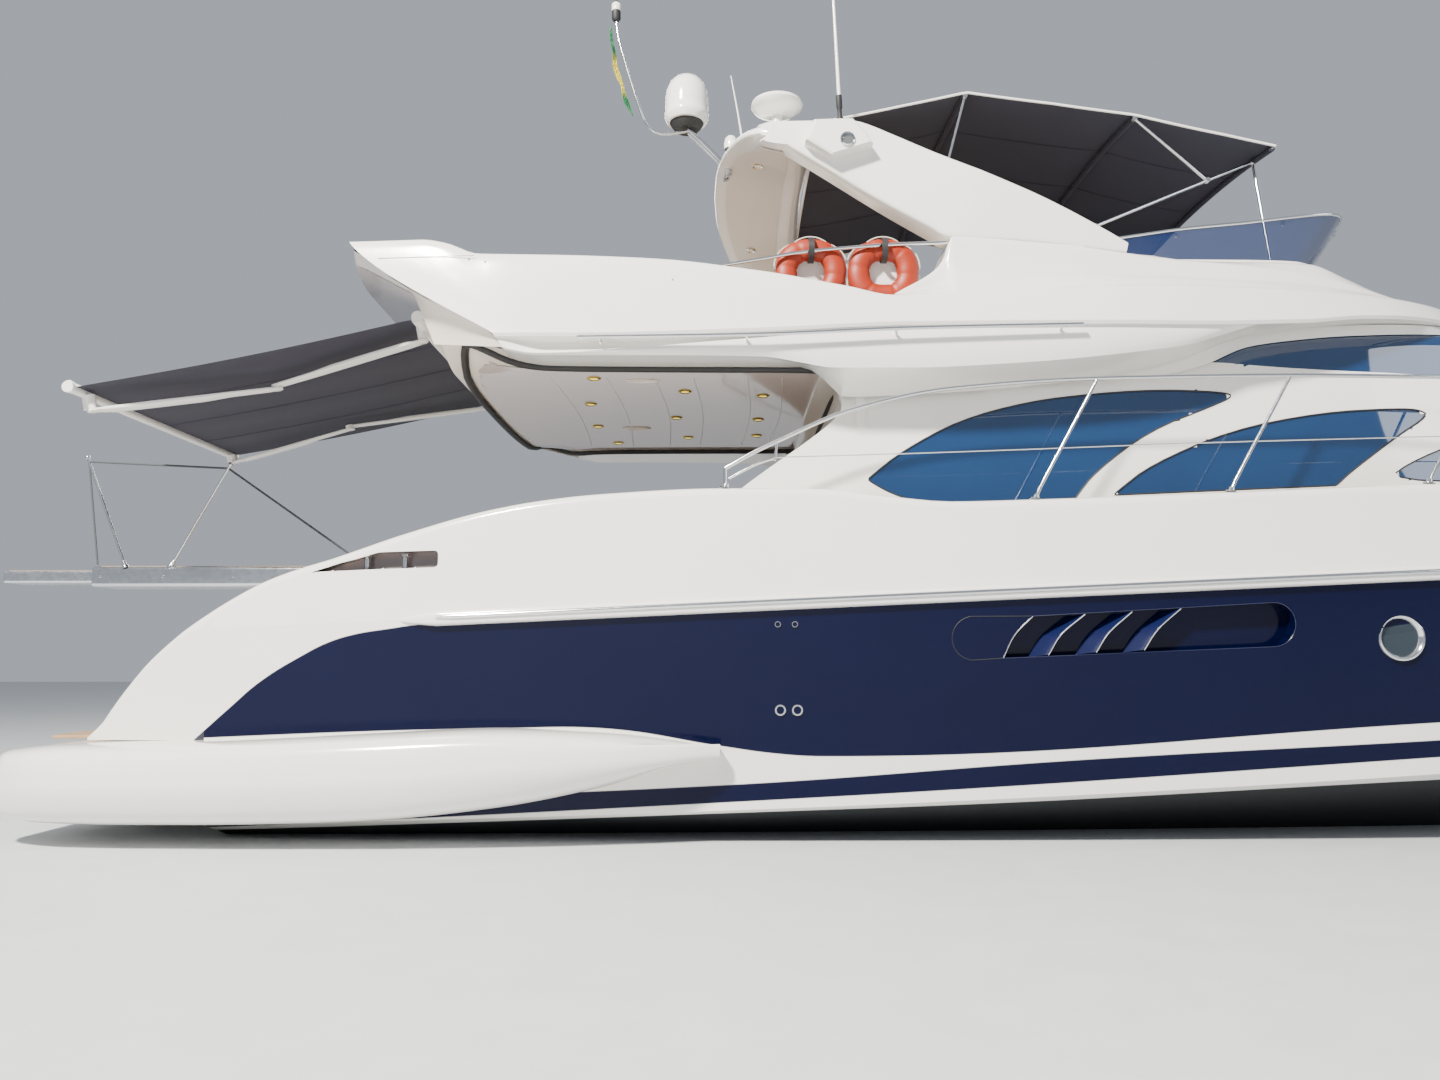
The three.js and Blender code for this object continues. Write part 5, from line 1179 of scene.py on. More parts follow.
BAND_LOW = [(-6.6, 3.98), (-6.3, 3.91), (-6.05, 3.83), (-5.85, 3.8), (-4.88, 3.8), (-4.08, 3.79),
    (-3.75, 3.74), (-3.51, 3.7), (-2.92, 3.7), (-2.03, 3.74), (-0.77, 3.88), (0.03, 4.1),
    (0.87, 4.185), (1.63, 4.21), (2.3, 4.185), (2.9, 3.99)]
BAND_TOP = [(-6.6, 3.99), (-6.3, 3.92), (-6.05, 3.84), (-5.85, 3.81), (-5.47, 3.825), (-4.24, 3.92),
    (-3.14, 4.0), (-1.58, 4.05), (-0.78, 4.06), (0.3, 4.12), (0.87, 4.19), (1.63, 4.225),
    (2.3, 4.2), (2.9, 4.01)]
SOFFIT = [(-6.6, 4.0), (-6.3, 3.93), (-6.0, 3.855), (-5.8, 3.85), (-3.72, 3.85), (-3.55, 3.75),
    (-3.38, 3.56), (-2.61, 3.59), (-1.68, 3.67), (-0.75, 3.82), (0.03, 4.08), (0.87, 4.17),
    (1.63, 4.2), (2.3, 4.17), (2.9, 3.98)]
SOFFIT_HALF = [(-6.6, 2.05), (-6.3, 2.0), (-6.0, 1.86), (-5.8, 1.8), (-3.9, 1.78), (-3.55, 1.86),
    (-3.38, 1.95), (-0.75, 1.955), (0.6, 1.93), (1.6, 1.8), (2.3, 1.4), (2.9, 0.87)]
RIDGE = [(-3.0, 4.345), (-2.89, 4.42), (-2.75, 4.51), (-2.61, 4.62), (-2.53, 4.73), (-2.5, 4.84),
    (-2.46, 4.91), (-2.22, 4.9), (-1.42, 4.83), (-0.73, 4.735), (0.0, 4.68), (0.64, 4.62),
    (1.2, 4.5), (1.57, 4.42), (2.3, 4.34), (2.9, 4.135)]
RIDGE_HALF = [(-3.0, 2.2), (-2.5, 2.03), (-1.42, 2.0), (-0.7, 1.97), (0.0, 1.93), (0.64, 1.86),
    (1.2, 1.78), (1.57, 1.7), (2.3, 1.26), (2.9, 0.73)]
COWL_TOP = [(-3.0, 4.35), (-2.61, 4.63), (-2.46, 4.9), (-1.1, 4.86), (-0.69, 4.83), (-0.5, 4.795),
    (0.64, 4.785), (1.0, 4.66), (1.57, 4.44), (2.3, 4.36), (2.9, 4.15)]
HELM_WELL = (-1.0, -0.25, 1.56)
FLY_DECK = 4.052
COAMING_WIDE = 0.3


def fly_half(x):
    return smooth_line(FLY_PLAN, x)


def eased(x, low, high):
    """0 below low, 1 above high, and 3t^2 - 2t^3 between them."""
    t = np.clip((x - low) / (high - low), 0, 1)
    return t * t * (3 - 2 * t)


def fly_side(x):
    """Outer section from the soffit's inner edge, round the rim, up the band, into the
    recess, over the knuckle and up to the coaming's outer top edge."""
    half, top, knuckle = fly_half(x), smooth_line(COAMING_TOP, x), smooth_line(KNUCKLE, x)
    low, band = smooth_line(BAND_LOW, x), smooth_line(BAND_TOP, x)
    deep = 0.085 * eased(x, -6.18, -5.75) * (1 - eased(x, -2.9, -1.2))
    tall = top - knuckle
    rise = np.maximum(band - low, 0.004)
    rows = [(smooth_line(SOFFIT_HALF, x), smooth_line(SOFFIT, x)),
        (half - 0.22, (low * 2 + smooth_line(SOFFIT, x)) / 3), (half - 0.075, low),
        (half - 0.05, low + 0.25 * rise), (half - 0.036, low + 0.6 * rise), (half - 0.036, band),
        (half - 0.036 - deep * 0.55, band + 0.004), (half - 0.036 - deep,
        band * 0.4 + (knuckle - 0.03) * 0.6), (half - 0.036 - deep * 0.9, knuckle - 0.038),
        (half - 0.012, knuckle - 0.034), (half, knuckle - 0.008), (half - 0.004, knuckle + 0.012),
        (half - 0.03, knuckle + tall * 0.3), (half - 0.06, knuckle + tall * 0.62),
        (half - 0.088, knuckle + tall * 0.86), (half - 0.11, top - tall * 0.035),
        (half - 0.145, top)]
    return ribs(*rows)


def with_station(x, rows):
    """A grid from stations and their (y, z) rows."""
    return np.concatenate([np.broadcast_to(x[..., None, None], (*rows.shape[:-1], 1)), rows],
        axis=-1)


def raked(section, stations_aft, fore):
    """Stations of a section whose after end lies along the rake: each point is worked out at
    x = rake(z) + t (fore - rake(z)), settled in a few turns."""
    t = (stations_aft - stations_aft[0]) / (stations_aft[-1] - stations_aft[0])
    x = stations_aft[:, None] + 0 * section(stations_aft)[..., 0]
    for _ in range(6):
        rows = section(x.ravel()).reshape(*x.shape, -1, 2)
        own = rows[:, np.arange(x.shape[1]), np.arange(x.shape[1])]
        start = straight_line(RAKE, own[..., 1])
        x = start + t[:, None] * (fore - start)
    return np.concatenate([x[..., None], own], axis=-1)


def coaming(x):
    """The side with the coaming's flat top and the wall of the well inside it."""
    side = fly_side(x)
    half, top = fly_half(x), smooth_line(COAMING_TOP, x)
    wall = np.where(x < -6.9, WING_HALF, half - COAMING_WIDE - 0.01)
    edge = np.where(x < -6.9, WING_HALF, half - COAMING_WIDE)
    rows = [(edge + 0.02, top), (edge, top - 0.02), (wall, (top + FLY_DECK) / 2),
        (wall, FLY_DECK + 0 * x)]
    return np.concatenate([side, ribs(*rows)], axis=-2)


def cowl(x):
    """The side with the hollow that climbs to the ridge, and the crown inside it."""
    side = fly_side(x)
    half, top = fly_half(x), smooth_line(COAMING_TOP, x)
    ridge, wide = smooth_line(RIDGE, x), smooth_line(RIDGE_HALF, x)
    crown = np.maximum(smooth_line(COWL_TOP, x), ridge + 0.01)
    rows = [(half - 0.165, top + 0.012), (wide + 0.035, top + (ridge - top) * 0.45), (wide, ridge),
        (wide - 0.04, ridge + (crown - ridge) * 0.35), (np.minimum(1.8, wide - 0.1), crown - 0.015),
        (np.minimum(1.7, wide - 0.16), crown)]
    return np.concatenate([side, ribs(*rows)], axis=-2)


def fine_rows(rows, sharp):
    """Rounds the columns apart from those numbered in sharp, which keep their corner."""
    parts, last = [], 0
    for cut in [*sharp, rows.shape[-2] - 1]:
        if cut > last:
            parts.append(rounded(rows[..., last:cut + 1, :], 2)[..., 0 if last == 0 else 1:, :])
        last = cut
    return np.concatenate(parts, axis=-2)


def build_flybridge():
    """Side coamings with their raked after ends, the front cowl, its crown (a parabola across)
    and the helm well's walls; then the panels, ceiling, marks, rails and floor."""
    skin = Skin()
    aft = raked(coaming, np.linspace(FLY_AFT, RAKE_END, 40), RAKE_END)
    fore = stations((RAKE_END, WELL_END, 0.08))
    side = np.concatenate([aft[:-1], with_station(fore, coaming(fore))])
    side = fine_rows(side, (2, 5, 9, 10, 17, 20))
    skin.grid(side)
    rim = side[0]
    middle = (rim[0] + rim[-1]) / 2
    # The raked end faces are beige: painted shade on faces that look aft and down
    ends = Skin().grid([rim, middle + (rim - middle) * 0.5, np.broadcast_to(middle, rim.shape)])
    ends.mirrored().piece("rake_end_faces", BEIGE_LINING_AND_PAINTED_SHADE, outward=False)
    # forward of the well the hollow rises to the ridge and the crown runs across
    x = stations((WELL_END, -2.62, 0.045), (-2.62, -2.44, 0.015), (-2.44, -1.0, 0.06),
        (-1.0, 2.9, 0.07))
    fore = with_station(x, cowl(x))
    fore = fine_rows(fore, (2, 5, 9, 10, 16))
    skin.grid(fore)
    last = fore[-1]
    skin.cap(last)
    edge = fore[:, -1]
    over = x >= HELM_WELL[1] - 0.001
    across = np.linspace(1, 0, 12)[None, :, None]
    lip = edge[over][:, None]
    crown = np.concatenate([np.repeat(lip[..., :1], 12, axis=1), lip[..., 1:2] * across,
        lip[..., 2:] + 0.03 * (1 - across ** 2)], axis=-1)
    skin.grid(crown)
    # rim of the helm well: the crown's edge, then straight down to the floor
    beside = (x > -1.01) & ~over
    beside = np.append(np.flatnonzero(beside), np.flatnonzero(over)[0])
    rim = edge[beside]
    wall = ribs(rim, rim * (1, 0, 1) + (0, HELM_WELL[2], 0), rim * (1, 0, 0)
        + (0, HELM_WELL[2], FLY_DECK))
    skin.grid(wall)
    first = crown[0]
    front = ribs(first, first * (1, 1, 0) + (0, 0, FLY_DECK))
    skin.grid(front, flip=True)
    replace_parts(skin.mirrored().piece("flybridge_shell", GELCOAT, sharp=32.0), "flybridge_moulding")
    build_after_panel()
    build_corner_panels()
    build_ceiling()
    both_sides(side_marks)
    both_sides(side_soffit)
    both_sides(side_handrail)
    floor = Skin()
    x = stations((-6.68, -0.26, 0.2))
    wide = np.where(x < -3.0, fly_half(x) - COAMING_WIDE - 0.02, 1.64)
    wide = np.where(x > -1.0, 1.555, wide)
    y = np.linspace(-1, 1, 9)[None] * wide[:, None]
    deck = joined(np.broadcast_to(x[:, None], y.shape), y, FLY_DECK + 0.006)
    floor.sheet(deck, 0.014)
    floor.piece("flybridge_teak", TEAK)


def build_after_panel():
    """The leaning back panel above the awning, bowed aft in plan, over a sloped fascia; the
    fascia's (x, z) line runs across the boat between the side wings."""
    y = np.linspace(-WING_HALF, WING_HALF, 41)
    bow = smooth_line([(0, 0.23), (1.0, 0.21), (1.5, 0.15), (WING_HALF, 0.0)], np.abs(y))
    share = [(FLY_AFT, 4.785, 1.0), (-7.415, 4.8, 0.9), (-7.2, 4.7, 0.4), (-6.86, 4.545, 0.1),
        (-6.835, 4.5, 0.0), (-6.835, 4.3, 0.0)]
    back = np.array([[(x - b * s, yy, z) for x, z, s in share] for yy, b in zip(y, bow)])
    skin = Skin().grid(rounded(back, 2))
    under = [(FLY_AFT, 4.785, 1.0), (-7.42, 4.752, 0.98), (-7.3, 4.69, 0.75), (-7.05, 4.53, 0.3),
        (-6.955, 4.478, 0.04), (-6.945, FASCIA_TOP, 0.0)]
    low = np.array([[(x - b * s, yy, z) for x, z, s in under] for yy, b in zip(y, bow)])
    skin.grid(rounded(low, 2), flip=True)
    made = skin.piece("after_panel", GELCOAT, outward=False)
    # The inset on the underside takes the ceiling's darker tint: painted shade and reflection on a
    # face that looks aft and down
    gloss = Skin()
    inset = low[3:-3, 1:5] - (0, 0, 0.004)
    gloss.grid(rounded(inset, 2), flip=True)
    gloss.piece("after_panel_underside", CEILING_GLOSS_AND_PAINTED_REFLECTION, outward=False)
    line = [(-6.945, FASCIA_TOP), (-6.92, 4.4), (-6.72, 3.93), (-6.7, 3.865), (-6.66, 3.85)]
    lift = (FASCIA_TOP - ceiling_z(-6.64, y)) / (FASCIA_TOP - CEILING_Z)
    face = np.array([[(x, yy, FASCIA_TOP - (FASCIA_TOP - z) * k) for x, z in line] for yy,
        k in zip(y, lift)])
    fascia = Skin().grid(rounded(face, 2), flip=True)
    inside = [(-6.835, 4.3), (-6.8, 4.25), (-6.66, FLY_DECK)]
    fascia.grid(np.array([[(x, yy, z) for x, z in inside] for yy in y]))
    fascia.piece("after_fascia", GELCOAT, outward=False)
    return made


def build_corner_panels():
    """Ruled panels that close the after corners, from the fascia's side edge to the rake; the
    share s runs from the top of both down to the ceiling's raised corner."""
    s = np.linspace(0, 1, 15)
    z = FASCIA_TOP - (FASCIA_TOP - 3.965) * s
    fascia = joined(straight_line([(3.965, -6.735), (4.4, -6.92), (FASCIA_TOP, -6.945)], z), 2.085,
        z)
    high = 4.5 - (4.5 - 3.86) * s
    x = straight_line(RAKE, high) - 0.003
    outer = joined(x, fly_half(x) - 0.05 - 0.08 * np.clip((high - 3.97) / 0.8, 0, 1), high)
    t = np.linspace(0, 1, 7)[:, None, None]
    panel = Skin().grid(fascia[None] * (1 - t) + outer[None] * t)
    # Their beige is painted shade: the panels look aft and down under the overhang
    panel.mirrored().piece("after_corner_panels", BEIGE_LINING_AND_PAINTED_SHADE, outward=False)


SCREW_HOLES = ((-6.416, 4.6), (-6.283, 4.574), (-4.778, 4.415))


def side_marks(side, word):
    """Thin panel seam near the top of the after corner, and three plugged screw holes."""
    x = np.linspace(-7.16, -6.37, 24)
    y = side * (fly_half(x) - 0.0775)
    seam = Skin().tube(joined(x, y, 4.622), 0.0028, 6)
    for px, pz in SCREW_HOLES:
        knuckle, top = smooth_line(KNUCKLE, px), smooth_line(COAMING_TOP, px)
        share = (pz - knuckle) / (top - knuckle)
        lean = np.interp(share, [0, 0.3, 0.62, 0.86], [0.0, 0.03, 0.06, 0.088])
        seam.lathe([(0, 0.003), (0.008, 0.002), (0.009, -0.006)],
            (px, side * float(fly_half(px) - lean), pz), (0, side, 0.1), 12)
    seam.piece(f"{word}_side_seam", GREY_SEAL)


CEILING_Z = 3.848


def ceiling_z(x, y):
    """Flat, rising outboard of 1.6 m towards the after corners."""
    return CEILING_Z + 0.15 * eased(-x, 5.98, 6.6) * eased(np.abs(y), 1.55, 2.25)


DOWNLIGHTS = [(-5.5, -1.47), (-5.64, -0.52), (-5.68, 0.48), (-4.72, -1.01), (-4.84, 0.07),
    (-4.01, 0.15), (-5.55, 1.35), (-4.75, 1.05), (-4.0, -0.85), (-4.0, 0.95)]
CEILING_OVALS = [(-5.08, -1.4), (-5.28, 0.57)]


def side_soffit(side, word):
    """Closing strip under the band, from the moulding's inner edge in to the house's
    shoulder; it is straight across and hollows slightly along its middle."""
    x = np.linspace(-2.2, 2.3, 60)
    outer = joined(x, smooth_line(SOFFIT_HALF, x) + 0.02, smooth_line(SOFFIT, x) + 0.003)
    inner = joined(x, house_half(x) - 0.12, smooth_line(ROOF, x) - 0.085)
    t = np.linspace(0, 1, 8)[:, None, None]
    strip = outer * (1 - t) + inner * t
    strip[..., 2] += 0.01 * np.sin(np.pi * t[..., 0])
    Skin().grid(strip * (1, side, 1), flip=side > 0).piece(f"{word}_side_soffit", GELCOAT,
        outward=False)


def build_ceiling():
    """Beige margin, a glossy panel 6 mm below it whose warm tint is painted reflection, black piping
    round its edge and lights.
    """
    u, v = np.meshgrid(np.linspace(0, 1, 34), np.linspace(-1, 1, 41), indexing="ij")
    x = -6.69 + u * (6.69 - 3.2)
    wide = straight_line([(-6.7, 2.1), (-6.2, 2.262), (-6.0, 2.19), (-5.85, 1.95), (-5.7, 1.82),
        (-3.2, 1.82)], x)
    y = v * wide
    margin = joined(x, y, ceiling_z(x, y) + 0.002)
    skin = Skin().grid(margin, flip=True)
    skin.piece("ceiling_margin", BEIGE_LINING_AND_PAINTED_SHADE, outward=False)
    outline = rounded_loop([(-6.58, -1.95), (-5.95, -1.72), (-3.55, -1.7), (-3.34, -1.5),
        (-3.34, 1.5), (-3.55, 1.7), (-5.95, 1.72), (-6.58, 1.95)], 2)
    fine_u, fine_v = np.meshgrid(np.linspace(-6.62, -3.3, 60), np.linspace(-2.0, 2.0, 61),
        indexing="ij")
    field = inside_distance(fine_u, fine_v, outline)
    sheet = drawn_to(joined(fine_u, fine_v, ceiling_z(fine_u, fine_v) - 0.004), field)
    sheet[..., 2] = ceiling_z(sheet[..., 0], sheet[..., 1]) - 0.004
    panel = Skin().grid(sheet, keep=cell_mean(field) <= 0, flip=True)
    panel.piece("ceiling_panel", CEILING_GLOSS_AND_PAINTED_REFLECTION, outward=False)
    ring = rounded_loop([(-6.66, 0.0), (-6.64, -1.2), (-6.5, -2.12), (-6.36, -2.16), (-6.02, -1.92),
        (-5.8, -1.83), (-4.6, -1.8), (-3.7, -1.8), (-3.42, -1.72), (-3.36, -1.3), (-3.36, 1.3),
        (-3.42, 1.72), (-3.7, 1.8), (-4.6, 1.8), (-5.8, 1.83), (-6.02, 1.92), (-6.36, 2.16),
        (-6.5, 2.12), (-6.64, 1.2)], 2)
    path = set_at(ring, ceiling_z(ring[:, 0], ring[:, 1]) - 0.012, "z")
    Skin().tube(path, 0.033, 12, closed=True).piece("ceiling_piping", RUBBER)
    lamps, glows = Skin(), Skin()
    for px, py in DOWNLIGHTS:
        z = ceiling_z(px, py) - 0.005
        lamps.lathe([(0.06, 0.004), (0.062, -0.004), (0.048, -0.012), (0.036, -0.006)], (px, py, z),
            sides=24)
        glows.lathe([(0.0, -0.004), (0.036, -0.006)], (px, py, z), sides=24)
    lamps.piece("downlight_rings", BRASS, outward=False)
    glows.piece("downlight_lenses", LIT_LENS, outward=False)
    ovals = Skin()
    for px, py in CEILING_OVALS:
        turn = full_turn(28)
        rings = [joined(px + 0.15 * s * np.cos(turn), py + 0.045 * s * np.sin(turn), 3.842 - d)
            for s, d in ((1.0, 0.0), (0.96, 0.012), (0.7, 0.014), (0.62, 0.004), (0.01, 0.003))]
        ovals.grid(rings, wrap_v=True)
    ovals.piece("ceiling_vents", BEIGE_LINING_AND_PAINTED_SHADE, outward=False)
    seams = Skin()
    for low, high in ((-5.86, -5.38), (-4.96, -4.62), (-4.15, -3.85)):
        y = np.linspace(-1.5, 1.5, 41)
        for sx in (low, high):
            bow = sx + 0.05 * np.cos(y * 1.2)
            seams.tube(joined(bow, y, 3.8435), 0.0035, 4)
    seams.piece("ceiling_seams", BEIGE_LINING_AND_PAINTED_SHADE)


def side_handrail(side, word):
    """A tube beside the flybridge's knuckle, on bent brackets."""
    path = (smooth_path([(-5.52, 2.452, 3.915), (-4.09, 2.462, 3.935), (-2.92, 2.462, 3.985),
        (-1.55, 2.45, 4.02)], 40) * (1, side, 1))
    rail = Skin().tube(path, 0.016, 12)
    for x in (-5.35, -4.2, -3.02, -1.72):
        z = smooth_line([(-5.52, 3.915), (-4.09, 3.935), (-2.92, 3.985), (-1.55, 4.02)], x)
        rail.tube([(x, side * 2.452, z), (x + 0.01, side * 2.41, z - 0.02),
            (x + 0.01, side * 2.37, z - 0.03)], 0.012, 8)
    rail.piece(f"{word}_grab_rail", STAINLESS)


# Deckhouse, glass and doors
ROOF = [(-4.3, 3.848), (-1.34, 3.848), (-0.75, 3.852), (-0.4, 3.92), (0.03, 4.095), (0.4, 4.15),
    (0.87, 4.19), (1.63, 4.215), (2.3, 4.17), (3.0, 3.985), (4.0, 3.67), (4.9, 3.345)]
WINDOWS = {"aft": [(-3.19, 2.87), (-3.165, 2.895), (-2.9, 3.11), (-2.42, 3.37), (-1.84, 3.53),
    (-1.26, 3.6), (-0.8, 3.628), (-0.43, 3.62), (-0.2, 3.6), (-0.15, 3.57), (-0.32, 3.49),
    (-0.86, 3.28), (-1.33, 2.93), (-1.485, 2.735), (-1.5, 2.715), (-1.53, 2.712), (-1.87, 2.69),
    (-2.39, 2.661), (-2.77, 2.676), (-3.0, 2.749), (-3.165, 2.845)],
    "middle": [(-1.19, 2.738), (-1.15, 2.775), (-0.87, 2.99), (-0.2, 3.28), (0.55, 3.43),
    (1.21, 3.47), (1.4, 3.46), (1.47, 3.41), (1.19, 3.24), (0.76, 2.93), (0.655, 2.835),
    (0.63, 2.818), (0.6, 2.814), (-0.3, 2.777), (-1.14, 2.739)],
    "forward": [(1.02, 2.85), (1.33, 3.05), (1.95, 3.27), (2.55, 3.36), (2.85, 3.37), (3.01, 3.33),
    (2.93, 3.21), (2.64, 2.99), (2.5, 2.87)]}
WINDSCREEN = [(-0.44, 3.885), (0.43, 3.8), (1.59, 3.76), (3.2, 3.63), (4.56, 3.39), (5.1, 3.29),
    (5.1, 3.6), (4.0, 3.85), (3.0, 4.3), (2.32, 4.5), (2.29, 4.12), (1.63, 4.18), (0.87, 4.155),
    (0.4, 4.11), (0.03, 4.05), (-0.25, 3.96)]
HOUSE_OUTLINE = [(5.2, 2.0), (-3.15, 2.0), (-3.16, 2.72), (-4.3, 2.72), (-4.22, 2.8), (-3.95, 3.0),
    (-3.72, 3.16), (-3.55, 3.29), (-3.44, 3.39), (-3.395, 3.46), (-3.39, 3.52), (-3.42, 3.64),
    (-3.5, 3.75), (-3.56, 3.86), (-3.56, 4.6), (5.2, 4.6)]
HOUSE_AFT = -3.2
WINDSCREEN_FOOT = 4.62
HOUSE_WALL, GLASS_THICK, GLASS_PROUD = 0.055, 0.012, 0.006
SHOULDER_DROP = 0.19
HOUSE_LEAN = 0.075


def house_side_y(x, z):
    """The deckhouse's side: its half breadth at the deck, less a lean that grows with a power of
    the share of the height up to the shoulder."""
    foot, top = side_deck_z(x) - 0.02, smooth_line(ROOF, x)
    return (house_half(x) - HOUSE_LEAN * np.clip((z - foot) / (top - SHOULDER_DROP - foot), 0,
        1) ** 1.2)


def house_grid():
    """Half shell: the side from the deck up, a rounded shoulder and the crowned roof, over
    stations from the wing's tip to the foot of the windscreen."""
    x = stations((-4.3, -0.6, 0.045), (-0.6, 1.7, 0.04), (1.7, 4.9, 0.045))
    foot, top = side_deck_z(x) - 0.02, smooth_line(ROOF, x)
    share = np.linspace(0, 1, 46)[None]
    z = foot[:, None] + (top - SHOULDER_DROP - foot)[:, None] * share
    side = joined(house_side_y(x[:, None], z), z)
    half = house_half(x)
    corner = ribs((half - HOUSE_LEAN, top - SHOULDER_DROP), (half - 0.105, top - 0.1),
        (half - 0.17, top - 0.035), (half - 0.3, top - 0.008))
    corner = rounded(corner, 2)
    roof = np.linspace(1, 0, 20)[None]
    crown = joined((half - 0.3)[:, None] * roof, (top - 0.008)[:, None] + 0.03 * (1 - roof ** 2))
    rows = np.concatenate([side, corner[:, 1:], crown[:, 1:]], axis=1)
    return with_station(x, rows)


def build_deckhouse():
    """The half shell with cells inside the windows' outlines dropped and the free edges drawn to
    those outlines; each pane is the same surface moved out along its normals."""
    grid = house_grid()
    outlines = {name: rounded_loop(line, 2) for name, line in WINDOWS.items()}
    outlines["windscreen"] = rounded_loop(WINDSCREEN, 2)
    fields = {name: inside_distance(grid[..., 0], grid[..., 2], line) for name,
        line in outlines.items()}
    fields["windscreen"] = np.maximum(fields["windscreen"], grid[..., 0] - WINDSCREEN_FOOT)
    inside = -inside_distance(grid[..., 0], grid[..., 2], rounded_loop(HOUSE_OUTLINE, 1))
    solid = np.minimum.reduce([inside, *fields.values()])
    moved = drawn_to(grid, solid)
    wall = cell_mean(solid) > 0
    shell = Skin().sheet(moved, HOUSE_WALL, keep=wall, flip=True)
    shell.cap(np.concatenate([moved[-1], moved[-1][::-1] * (1, 0, 1) - (0, 0, 0)]))
    shell.mirrored()
    add_bulkhead(shell)
    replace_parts(shell.piece("deckhouse_shell", GELCOAT, sharp=35.0), "deckhouse")
    normal = normals_of(moved)
    glass = moved + normal * GLASS_PROUD
    for side, word in PORT_FIRST:
        for name in WINDOWS:
            pane = Skin().sheet(glass * (1, side, 1), GLASS_THICK,
                keep=cell_mean(fields[name]) <= 0, flip=side > 0)
            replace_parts(pane.piece(f"{word}_{name}_pane", GLASS), f"{word}_{name}_window")
        gaskets = Skin()
        for name in WINDOWS:
            line = outlines[name]
            y = house_side_y(line[:, 0], line[:, 1])
            gaskets.tube(joined(line[:, 0], side * (y - 0.001), line[:, 1]), 0.007, 6, closed=True)
        gaskets.piece(f"{word}_window_gaskets", RUBBER)
    front = Skin().sheet(glass, GLASS_THICK, keep=cell_mean(fields["windscreen"]) <= 0, flip=True)
    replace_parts(front.mirrored().piece("windscreen_pane", GLASS), "windscreen")
    mullions = Skin()
    for y in (-0.62, 0.62):
        x = np.linspace(2.36, 4.62, 24)
        mullions.tube(joined(x, y, smooth_line(ROOF, x) + 0.012), 0.022, 8, flat=0.5)
    mullions.piece("windscreen_mullions", GELCOAT)


def add_bulkhead(skin):
    """After bulkhead: the house's own section filled in, apart from the doorway."""
    y, z = np.meshgrid(np.linspace(-1.98, 1.98, 67), np.linspace(1.66, 3.85, 49), indexing="ij")
    half = np.where(z < 2.5, 1.84, 1.935)
    y = y / 1.98 * half
    door = oblong(-0.9, 0.9, 1.0, 3.69)
    field = inside_distance(y, z, door)
    sheet = joined(HOUSE_AFT, y, z)
    moved = drawn_to(sheet, field)
    skin.sheet(moved, 0.075, keep=cell_mean(field) > 0)


# Door leaves: node, body, place along, breadth from and to, foot and head
DOORS = (("saloon_fixed_door", "hull", -3.171, 0.005, 0.897, 1.665, 3.687),
    ("saloon_sliding_door", "saloon_sliding_door", -3.097, -0.93, 0.03, 1.669, 3.682))
DOOR_RAIL, DOOR_THICK = 0.045, 0.014


def build_doors():
    """Each leaf is a pane in a metal frame; the sliding one has a handle."""
    for name, body, x, low, high, foot, head in DOORS:
        pane = Skin().block(oblong(low + 0.02, high - 0.02, foot + 0.02, head - 0.02), x - 0.004,
            x + 0.004, "x")
        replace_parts(pane.piece(f"{name}_pane", DARK_GLASS, body), name)
        rim = Skin()
        for a, b in (((low, foot), (high, foot + DOOR_RAIL)), ((low, head - DOOR_RAIL),
                (high, head)), ((low, foot), (low + DOOR_RAIL, head)),
                ((high - DOOR_RAIL, foot), (high, head))):
            rim.block(oblong(a[0], b[0], a[1], b[1]), x - DOOR_THICK, x + DOOR_THICK, "x")
        if body != "hull":
            rim.tube(smooth_path([(x - DOOR_THICK, low + 0.07, 2.5), (x - 0.034, low + 0.07, 2.52),
                (x - 0.034, low + 0.07, 2.88), (x - DOOR_THICK, low + 0.07, 2.9)], 20), 0.01, 10)
        rim.piece(f"{name}_frame", STAINLESS, body)


# Radar arch
LEG_LOW = [(-4.08, 5.94), (-3.87, 5.79), (-3.53, 5.575), (-3.0, 5.23), (-2.62, 5.0), (-2.47, 4.915),
    (-1.9, 4.885), (-1.42, 4.84), (-1.0, 4.79)]
LEG_HIGH = [(-3.95, 5.985), (-3.5, 5.995), (-3.17, 5.975), (-2.54, 5.68), (-2.0, 5.44), (-1.7, 5.3),
    (-1.42, 5.15), (-1.15, 4.99), (-0.98, 4.88)]
LEG_INNER, ARCH_HALF = 1.66, 1.9


def arch_legs():
    """Each leg is a rounded slab between the lower and upper lines, its loop given in shares of
    the height and the width; a cheek behind the nook goes down to the deck."""
    low, high = smooth_path(LEG_LOW, 48), smooth_path(LEG_HIGH, 48)
    wide = np.interp(low[:, 0], [-4.1, -3.2, -2.45, -1.0], [1.9, 1.915, 1.985, 1.97])
    loop = [(0.0, 0.16), (0.0, 0.84), (0.02, 0.97), (0.08, 1.0), (0.5, 1.005), (0.92, 1.0),
        (0.985, 0.95), (1.0, 0.84), (1.0, 0.16), (0.95, 0.0), (0.5, 0.0), (0.05, 0.0)]
    rings = []
    for p, q in loop:
        at = low + (high - low) * p
        y = LEG_INNER + (wide - LEG_INNER) * q
        rings.append(joined(at[:, 0], y, at[:, 1]))
    rings = np.stack(rings, axis=1)
    rings = np.concatenate([rings, rings[:, :1]], axis=1)
    rings = rounded(rings, 2)
    skin = Skin().grid(rings)
    skin.cap(rings[0])
    skin.cap(rings[-1], flip=True)
    cheek = rounded_loop([(-2.98, 4.05), (-2.97, 4.38), (-2.75, 4.51), (-2.61, 4.62),
        (-2.515, 4.75), (-2.49, 4.86), (-2.45, 4.93), (-1.0, 4.82), (-1.0, 4.05)], 1)
    return skin.block(cheek, LEG_INNER, 1.97, "y").mirrored()


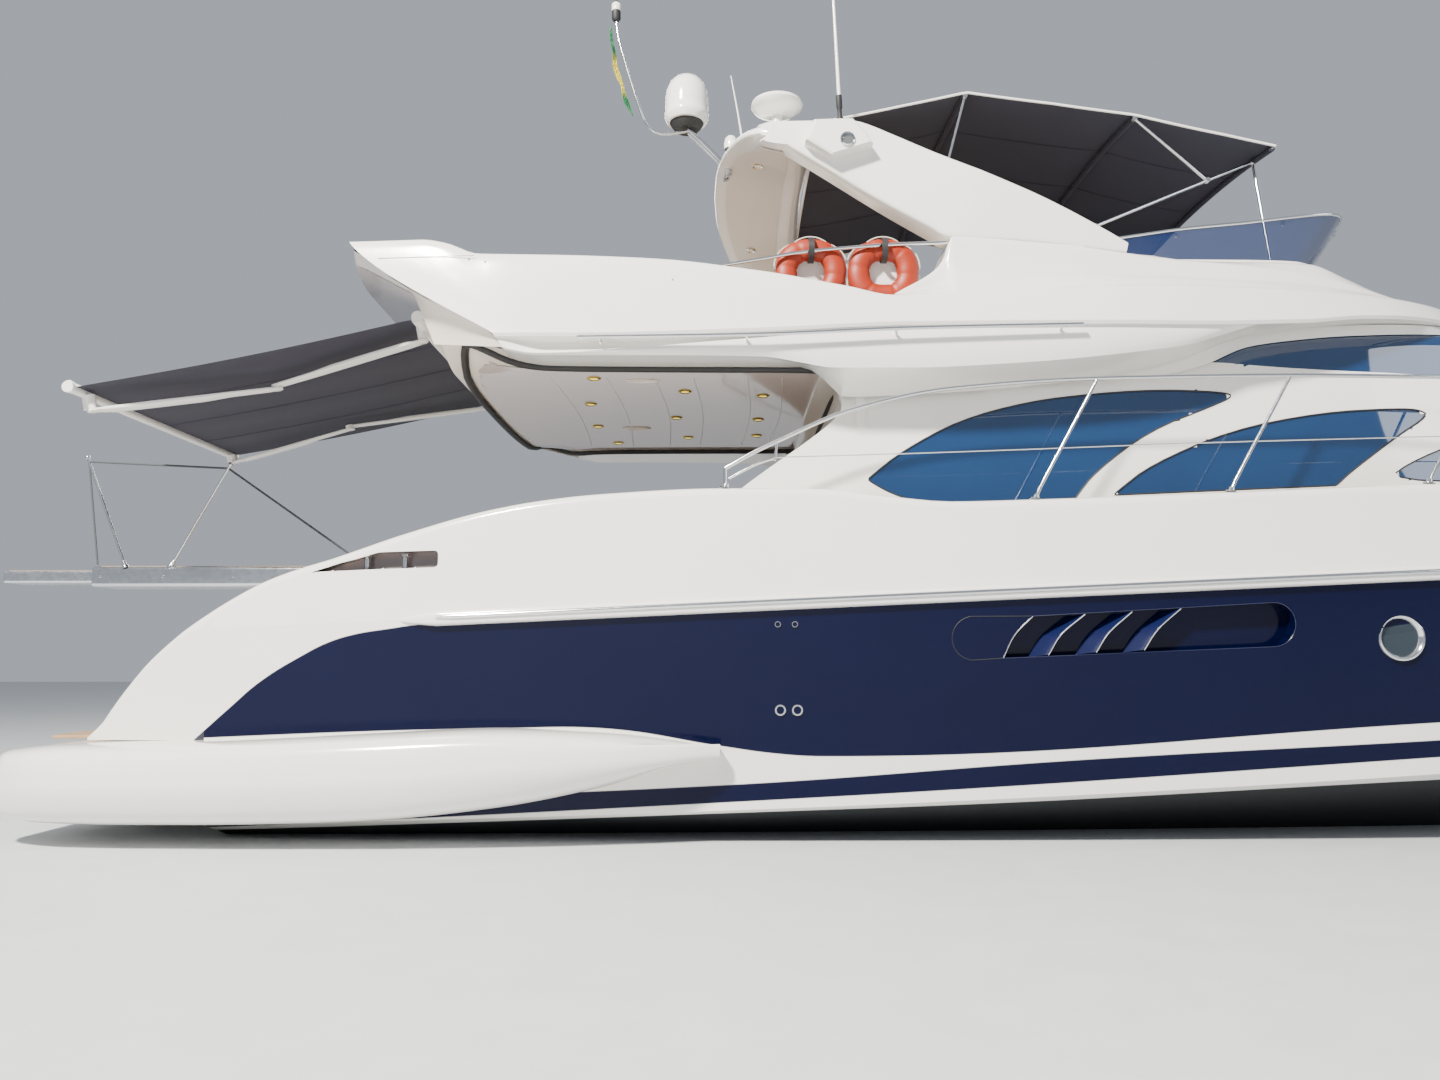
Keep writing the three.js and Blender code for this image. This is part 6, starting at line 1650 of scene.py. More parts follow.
def build_arch():
    """Legs, and a beam between them: a section of (x, z) corners carried across, its rim drawn
    in at the ends and its middle crowned."""
    skin = arch_legs()
    y = np.concatenate([np.linspace(-1.9, -1.5, 12), np.linspace(-1.4, 1.4, 23),
        np.linspace(1.5, 1.9, 12)])
    aft = smooth_line([(0, -4.452), (0.5, -4.435), (0.92, -4.39), (1.38, -4.295), (1.65, -4.215),
        (1.82, -4.14), (1.9, -4.06)], np.abs(y))
    crown = 0.24 * (1 - np.abs(y / ARCH_HALF) ** 2.4)
    under = 0.29 * (1 - np.abs(y / 1.72).clip(0, 1) ** 2.4)
    fore = np.interp(np.abs(y), [0, 1.5, 1.9], [-3.55, -3.5, -3.25])
    rows = [(aft, 5.872 + crown), (aft - 0.008, 5.9 + crown), (aft + 0.04, 5.94 + crown),
        (aft + 0.3, 5.982 + crown), (fore - 0.08, 5.99 + crown), (fore, 5.96 + crown),
        (np.minimum(fore, -3.6), 5.8 + under), (-3.66 + 0 * y, 5.755 + under),
        (-3.74 + 0 * y, 5.762 + under), (-4.05 + 0 * y, 5.8 + (under + crown) / 2),
        (aft + 0.07, 5.848 + crown), (aft + 0.012, 5.862 + crown)]
    rows = [(np.minimum(x, fore), z) for x, z in rows]
    beam = ribs(*((x, y, z) for x, z in rows))
    beam = np.concatenate([beam, beam[:, :1]], axis=1)
    beam = rounded(beam, 2)
    skin.grid(beam)
    skin.cap(beam[0])
    skin.cap(beam[-1], flip=True)
    arch = skin.piece("arch_shell", GELCOAT, sharp=45.0)
    lining = Skin()
    keep_x = [(-4.05 + 0 * y, 5.792 + (under + crown) / 2), (-3.78 + 0 * y, 5.757 + under)]
    strip = [(aft + 0.11, 5.838 + crown), *keep_x]
    panel = ribs(*((x, y, z) for x, z in strip))[4:-4]
    lining.grid(rounded(panel, 2), flip=True)
    lining.piece("arch_lining", BEIGE_LINING_AND_PAINTED_SHADE, outward=False)
    lights, lenses = Skin(), Skin()
    for px, py in ((-4.05, -1.05), (-4.05, 1.05)):
        z = 5.792 + float(np.interp(py, y, (under + crown) / 2))
        lights.lathe([(0.055, 0.01), (0.058, -0.002), (0.046, -0.014), (0.034, -0.006)],
            (px, py, z), sides=24)
        lenses.lathe([(0, -0.004), (0.034, -0.006)], (px, py, z), sides=20)
    lights.piece("arch_lights", STAINLESS, outward=False)
    lenses.piece("arch_lenses", LENS, outward=False)
    both_sides(arch_pod)
    arch_top()
    both_sides(buoy_bar)
    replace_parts(arch, "radar_arch")


POD = [(-3.68, 5.75), (-3.61, 5.93), (-3.28, 5.94), (-3.16, 5.8), (-3.11, 5.72), (-3.46, 5.61)]


def arch_pod(side, word):
    """Six-sided housing: its outline at the leg, straight out, then drawn in by a chamfer."""
    line = np.array(POD)
    middle = line.mean(axis=0)
    levels = [(1.86, 1.0), (2.015, 1.0), (2.035, 0.97), (2.045, 0.9)]
    rings = [set_at(middle + (line - middle) * s, side * y, "y") for y, s in levels]
    pod = Skin().grid(rings, wrap_v=True)
    pod.cap(rings[-1])
    pod.piece(f"{word}_arch_pod", GELCOAT, sharp=25.0)
    eye = (-3.33, side * 2.045, 5.745)
    ring = Skin().lathe([(0.062, -0.01), (0.064, 0.012), (0.052, 0.02), (0.046, 0.008)], eye,
        (0, side, 0), 28)
    ring.piece(f"{word}_pod_ring", STAINLESS)
    glass = Skin().lathe([(0.046, 0.008), (0.03, 0.016), (0, 0.019)], eye, (0, side, 0), 24)
    glass.piece(f"{word}_pod_lens", DARK_GLASS)


def arch_top():
    """Flat radome on its stem, small receiver dome, two whips."""
    gear = Skin()
    stem = (-3.89, -1.5, 5.98)
    gear.lathe([(0.085, 0.0), (0.08, 0.03), (0.052, 0.06), (0.048, 0.25), (0.07, 0.27),
        (0.15, 0.285), (0.215, 0.315), (0.232, 0.345), (0.222, 0.372), (0.16, 0.392), (0, 0.4)],
        stem, sides=40)
    gear.lathe([(0.06, 0.0), (0.062, 0.06), (0.05, 0.105), (0.025, 0.128), (0, 0.134)],
        (-4.3, -1.2, 6.07), sides=24)
    gear.lathe([(0.05, 0.0), (0.05, 0.02), (0.03, 0.035), (0.03, 0.1), (0, 0.105)],
        (-4.2, -1.28, 6.03), sides=16)
    path = smooth_path([(-4.19, -1.28, 6.08), (-4.24, -1.28, 6.4), (-4.3, -1.28, 6.74)], 24)
    gear.tube(path, np.linspace(0.01, 0.004, 24), 8)
    path = smooth_path([(-3.385, -1.95, 6.17), (-3.43, -1.95, 7.2), (-3.48, -1.95, 8.3)], 30)
    gear.tube(path, np.linspace(0.016, 0.006, 30), 10)
    gear.piece("arch_antennas", GELCOAT)
    bands = Skin()
    bands.lathe([(0, 0), (0.03, 0), (0.03, 0.05), (0.02, 0.06), (0.02, 0.13), (0.026, 0.14),
        (0.026, 0.25), (0.0, 0.26)], (-3.378, -1.95, 5.93), (-0.04, 0, 1), 16)
    bands.piece("whip_base", RUBBER)


def buoy_bar(side, word):
    """A smooth tube beside the lifebuoys, its after end bent down."""
    path = (smooth_path([(-4.42, 2.07, 4.633), (-4.057, 2.075, 4.692), (-3.685, 2.075, 4.755),
        (-3.03, 2.07, 4.814), (-2.5, 1.97, 4.875)], 30) * (1, side, 1))
    bar = Skin().tube(path, 0.015, 12)
    bar.tube(smooth_path([(-4.42, side * 2.07, 4.633), (-4.47, side * 2.07, 4.6),
        (-4.48, side * 2.07, 4.54)], 12), 0.015, 12)
    bar.piece(f"{word}_buoy_bar", STAINLESS)


# Bimini, awning, mast and rails
CANOPY_AFT, CANOPY_FORE = -3.53, 0.44
CANOPY_EDGE = [(CANOPY_AFT, 6.075), (-3.31, 6.125), (-2.8, 6.24), (-2.27, 6.345), (-2.23, 6.35),
    (-1.5, 6.262), (-0.79, 6.148), (-0.75, 6.14), (0.0, 5.975), (CANOPY_FORE, 5.862)]
CANOPY_HALF, CANOPY_CROWN, CANOPY_SAG = 1.7, 0.11, 0.035
CANOPY_BOWS = (-2.25, -0.77, 0.425)
BOW_HALF, BOW_BELOW, RAIL_TUBE = 1.68, 0.03, 0.0135


def canopy_z(x, y):
    """Edge line plus a crown across, less a little sag between the bows."""
    sag = 0 * y
    for low, high in zip((CANOPY_AFT, *CANOPY_BOWS[:2]), (*CANOPY_BOWS[:2], CANOPY_FORE)):
        t = np.clip((x - low) / (high - low), 0, 1)
        sag = sag + CANOPY_SAG * np.sin(np.pi * t)
    edge = straight_line(CANOPY_EDGE, x)
    return edge + CANOPY_CROWN * (1 - (y / CANOPY_HALF) ** 2) - sag * (1 - (y / 2.1) ** 2)


def build_bimini():
    """One cloth over its rectangle in plan, at canopy_z; piping along its edge, sleeves and
    tubes at the bows' places, seams along it, and the struts down to the coaming."""
    x, y = np.meshgrid(np.linspace(CANOPY_AFT, CANOPY_FORE, 65),
        np.linspace(-CANOPY_HALF, CANOPY_HALF, 41), indexing="ij")
    cloth = joined(x, y, canopy_z(x, y) - 0.004)
    canopy = Skin().sheet(cloth, 0.003, flip=False).piece("bimini_cloth", CANVAS)
    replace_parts(canopy, "bimini_canopy")
    edge = np.concatenate([cloth[:, 0], cloth[-1, 1:], cloth[::-1, -1][1:], cloth[0, ::-1][1:-1]])
    piping = Skin().tube(edge, 0.011, 8, closed=True)
    trim = piping.piece("bimini_piping", GELCOAT, slot="dark_canvas")
    sleeves = Skin()
    y = np.linspace(-BOW_HALF, BOW_HALF, 49)
    for at in CANOPY_BOWS:
        path = joined(at, y, canopy_z(at, y) - BOW_BELOW)
        sleeves.tube(path, 0.024, 10)
    sleeve = sleeves.piece("bimini_bow_sleeves", CANVAS)
    seams = Skin()
    x = np.linspace(-3.52, 0.43, 80)
    for at in (-0.85, 0.0, 0.85):
        strip = ribs(*((x, at + s, canopy_z(x, at + s) - 0.0095) for s in (-0.016, 0.016)))
        seams.sheet(strip, 0.002)
    seam = seams.piece("bimini_seams", CANVAS)
    tubes = Skin()
    for side in (1, -1):
        edge_y = side * BOW_HALF
        ends = {at: (at, edge_y, canopy_z(at, edge_y) - BOW_BELOW) for at in CANOPY_BOWS}
        foot = (-1.22, side * 1.86, 5.06)
        front = (0.4, side * 1.38, canopy_z(0.4, 1.38) - 0.045)
        knee = tuple((foot[k] + 0.7 * (front[k] - foot[k]) for k in range(3)))
        for path in ([foot, front], [knee, ends[-0.77]], [(-2.45, side * 1.8, 5.62), ends[-2.25]],
                [front, (0.46, side * 1.5, 4.8)]):
            tubes.tube(smooth_path(path, 12), RAIL_TUBE, 12)
            for end in (path[0], path[-1]):
                tubes.lathe([(0, -0.022), (0.021, -0.022), (0.024, 0), (0.021, 0.022), (0, 0.022)],
                    end, (0, 1, 0), 14)
        tubes.lathe([(0, -0.028), (0.019, -0.028), (0.022, 0), (0.019, 0.028), (0, 0.028)], knee,
            (0, 1, 0), 14)
    y = np.linspace(-BOW_HALF, BOW_HALF, 60)
    for at in CANOPY_BOWS:
        tubes.tube(joined(at, y, canopy_z(at, y) - BOW_BELOW), RAIL_TUBE, 10)
    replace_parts(tubes.piece("bimini_tubes", STAINLESS), "bimini_frame")


# Awning, laid out from its roller: along the slope, across, and down through the cloth
ROLLER = np.array((-7.0155, 0.0, 4.35))
DOWN_SLOPE = np.array((-0.97922, 0.0, -0.20278))
THROUGH = np.array((0.20278, 0.0, -0.97922))
ARM_LEVELS = {"port": (0.092, 0.121), "starboard": (0.15, 0.179)}
ARM_Y, ARM_ROOT, ARM_TIP = 1.4, 0.04, 2.973
AWNING_SPAN, AWNING_HALF, AWNING_SEAM = (0.074, 2.998), 1.56, 0.78


def on_awning(along, across, below):
    """The point at these distances from the roller's middle."""
    along, across, below = np.broadcast_arrays(along, across, below)
    return (ROLLER + along[..., None] * DOWN_SLOPE + across[..., None] * ACROSS + below[..., None]
        * THROUGH)


def awning_sag(along, across):
    """Slack of the cloth between roller and bar, with faint ripples across it."""
    return 0.028 * np.sin(np.pi * (along - 0.083) / 2.915) + 0.003 * np.sin(across * 9.0)


def build_awning():
    """The cloth is the plane from roller to bar plus its sag; seams lie under it. Roller and arm
    hubs are profiles turned about their axes, and the bar is one outline carried across."""
    u, v = np.meshgrid(np.linspace(*AWNING_SPAN, 40), np.linspace(-AWNING_HALF, AWNING_HALF, 45),
        indexing="ij")
    sag = awning_sag(u, v)
    sag = np.where((u > 0.1) & (u < 2.97), sag, 0.0)
    cloth = Skin().sheet(on_awning(u, v, sag), 0.003).piece("awning_sheet", CANVAS)
    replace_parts(cloth, "awning_cloth")
    seams = Skin()
    along = np.linspace(0.09, 2.99, 60)
    for at in (-AWNING_SEAM, 0.0, AWNING_SEAM):
        for s in (-1, 1):
            strip = np.stack([on_awning(along, at + w, awning_sag(along, at + w) + 0.0015 + s
                * 0.0025) for w in (-0.014, 0.014)], axis=1)
            seams.sheet(strip, 0.0012)
    seam = seams.piece("awning_seams", CANVAS)
    for piece in (cloth, seam):
        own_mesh(piece)
    roller = Skin()
    roller.lathe([(0, -1.62), (0.052, -1.62), (0.056, -1.61), (0.056, -1.59), (0.066, -1.575),
        (0.066, 1.575), (0.056, 1.59), (0.056, 1.61), (0.052, 1.62), (0, 1.62)], ROLLER, (0, 1, 0),
        32)
    for side, word in PORT_FIRST:
        level = ARM_LEVELS[word][0]
        roller.lathe([(0, 0.02), (0.036, 0.02), (0.036, level - 0.019), (0.02, level - 0.017),
            (0, level - 0.017)], on_awning(ARM_ROOT, side * ARM_Y, 0.0), THROUGH, 24)
    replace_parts(roller.piece("awning_roller", GELCOAT), "awning_cassette")
    bar_section = rounded_loop([(3.0, -0.045), (3.05, -0.05), (3.088, -0.025), (3.09, 0.025),
        (3.055, 0.048), (3.0, 0.045)], 2)
    y = np.array([-1.6, -1.598, 1.598, 1.6])
    rings = [on_awning(bar_section[:, 0], yy, bar_section[:, 1]) for yy in y]
    bar = Skin().capped(rings, flip=True)
    for s in (-1, 1):
        middle = bar_section.mean(axis=0)
        grown = middle + (bar_section - middle) * 1.12
        ends = np.stack([on_awning(grown[:, 0], s * yy, grown[:, 1])
            for yy in (1.585, 1.59, 1.622, 1.628)])
        ends[-1] = ends[-1].mean(axis=0) + (ends[-1] - ends[-1].mean(axis=0)) * 0.93
        bar.grid(ends, wrap_v=True)
        bar.cap(ends[-1])
        bar.cap(ends[0])
    for side, word in PORT_FIRST:
        level = ARM_LEVELS[word][1]
        for a in np.linspace(ARM_TIP, 3.02, 4):
            bar.lathe([(0, 0.036), (0.033, 0.036), (0.033, level - 0.019), (0.02, level - 0.017),
                (0, level - 0.017)], on_awning(a, side * ARM_Y, 0.0), THROUGH, 20)
    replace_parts(bar.piece("awning_bar", GELCOAT, "awning_front_bar"), "awning_front_bar")
    for side, word in PORT_FIRST:
        upper, fore = ARM_LEVELS[word]
        elbow = (1.5065, side * 1.0)
        awning_arm(f"awning_{word}_upper_arm", (ARM_ROOT, side * ARM_Y), elbow, upper, 1)
        awning_arm(f"awning_{word}_forearm", (ARM_TIP, side * ARM_Y), elbow, fore, -1)


def awning_arm(node, end, elbow, level, turn):
    """A bar of rounded section between two round eyes; it is thin near the elbow, where the
    two arms fold over each other, and deeper away from it."""
    end, elbow = np.array(end), np.array(elbow)
    way = elbow - end
    length = np.linalg.norm(way)
    way = way / length
    across = np.array((-way[1], way[0]))
    t = np.array([0.03, 0.06, 0.16, 0.5, length - 0.62, length - 0.4, length - 0.06, length - 0.03])
    tall = np.array([0.011, 0.012, 0.026, 0.028, 0.028, 0.012, 0.012, 0.011])
    broad = 1.35 if "starboard" in node else 1.0
    wide = np.array([0.036, 0.04, 0.046, 0.048, 0.048, 0.046, 0.04, 0.036]) * broad
    turns = full_turn(24)
    cx = np.sign(np.cos(turns)) * np.abs(np.cos(turns)) ** 0.45
    cz = np.sign(np.sin(turns)) * np.abs(np.sin(turns)) ** 0.45
    rings = []
    for ti, h, w in zip(t, tall, wide):
        plan = end + ti * way + across * (w * cx)[:, None]
        thin = cz * turn > 0
        low = level + np.where(thin, 0.0125, h) * cz
        rings.append(on_awning(plan[:, 0], plan[:, 1], low))
    rings = np.stack(rings)
    arm = Skin().capped(rings, flip=True)
    for eye in (end, elbow):
        arm.lathe([(0, -0.0125), (0.044, -0.0125), (0.049, -0.009), (0.049, 0.009), (0.044, 0.0125),
            (0, 0.0125)], on_awning(eye[0], eye[1], level), THROUGH, 28)
    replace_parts(arm.piece(f"{node}_bar", GELCOAT, node), node)


DOME_FOOT = (-4.72, -0.8, 6.5)
STAFF_BESIDE = 0.04


def build_mast():
    """Dome: a profile turned about its axis. Arm: two tubes. Staff: a bent tube with a lamp
    and a rolled flag."""
    x, y, z = DOME_FOOT
    dome = Skin().lathe([(0.0, 0.02), (0.1, 0.015), (0.185, 0.03), (0.2, 0.055), (0.212, 0.085),
        (0.212, 0.12), (0.204, 0.135), (0.206, 0.2), (0.204, 0.28), (0.192, 0.355), (0.16, 0.43),
        (0.11, 0.478), (0.055, 0.503), (0, 0.51)], (x, y, z), sides=48)
    made = dome.piece("satellite_dome", GELCOAT)
    under = Skin().lathe([(0, -0.045), (0.11, -0.045), (0.125, -0.03), (0.15, 0.0), (0.165, 0.028),
        (0.0, 0.03)], (x, y, z), sides=32)
    under.piece("dome_bracket", RUBBER)
    arm = Skin()
    for s in (-0.035, 0.035):
        arm.tube(smooth_path([(-4.3, y + s, 6.02), (-4.45, y + s, 6.2),
            (x + 0.02, y + s, z - 0.05)], 16), 0.02, 12)
        arm.lathe([(0.045, 0), (0.045, 0.012), (0.022, 0.02)], (-4.33, y + s, 5.985),
            (-0.6, 0, 0.8), 18)
    staff = smooth_path([(x + 0.03, y - STAFF_BESIDE, 6.435), (-4.86, y - STAFF_BESIDE, 6.405),
        (-5.0, y - STAFF_BESIDE, 6.415), (-5.1, y - STAFF_BESIDE, 6.5),
        (-5.17, y - STAFF_BESIDE, 6.66), (-5.3, y - STAFF_BESIDE, 7.08),
        (-5.385, y - STAFF_BESIDE, 7.4), (-5.405, y - STAFF_BESIDE, 7.6)], 60)
    arm.tube(staff, 0.0125, 12)
    arm.piece("mast_tubes", STAINLESS)
    top = (-5.405, y - STAFF_BESIDE, 7.56)
    lamp = Skin().lathe([(0, 0.09), (0.043, 0.09), (0.045, 0.1), (0.045, 0.155), (0.036, 0.168),
        (0, 0.17)], top, sides=24)
    lamp.piece("mast_lamp", LENS)
    base = Skin().lathe([(0, -0.01), (0.03, -0.01), (0.043, 0.01), (0.043, 0.09), (0, 0.09)], top,
        sides=24)
    base.lathe([(0, 0.17), (0.034, 0.168), (0.03, 0.185), (0, 0.19)], top, sides=24)
    base.piece("mast_lamp_base", RUBBER)
    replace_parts(made, "satellite_mast")
    build_flag()


def build_flag():
    """Rolled flag tied along the staff: each row across it is a pleated line, whose pleats
    flatten towards the two ties."""
    rows, cols = 70, 41
    line = smooth_path([(-5.415, -0.84, 7.5), (-5.36, -0.84, 7.2), (-5.3, -0.84, 6.95),
        (-5.235, -0.84, 6.72), (-5.2, -0.84, 6.6)], rows)
    u = np.linspace(0, 1, rows)[:, None]
    v = np.linspace(0, 1, cols)[None]
    spread = 0.03 * (0.35 + np.sin(np.pi * u) ** 0.7) * (1 + 0.25 * np.sin(u * 17))
    fold = 0.022 * (0.5 + np.sin(np.pi * u) ** 0.7)
    x = line[:, 0][:, None] - 0.03 - spread * (0.4 + 0.9 * v)
    y = line[:, 1][:, None] + fold * np.sin(v * 21 + 2.2 * np.sin(u * 5))
    z = line[:, 2][:, None] - 0.02 * v + 0.008 * np.sin(u * 23 + v * 5)
    cloth = Skin().sheet(joined(x, y, z), 0.0015)
    flag = cloth.piece("rolled_flag", FLAG, sharp=60.0)


RAIL_TOP = [(-4.36, 2.9), (-4.15, 3.02), (-3.93, 3.125), (-3.38, 3.36), (-2.59, 3.53), (-1.4, 3.61),
    (0.18, 3.63), (1.28, 3.62), (4.0, 3.64), (7.0, 3.69), (9.7, 3.76)]
RAIL_AFT, RAIL_FORE = -4.36, 9.64
STANCHION_LEAN = 0.52
STANCHIONS = (-1.94, -0.42, 1.13, 2.65, 4.15, 5.6, 6.9, 8.0, 8.8)


def rail_y(x):
    return np.maximum(side_breadth(x, bulwark_top(x)) - 0.07, 0.06)


def side_rail(side, word):
    """A top tube over the bulwark's line, stanchions that lean forward by an equal step, and a
    wire at half height."""
    x = stations((RAIL_AFT, 9.7, 0.12))
    top = joined(x, side * rail_y(x), smooth_line(RAIL_TOP, x))
    rail = Skin().tube(top, 0.0165, 14)
    first = (RAIL_AFT, side * rail_y(RAIL_AFT))
    rail.tube([(*first, 2.74), (*first, 2.9)], 0.0145, 12)
    last = (RAIL_FORE, side * rail_y(RAIL_FORE))
    rail.tube([(*last, 2.97), (*last, 3.755)], 0.0145, 12)
    feet = [(RAIL_AFT, 2.74), (RAIL_FORE, 2.97)]
    for x0 in STANCHIONS:
        x1 = x0 + STANCHION_LEAN
        foot = np.array((x0, side * rail_y(x0), bulwark_top(x0) + 0.004))
        head = np.array((x1, side * rail_y(x1), smooth_line(RAIL_TOP, x1)))
        path = smooth_path([foot, foot * 0.9 + head * 0.1 + (-0.004, 0, 0.012), head], 12)
        rail.tube(path, RAIL_TUBE, 12)
        feet.append((x0, bulwark_top(x0)))
    for x0, z0 in feet:
        rail.lathe([(0, -0.004), (0.045, -0.004), (0.045, 0.006), (0.026, 0.014), (0.018, 0.04),
            (0.014, 0.042)], (x0, side * rail_y(x0), z0), (0.25, 0, 1), 20)
    # low rail and wire at half height
    low = [(-4.33, 2.82), (-4.12, 2.93), (-3.96, 2.985)]
    rail.tube(smooth_path([(a, side * rail_y(a), z) for a, z in low], 12), 0.011, 10)
    a = (-3.97, side * rail_y(-3.97))
    rail.tube([(*a, 2.96), (a[0] + 0.02, a[1], 3.11)], 0.01, 10)
    x = stations((-3.96, 9.5, 0.15))
    wire = smooth_line([(-3.96, 2.985), (-3.14, 3.005), (-2.04, 3.04), (-0.79, 3.085), (2.0, 3.16),
        (6.0, 3.24), (9.5, 3.34)], x)
    rail.tube(joined(x, side * rail_y(x), wire), 0.0045, 8)
    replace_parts(rail.piece(f"{word}_rail_tubes", STAINLESS), f"{word}_side_rail")


BUOY_Y, BUOY_Z = -1.987, 4.605
STRAP_Z = 4.785


def build_lifebuoys():
    """Each is a ring drawn along a squared oval, with six shallow seams round it; a strap
    loops over the bar."""
    turn = full_turn(96)
    for word, x0 in (("forward", -3.04), ("aft", -3.645)):
        path = joined(x0 + 0.205 * np.sign(np.cos(turn)) * np.abs(np.cos(turn)) ** 0.85, BUOY_Y,
            BUOY_Z + 0.195 * np.sign(np.sin(turn)) * np.abs(np.sin(turn)) ** 0.85)
        seam = np.abs(np.cos(3 * turn + 0.4)) ** 24
        out = joined(np.cos(turn), 0 * turn, np.sin(turn))
        section = full_turn(28)
        wide = (0.093 - 0.006 * seam)[:, None, None]
        deep = (0.068 - 0.006 * seam)[:, None, None]
        rings = (path[:, None] + wide * np.cos(section)[None, :, None] * out[:, None] + deep
            * np.sin(section)[None, :, None] * ACROSS)
        ring = Skin().grid(rings, wrap_u=True, wrap_v=True)
        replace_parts(ring.piece(f"{word}_buoy_ring", ORANGE, sharp=60.0), f"{word}_lifebuoy")
        strap = Skin()
        loop = full_turn(28)
        around = np.stack([joined(x0 + s, -2.02 + 0.105 * np.cos(loop),
            STRAP_Z + 0.105 * np.sin(loop)) for s in (-0.024, 0.024)])
        inner = (around - (0, -2.02, STRAP_Z)) * (1, 0.93, 0.94) + (0, -2.02, STRAP_Z)
        strap.grid(around, wrap_v=True)
        strap.grid(inner, wrap_v=True, flip=True)
        for k in (0, 1):
            strap.grid([around[k], inner[k]], wrap_v=True, flip=k == 0)
        strap.piece(f"{word}_buoy_strap", RUBBER)
        board = Skin().lathe([(0, 0), (0.135, 0), (0.14, 0.004), (0.135, 0.012), (0, 0.012)],
            (x0, -1.915, 4.6), (0, -1, 0), 40)
        board.piece(f"{word}_buoy_board", GELCOAT)
        rope = Skin()
        for k in range(6):
            at = np.linspace(k * 60 + 4, k * 60 + 56, 16) * math.pi / 180
            bow = 0.302 + 0.018 * np.sin(np.linspace(0, np.pi, 16))
            rope.tube(joined(x0 + bow * np.cos(at), BUOY_Y, BUOY_Z + (bow - 0.008) * np.sin(at)),
                0.0055, 8)
        rope.piece(f"{word}_buoy_line", ROPE)


def build_fly_screen():
    """Tinted sheet: its plan is a straight side, a rounded corner and a bowed front; it
    leans out from the foot on the cowl to a rim that rises forward."""
    foot = np.array([(-0.9, -1.72), (-0.3, -1.73), (0.35, -1.72), (0.66, -1.66), (0.8, -1.45),
        (0.95, -0.9), (1.04, -0.3), (1.05, 0.0)])
    rim = np.array([(-1.0, -1.76), (-0.35, -1.8), (0.5, -1.81), (0.9, -1.75), (1.06, -1.52),
        (1.24, -0.95), (1.34, -0.3), (1.35, 0.0)])
    full = [np.concatenate([line, line[-2::-1] * (1, -1)]) for line in (foot, rim)]
    foot, rim = (smooth_path(line, 90) for line in full)
    z0 = smooth_line(COWL_TOP, foot[:, 0]) + 0.005
    z0 = np.where(foot[:, 0] > 0.64, 4.79 - 0.05 * (foot[:, 0] - 0.64), z0)
    z1 = straight_line([(-1.0, 4.99), (-0.45, 5.06), (0.07, 5.105), (0.85, 5.2), (1.4, 5.24)],
        rim[:, 0])
    t = np.linspace(0, 1, 9)[None, :, None]
    low = set_at(foot, z0, "z")[:, None]
    high = set_at(rim, z1, "z")[:, None]
    sheet = low + (high - low) * t
    sheet[..., 0] += 0.006 * np.sin(np.pi * t[..., 0])
    pane = Skin().sheet(sheet, 0.01)
    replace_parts(pane.piece("fly_screen_sheet", ACRYLIC), "flybridge_windscreen")
    rail = Skin().tube(set_at(rim, z1 + 0.006, "z"), 0.0125, 12)
    for k in (0, -1):
        rail.tube([(*rim[k], z1[k]), (*foot[k], z0[k])], 0.0125, 12)
    for k in range(6, 90, 11):
        rail.lathe(oblong(0, 0.02, -0.012, 0.012), (*rim[k] * 0.985, z1[k] - 0.035), (0.2, 1, 0),
            14)
    rail.piece("fly_screen_rim", STAINLESS)
    strip = Skin().tube(set_at(foot, z0 + 0.004, "z"), 0.016, 10)
    strip.piece("fly_screen_seal", GELCOAT)


# Stern between the wings
STERN_LINE = [(0.7815, -8.9), (1.66, -8.462)]
DOOR_HALF, DOOR_LOW, DOOR_HIGH = 1.13, 0.8, 1.47
SOLE_Z = 1.66
STEPS, STEP_RUN = 4, 0.19


def stern_x(z):
    return straight_line(STERN_LINE, z)


def build_stern():
    """Sloping front with the garage's mouth cut in it, and a flight of four steps on each
    side, whose outline is carried across and whose treads are teak."""
    y, z = np.meshgrid(np.linspace(-1.24, 1.24, 71), np.linspace(STERN_LINE[0][0], SOLE_Z, 33),
        indexing="ij")
    mouth = softened(oblong(-1.138, 1.138, 0.792, 1.478), 0.06)
    field = inside_distance(y, z, mouth)
    moved = drawn_to(joined(stern_x(z), y, z), field)
    front = Skin().sheet(moved, 0.055, keep=cell_mean(field) > 0, flip=True)
    rise = (SOLE_Z - PLATFORM_TOP) / STEPS
    steps = [(-8.405, PLATFORM_TOP), (-8.405, SOLE_Z)]
    for i in range(STEPS):
        x = STERN_LINE[1][1] - STEP_RUN * i
        steps += [(x, SOLE_Z - rise * i), (x + 0.012, SOLE_Z - rise * (i + 1))]
    outline = softened(steps, 0.02)
    front.slab(oblong(-8.47, -8.405, -1.24, 1.24), 1.63, SOLE_Z, "z", 0.008)
    for side in (1, -1):
        front.slab(outline, side * 1.225, side * 1.838, "y", 0.01)
    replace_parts(front.piece("stern_moulding", GELCOAT, sharp=35.0), "stern_steps")
    treads = Skin()
    for i in range(1, STEPS):
        x, z = STERN_LINE[1][1] - STEP_RUN * i, SOLE_Z - rise * i
        for side in (1, -1):
            pad = softened(oblong(x + 0.025, x + 0.17, side * 1.29, side * 1.78), 0.03)
            treads.slab(pad, z - 0.006, z + 0.007, "z", 0.003)
    treads.piece("stern_step_treads", TEAK)


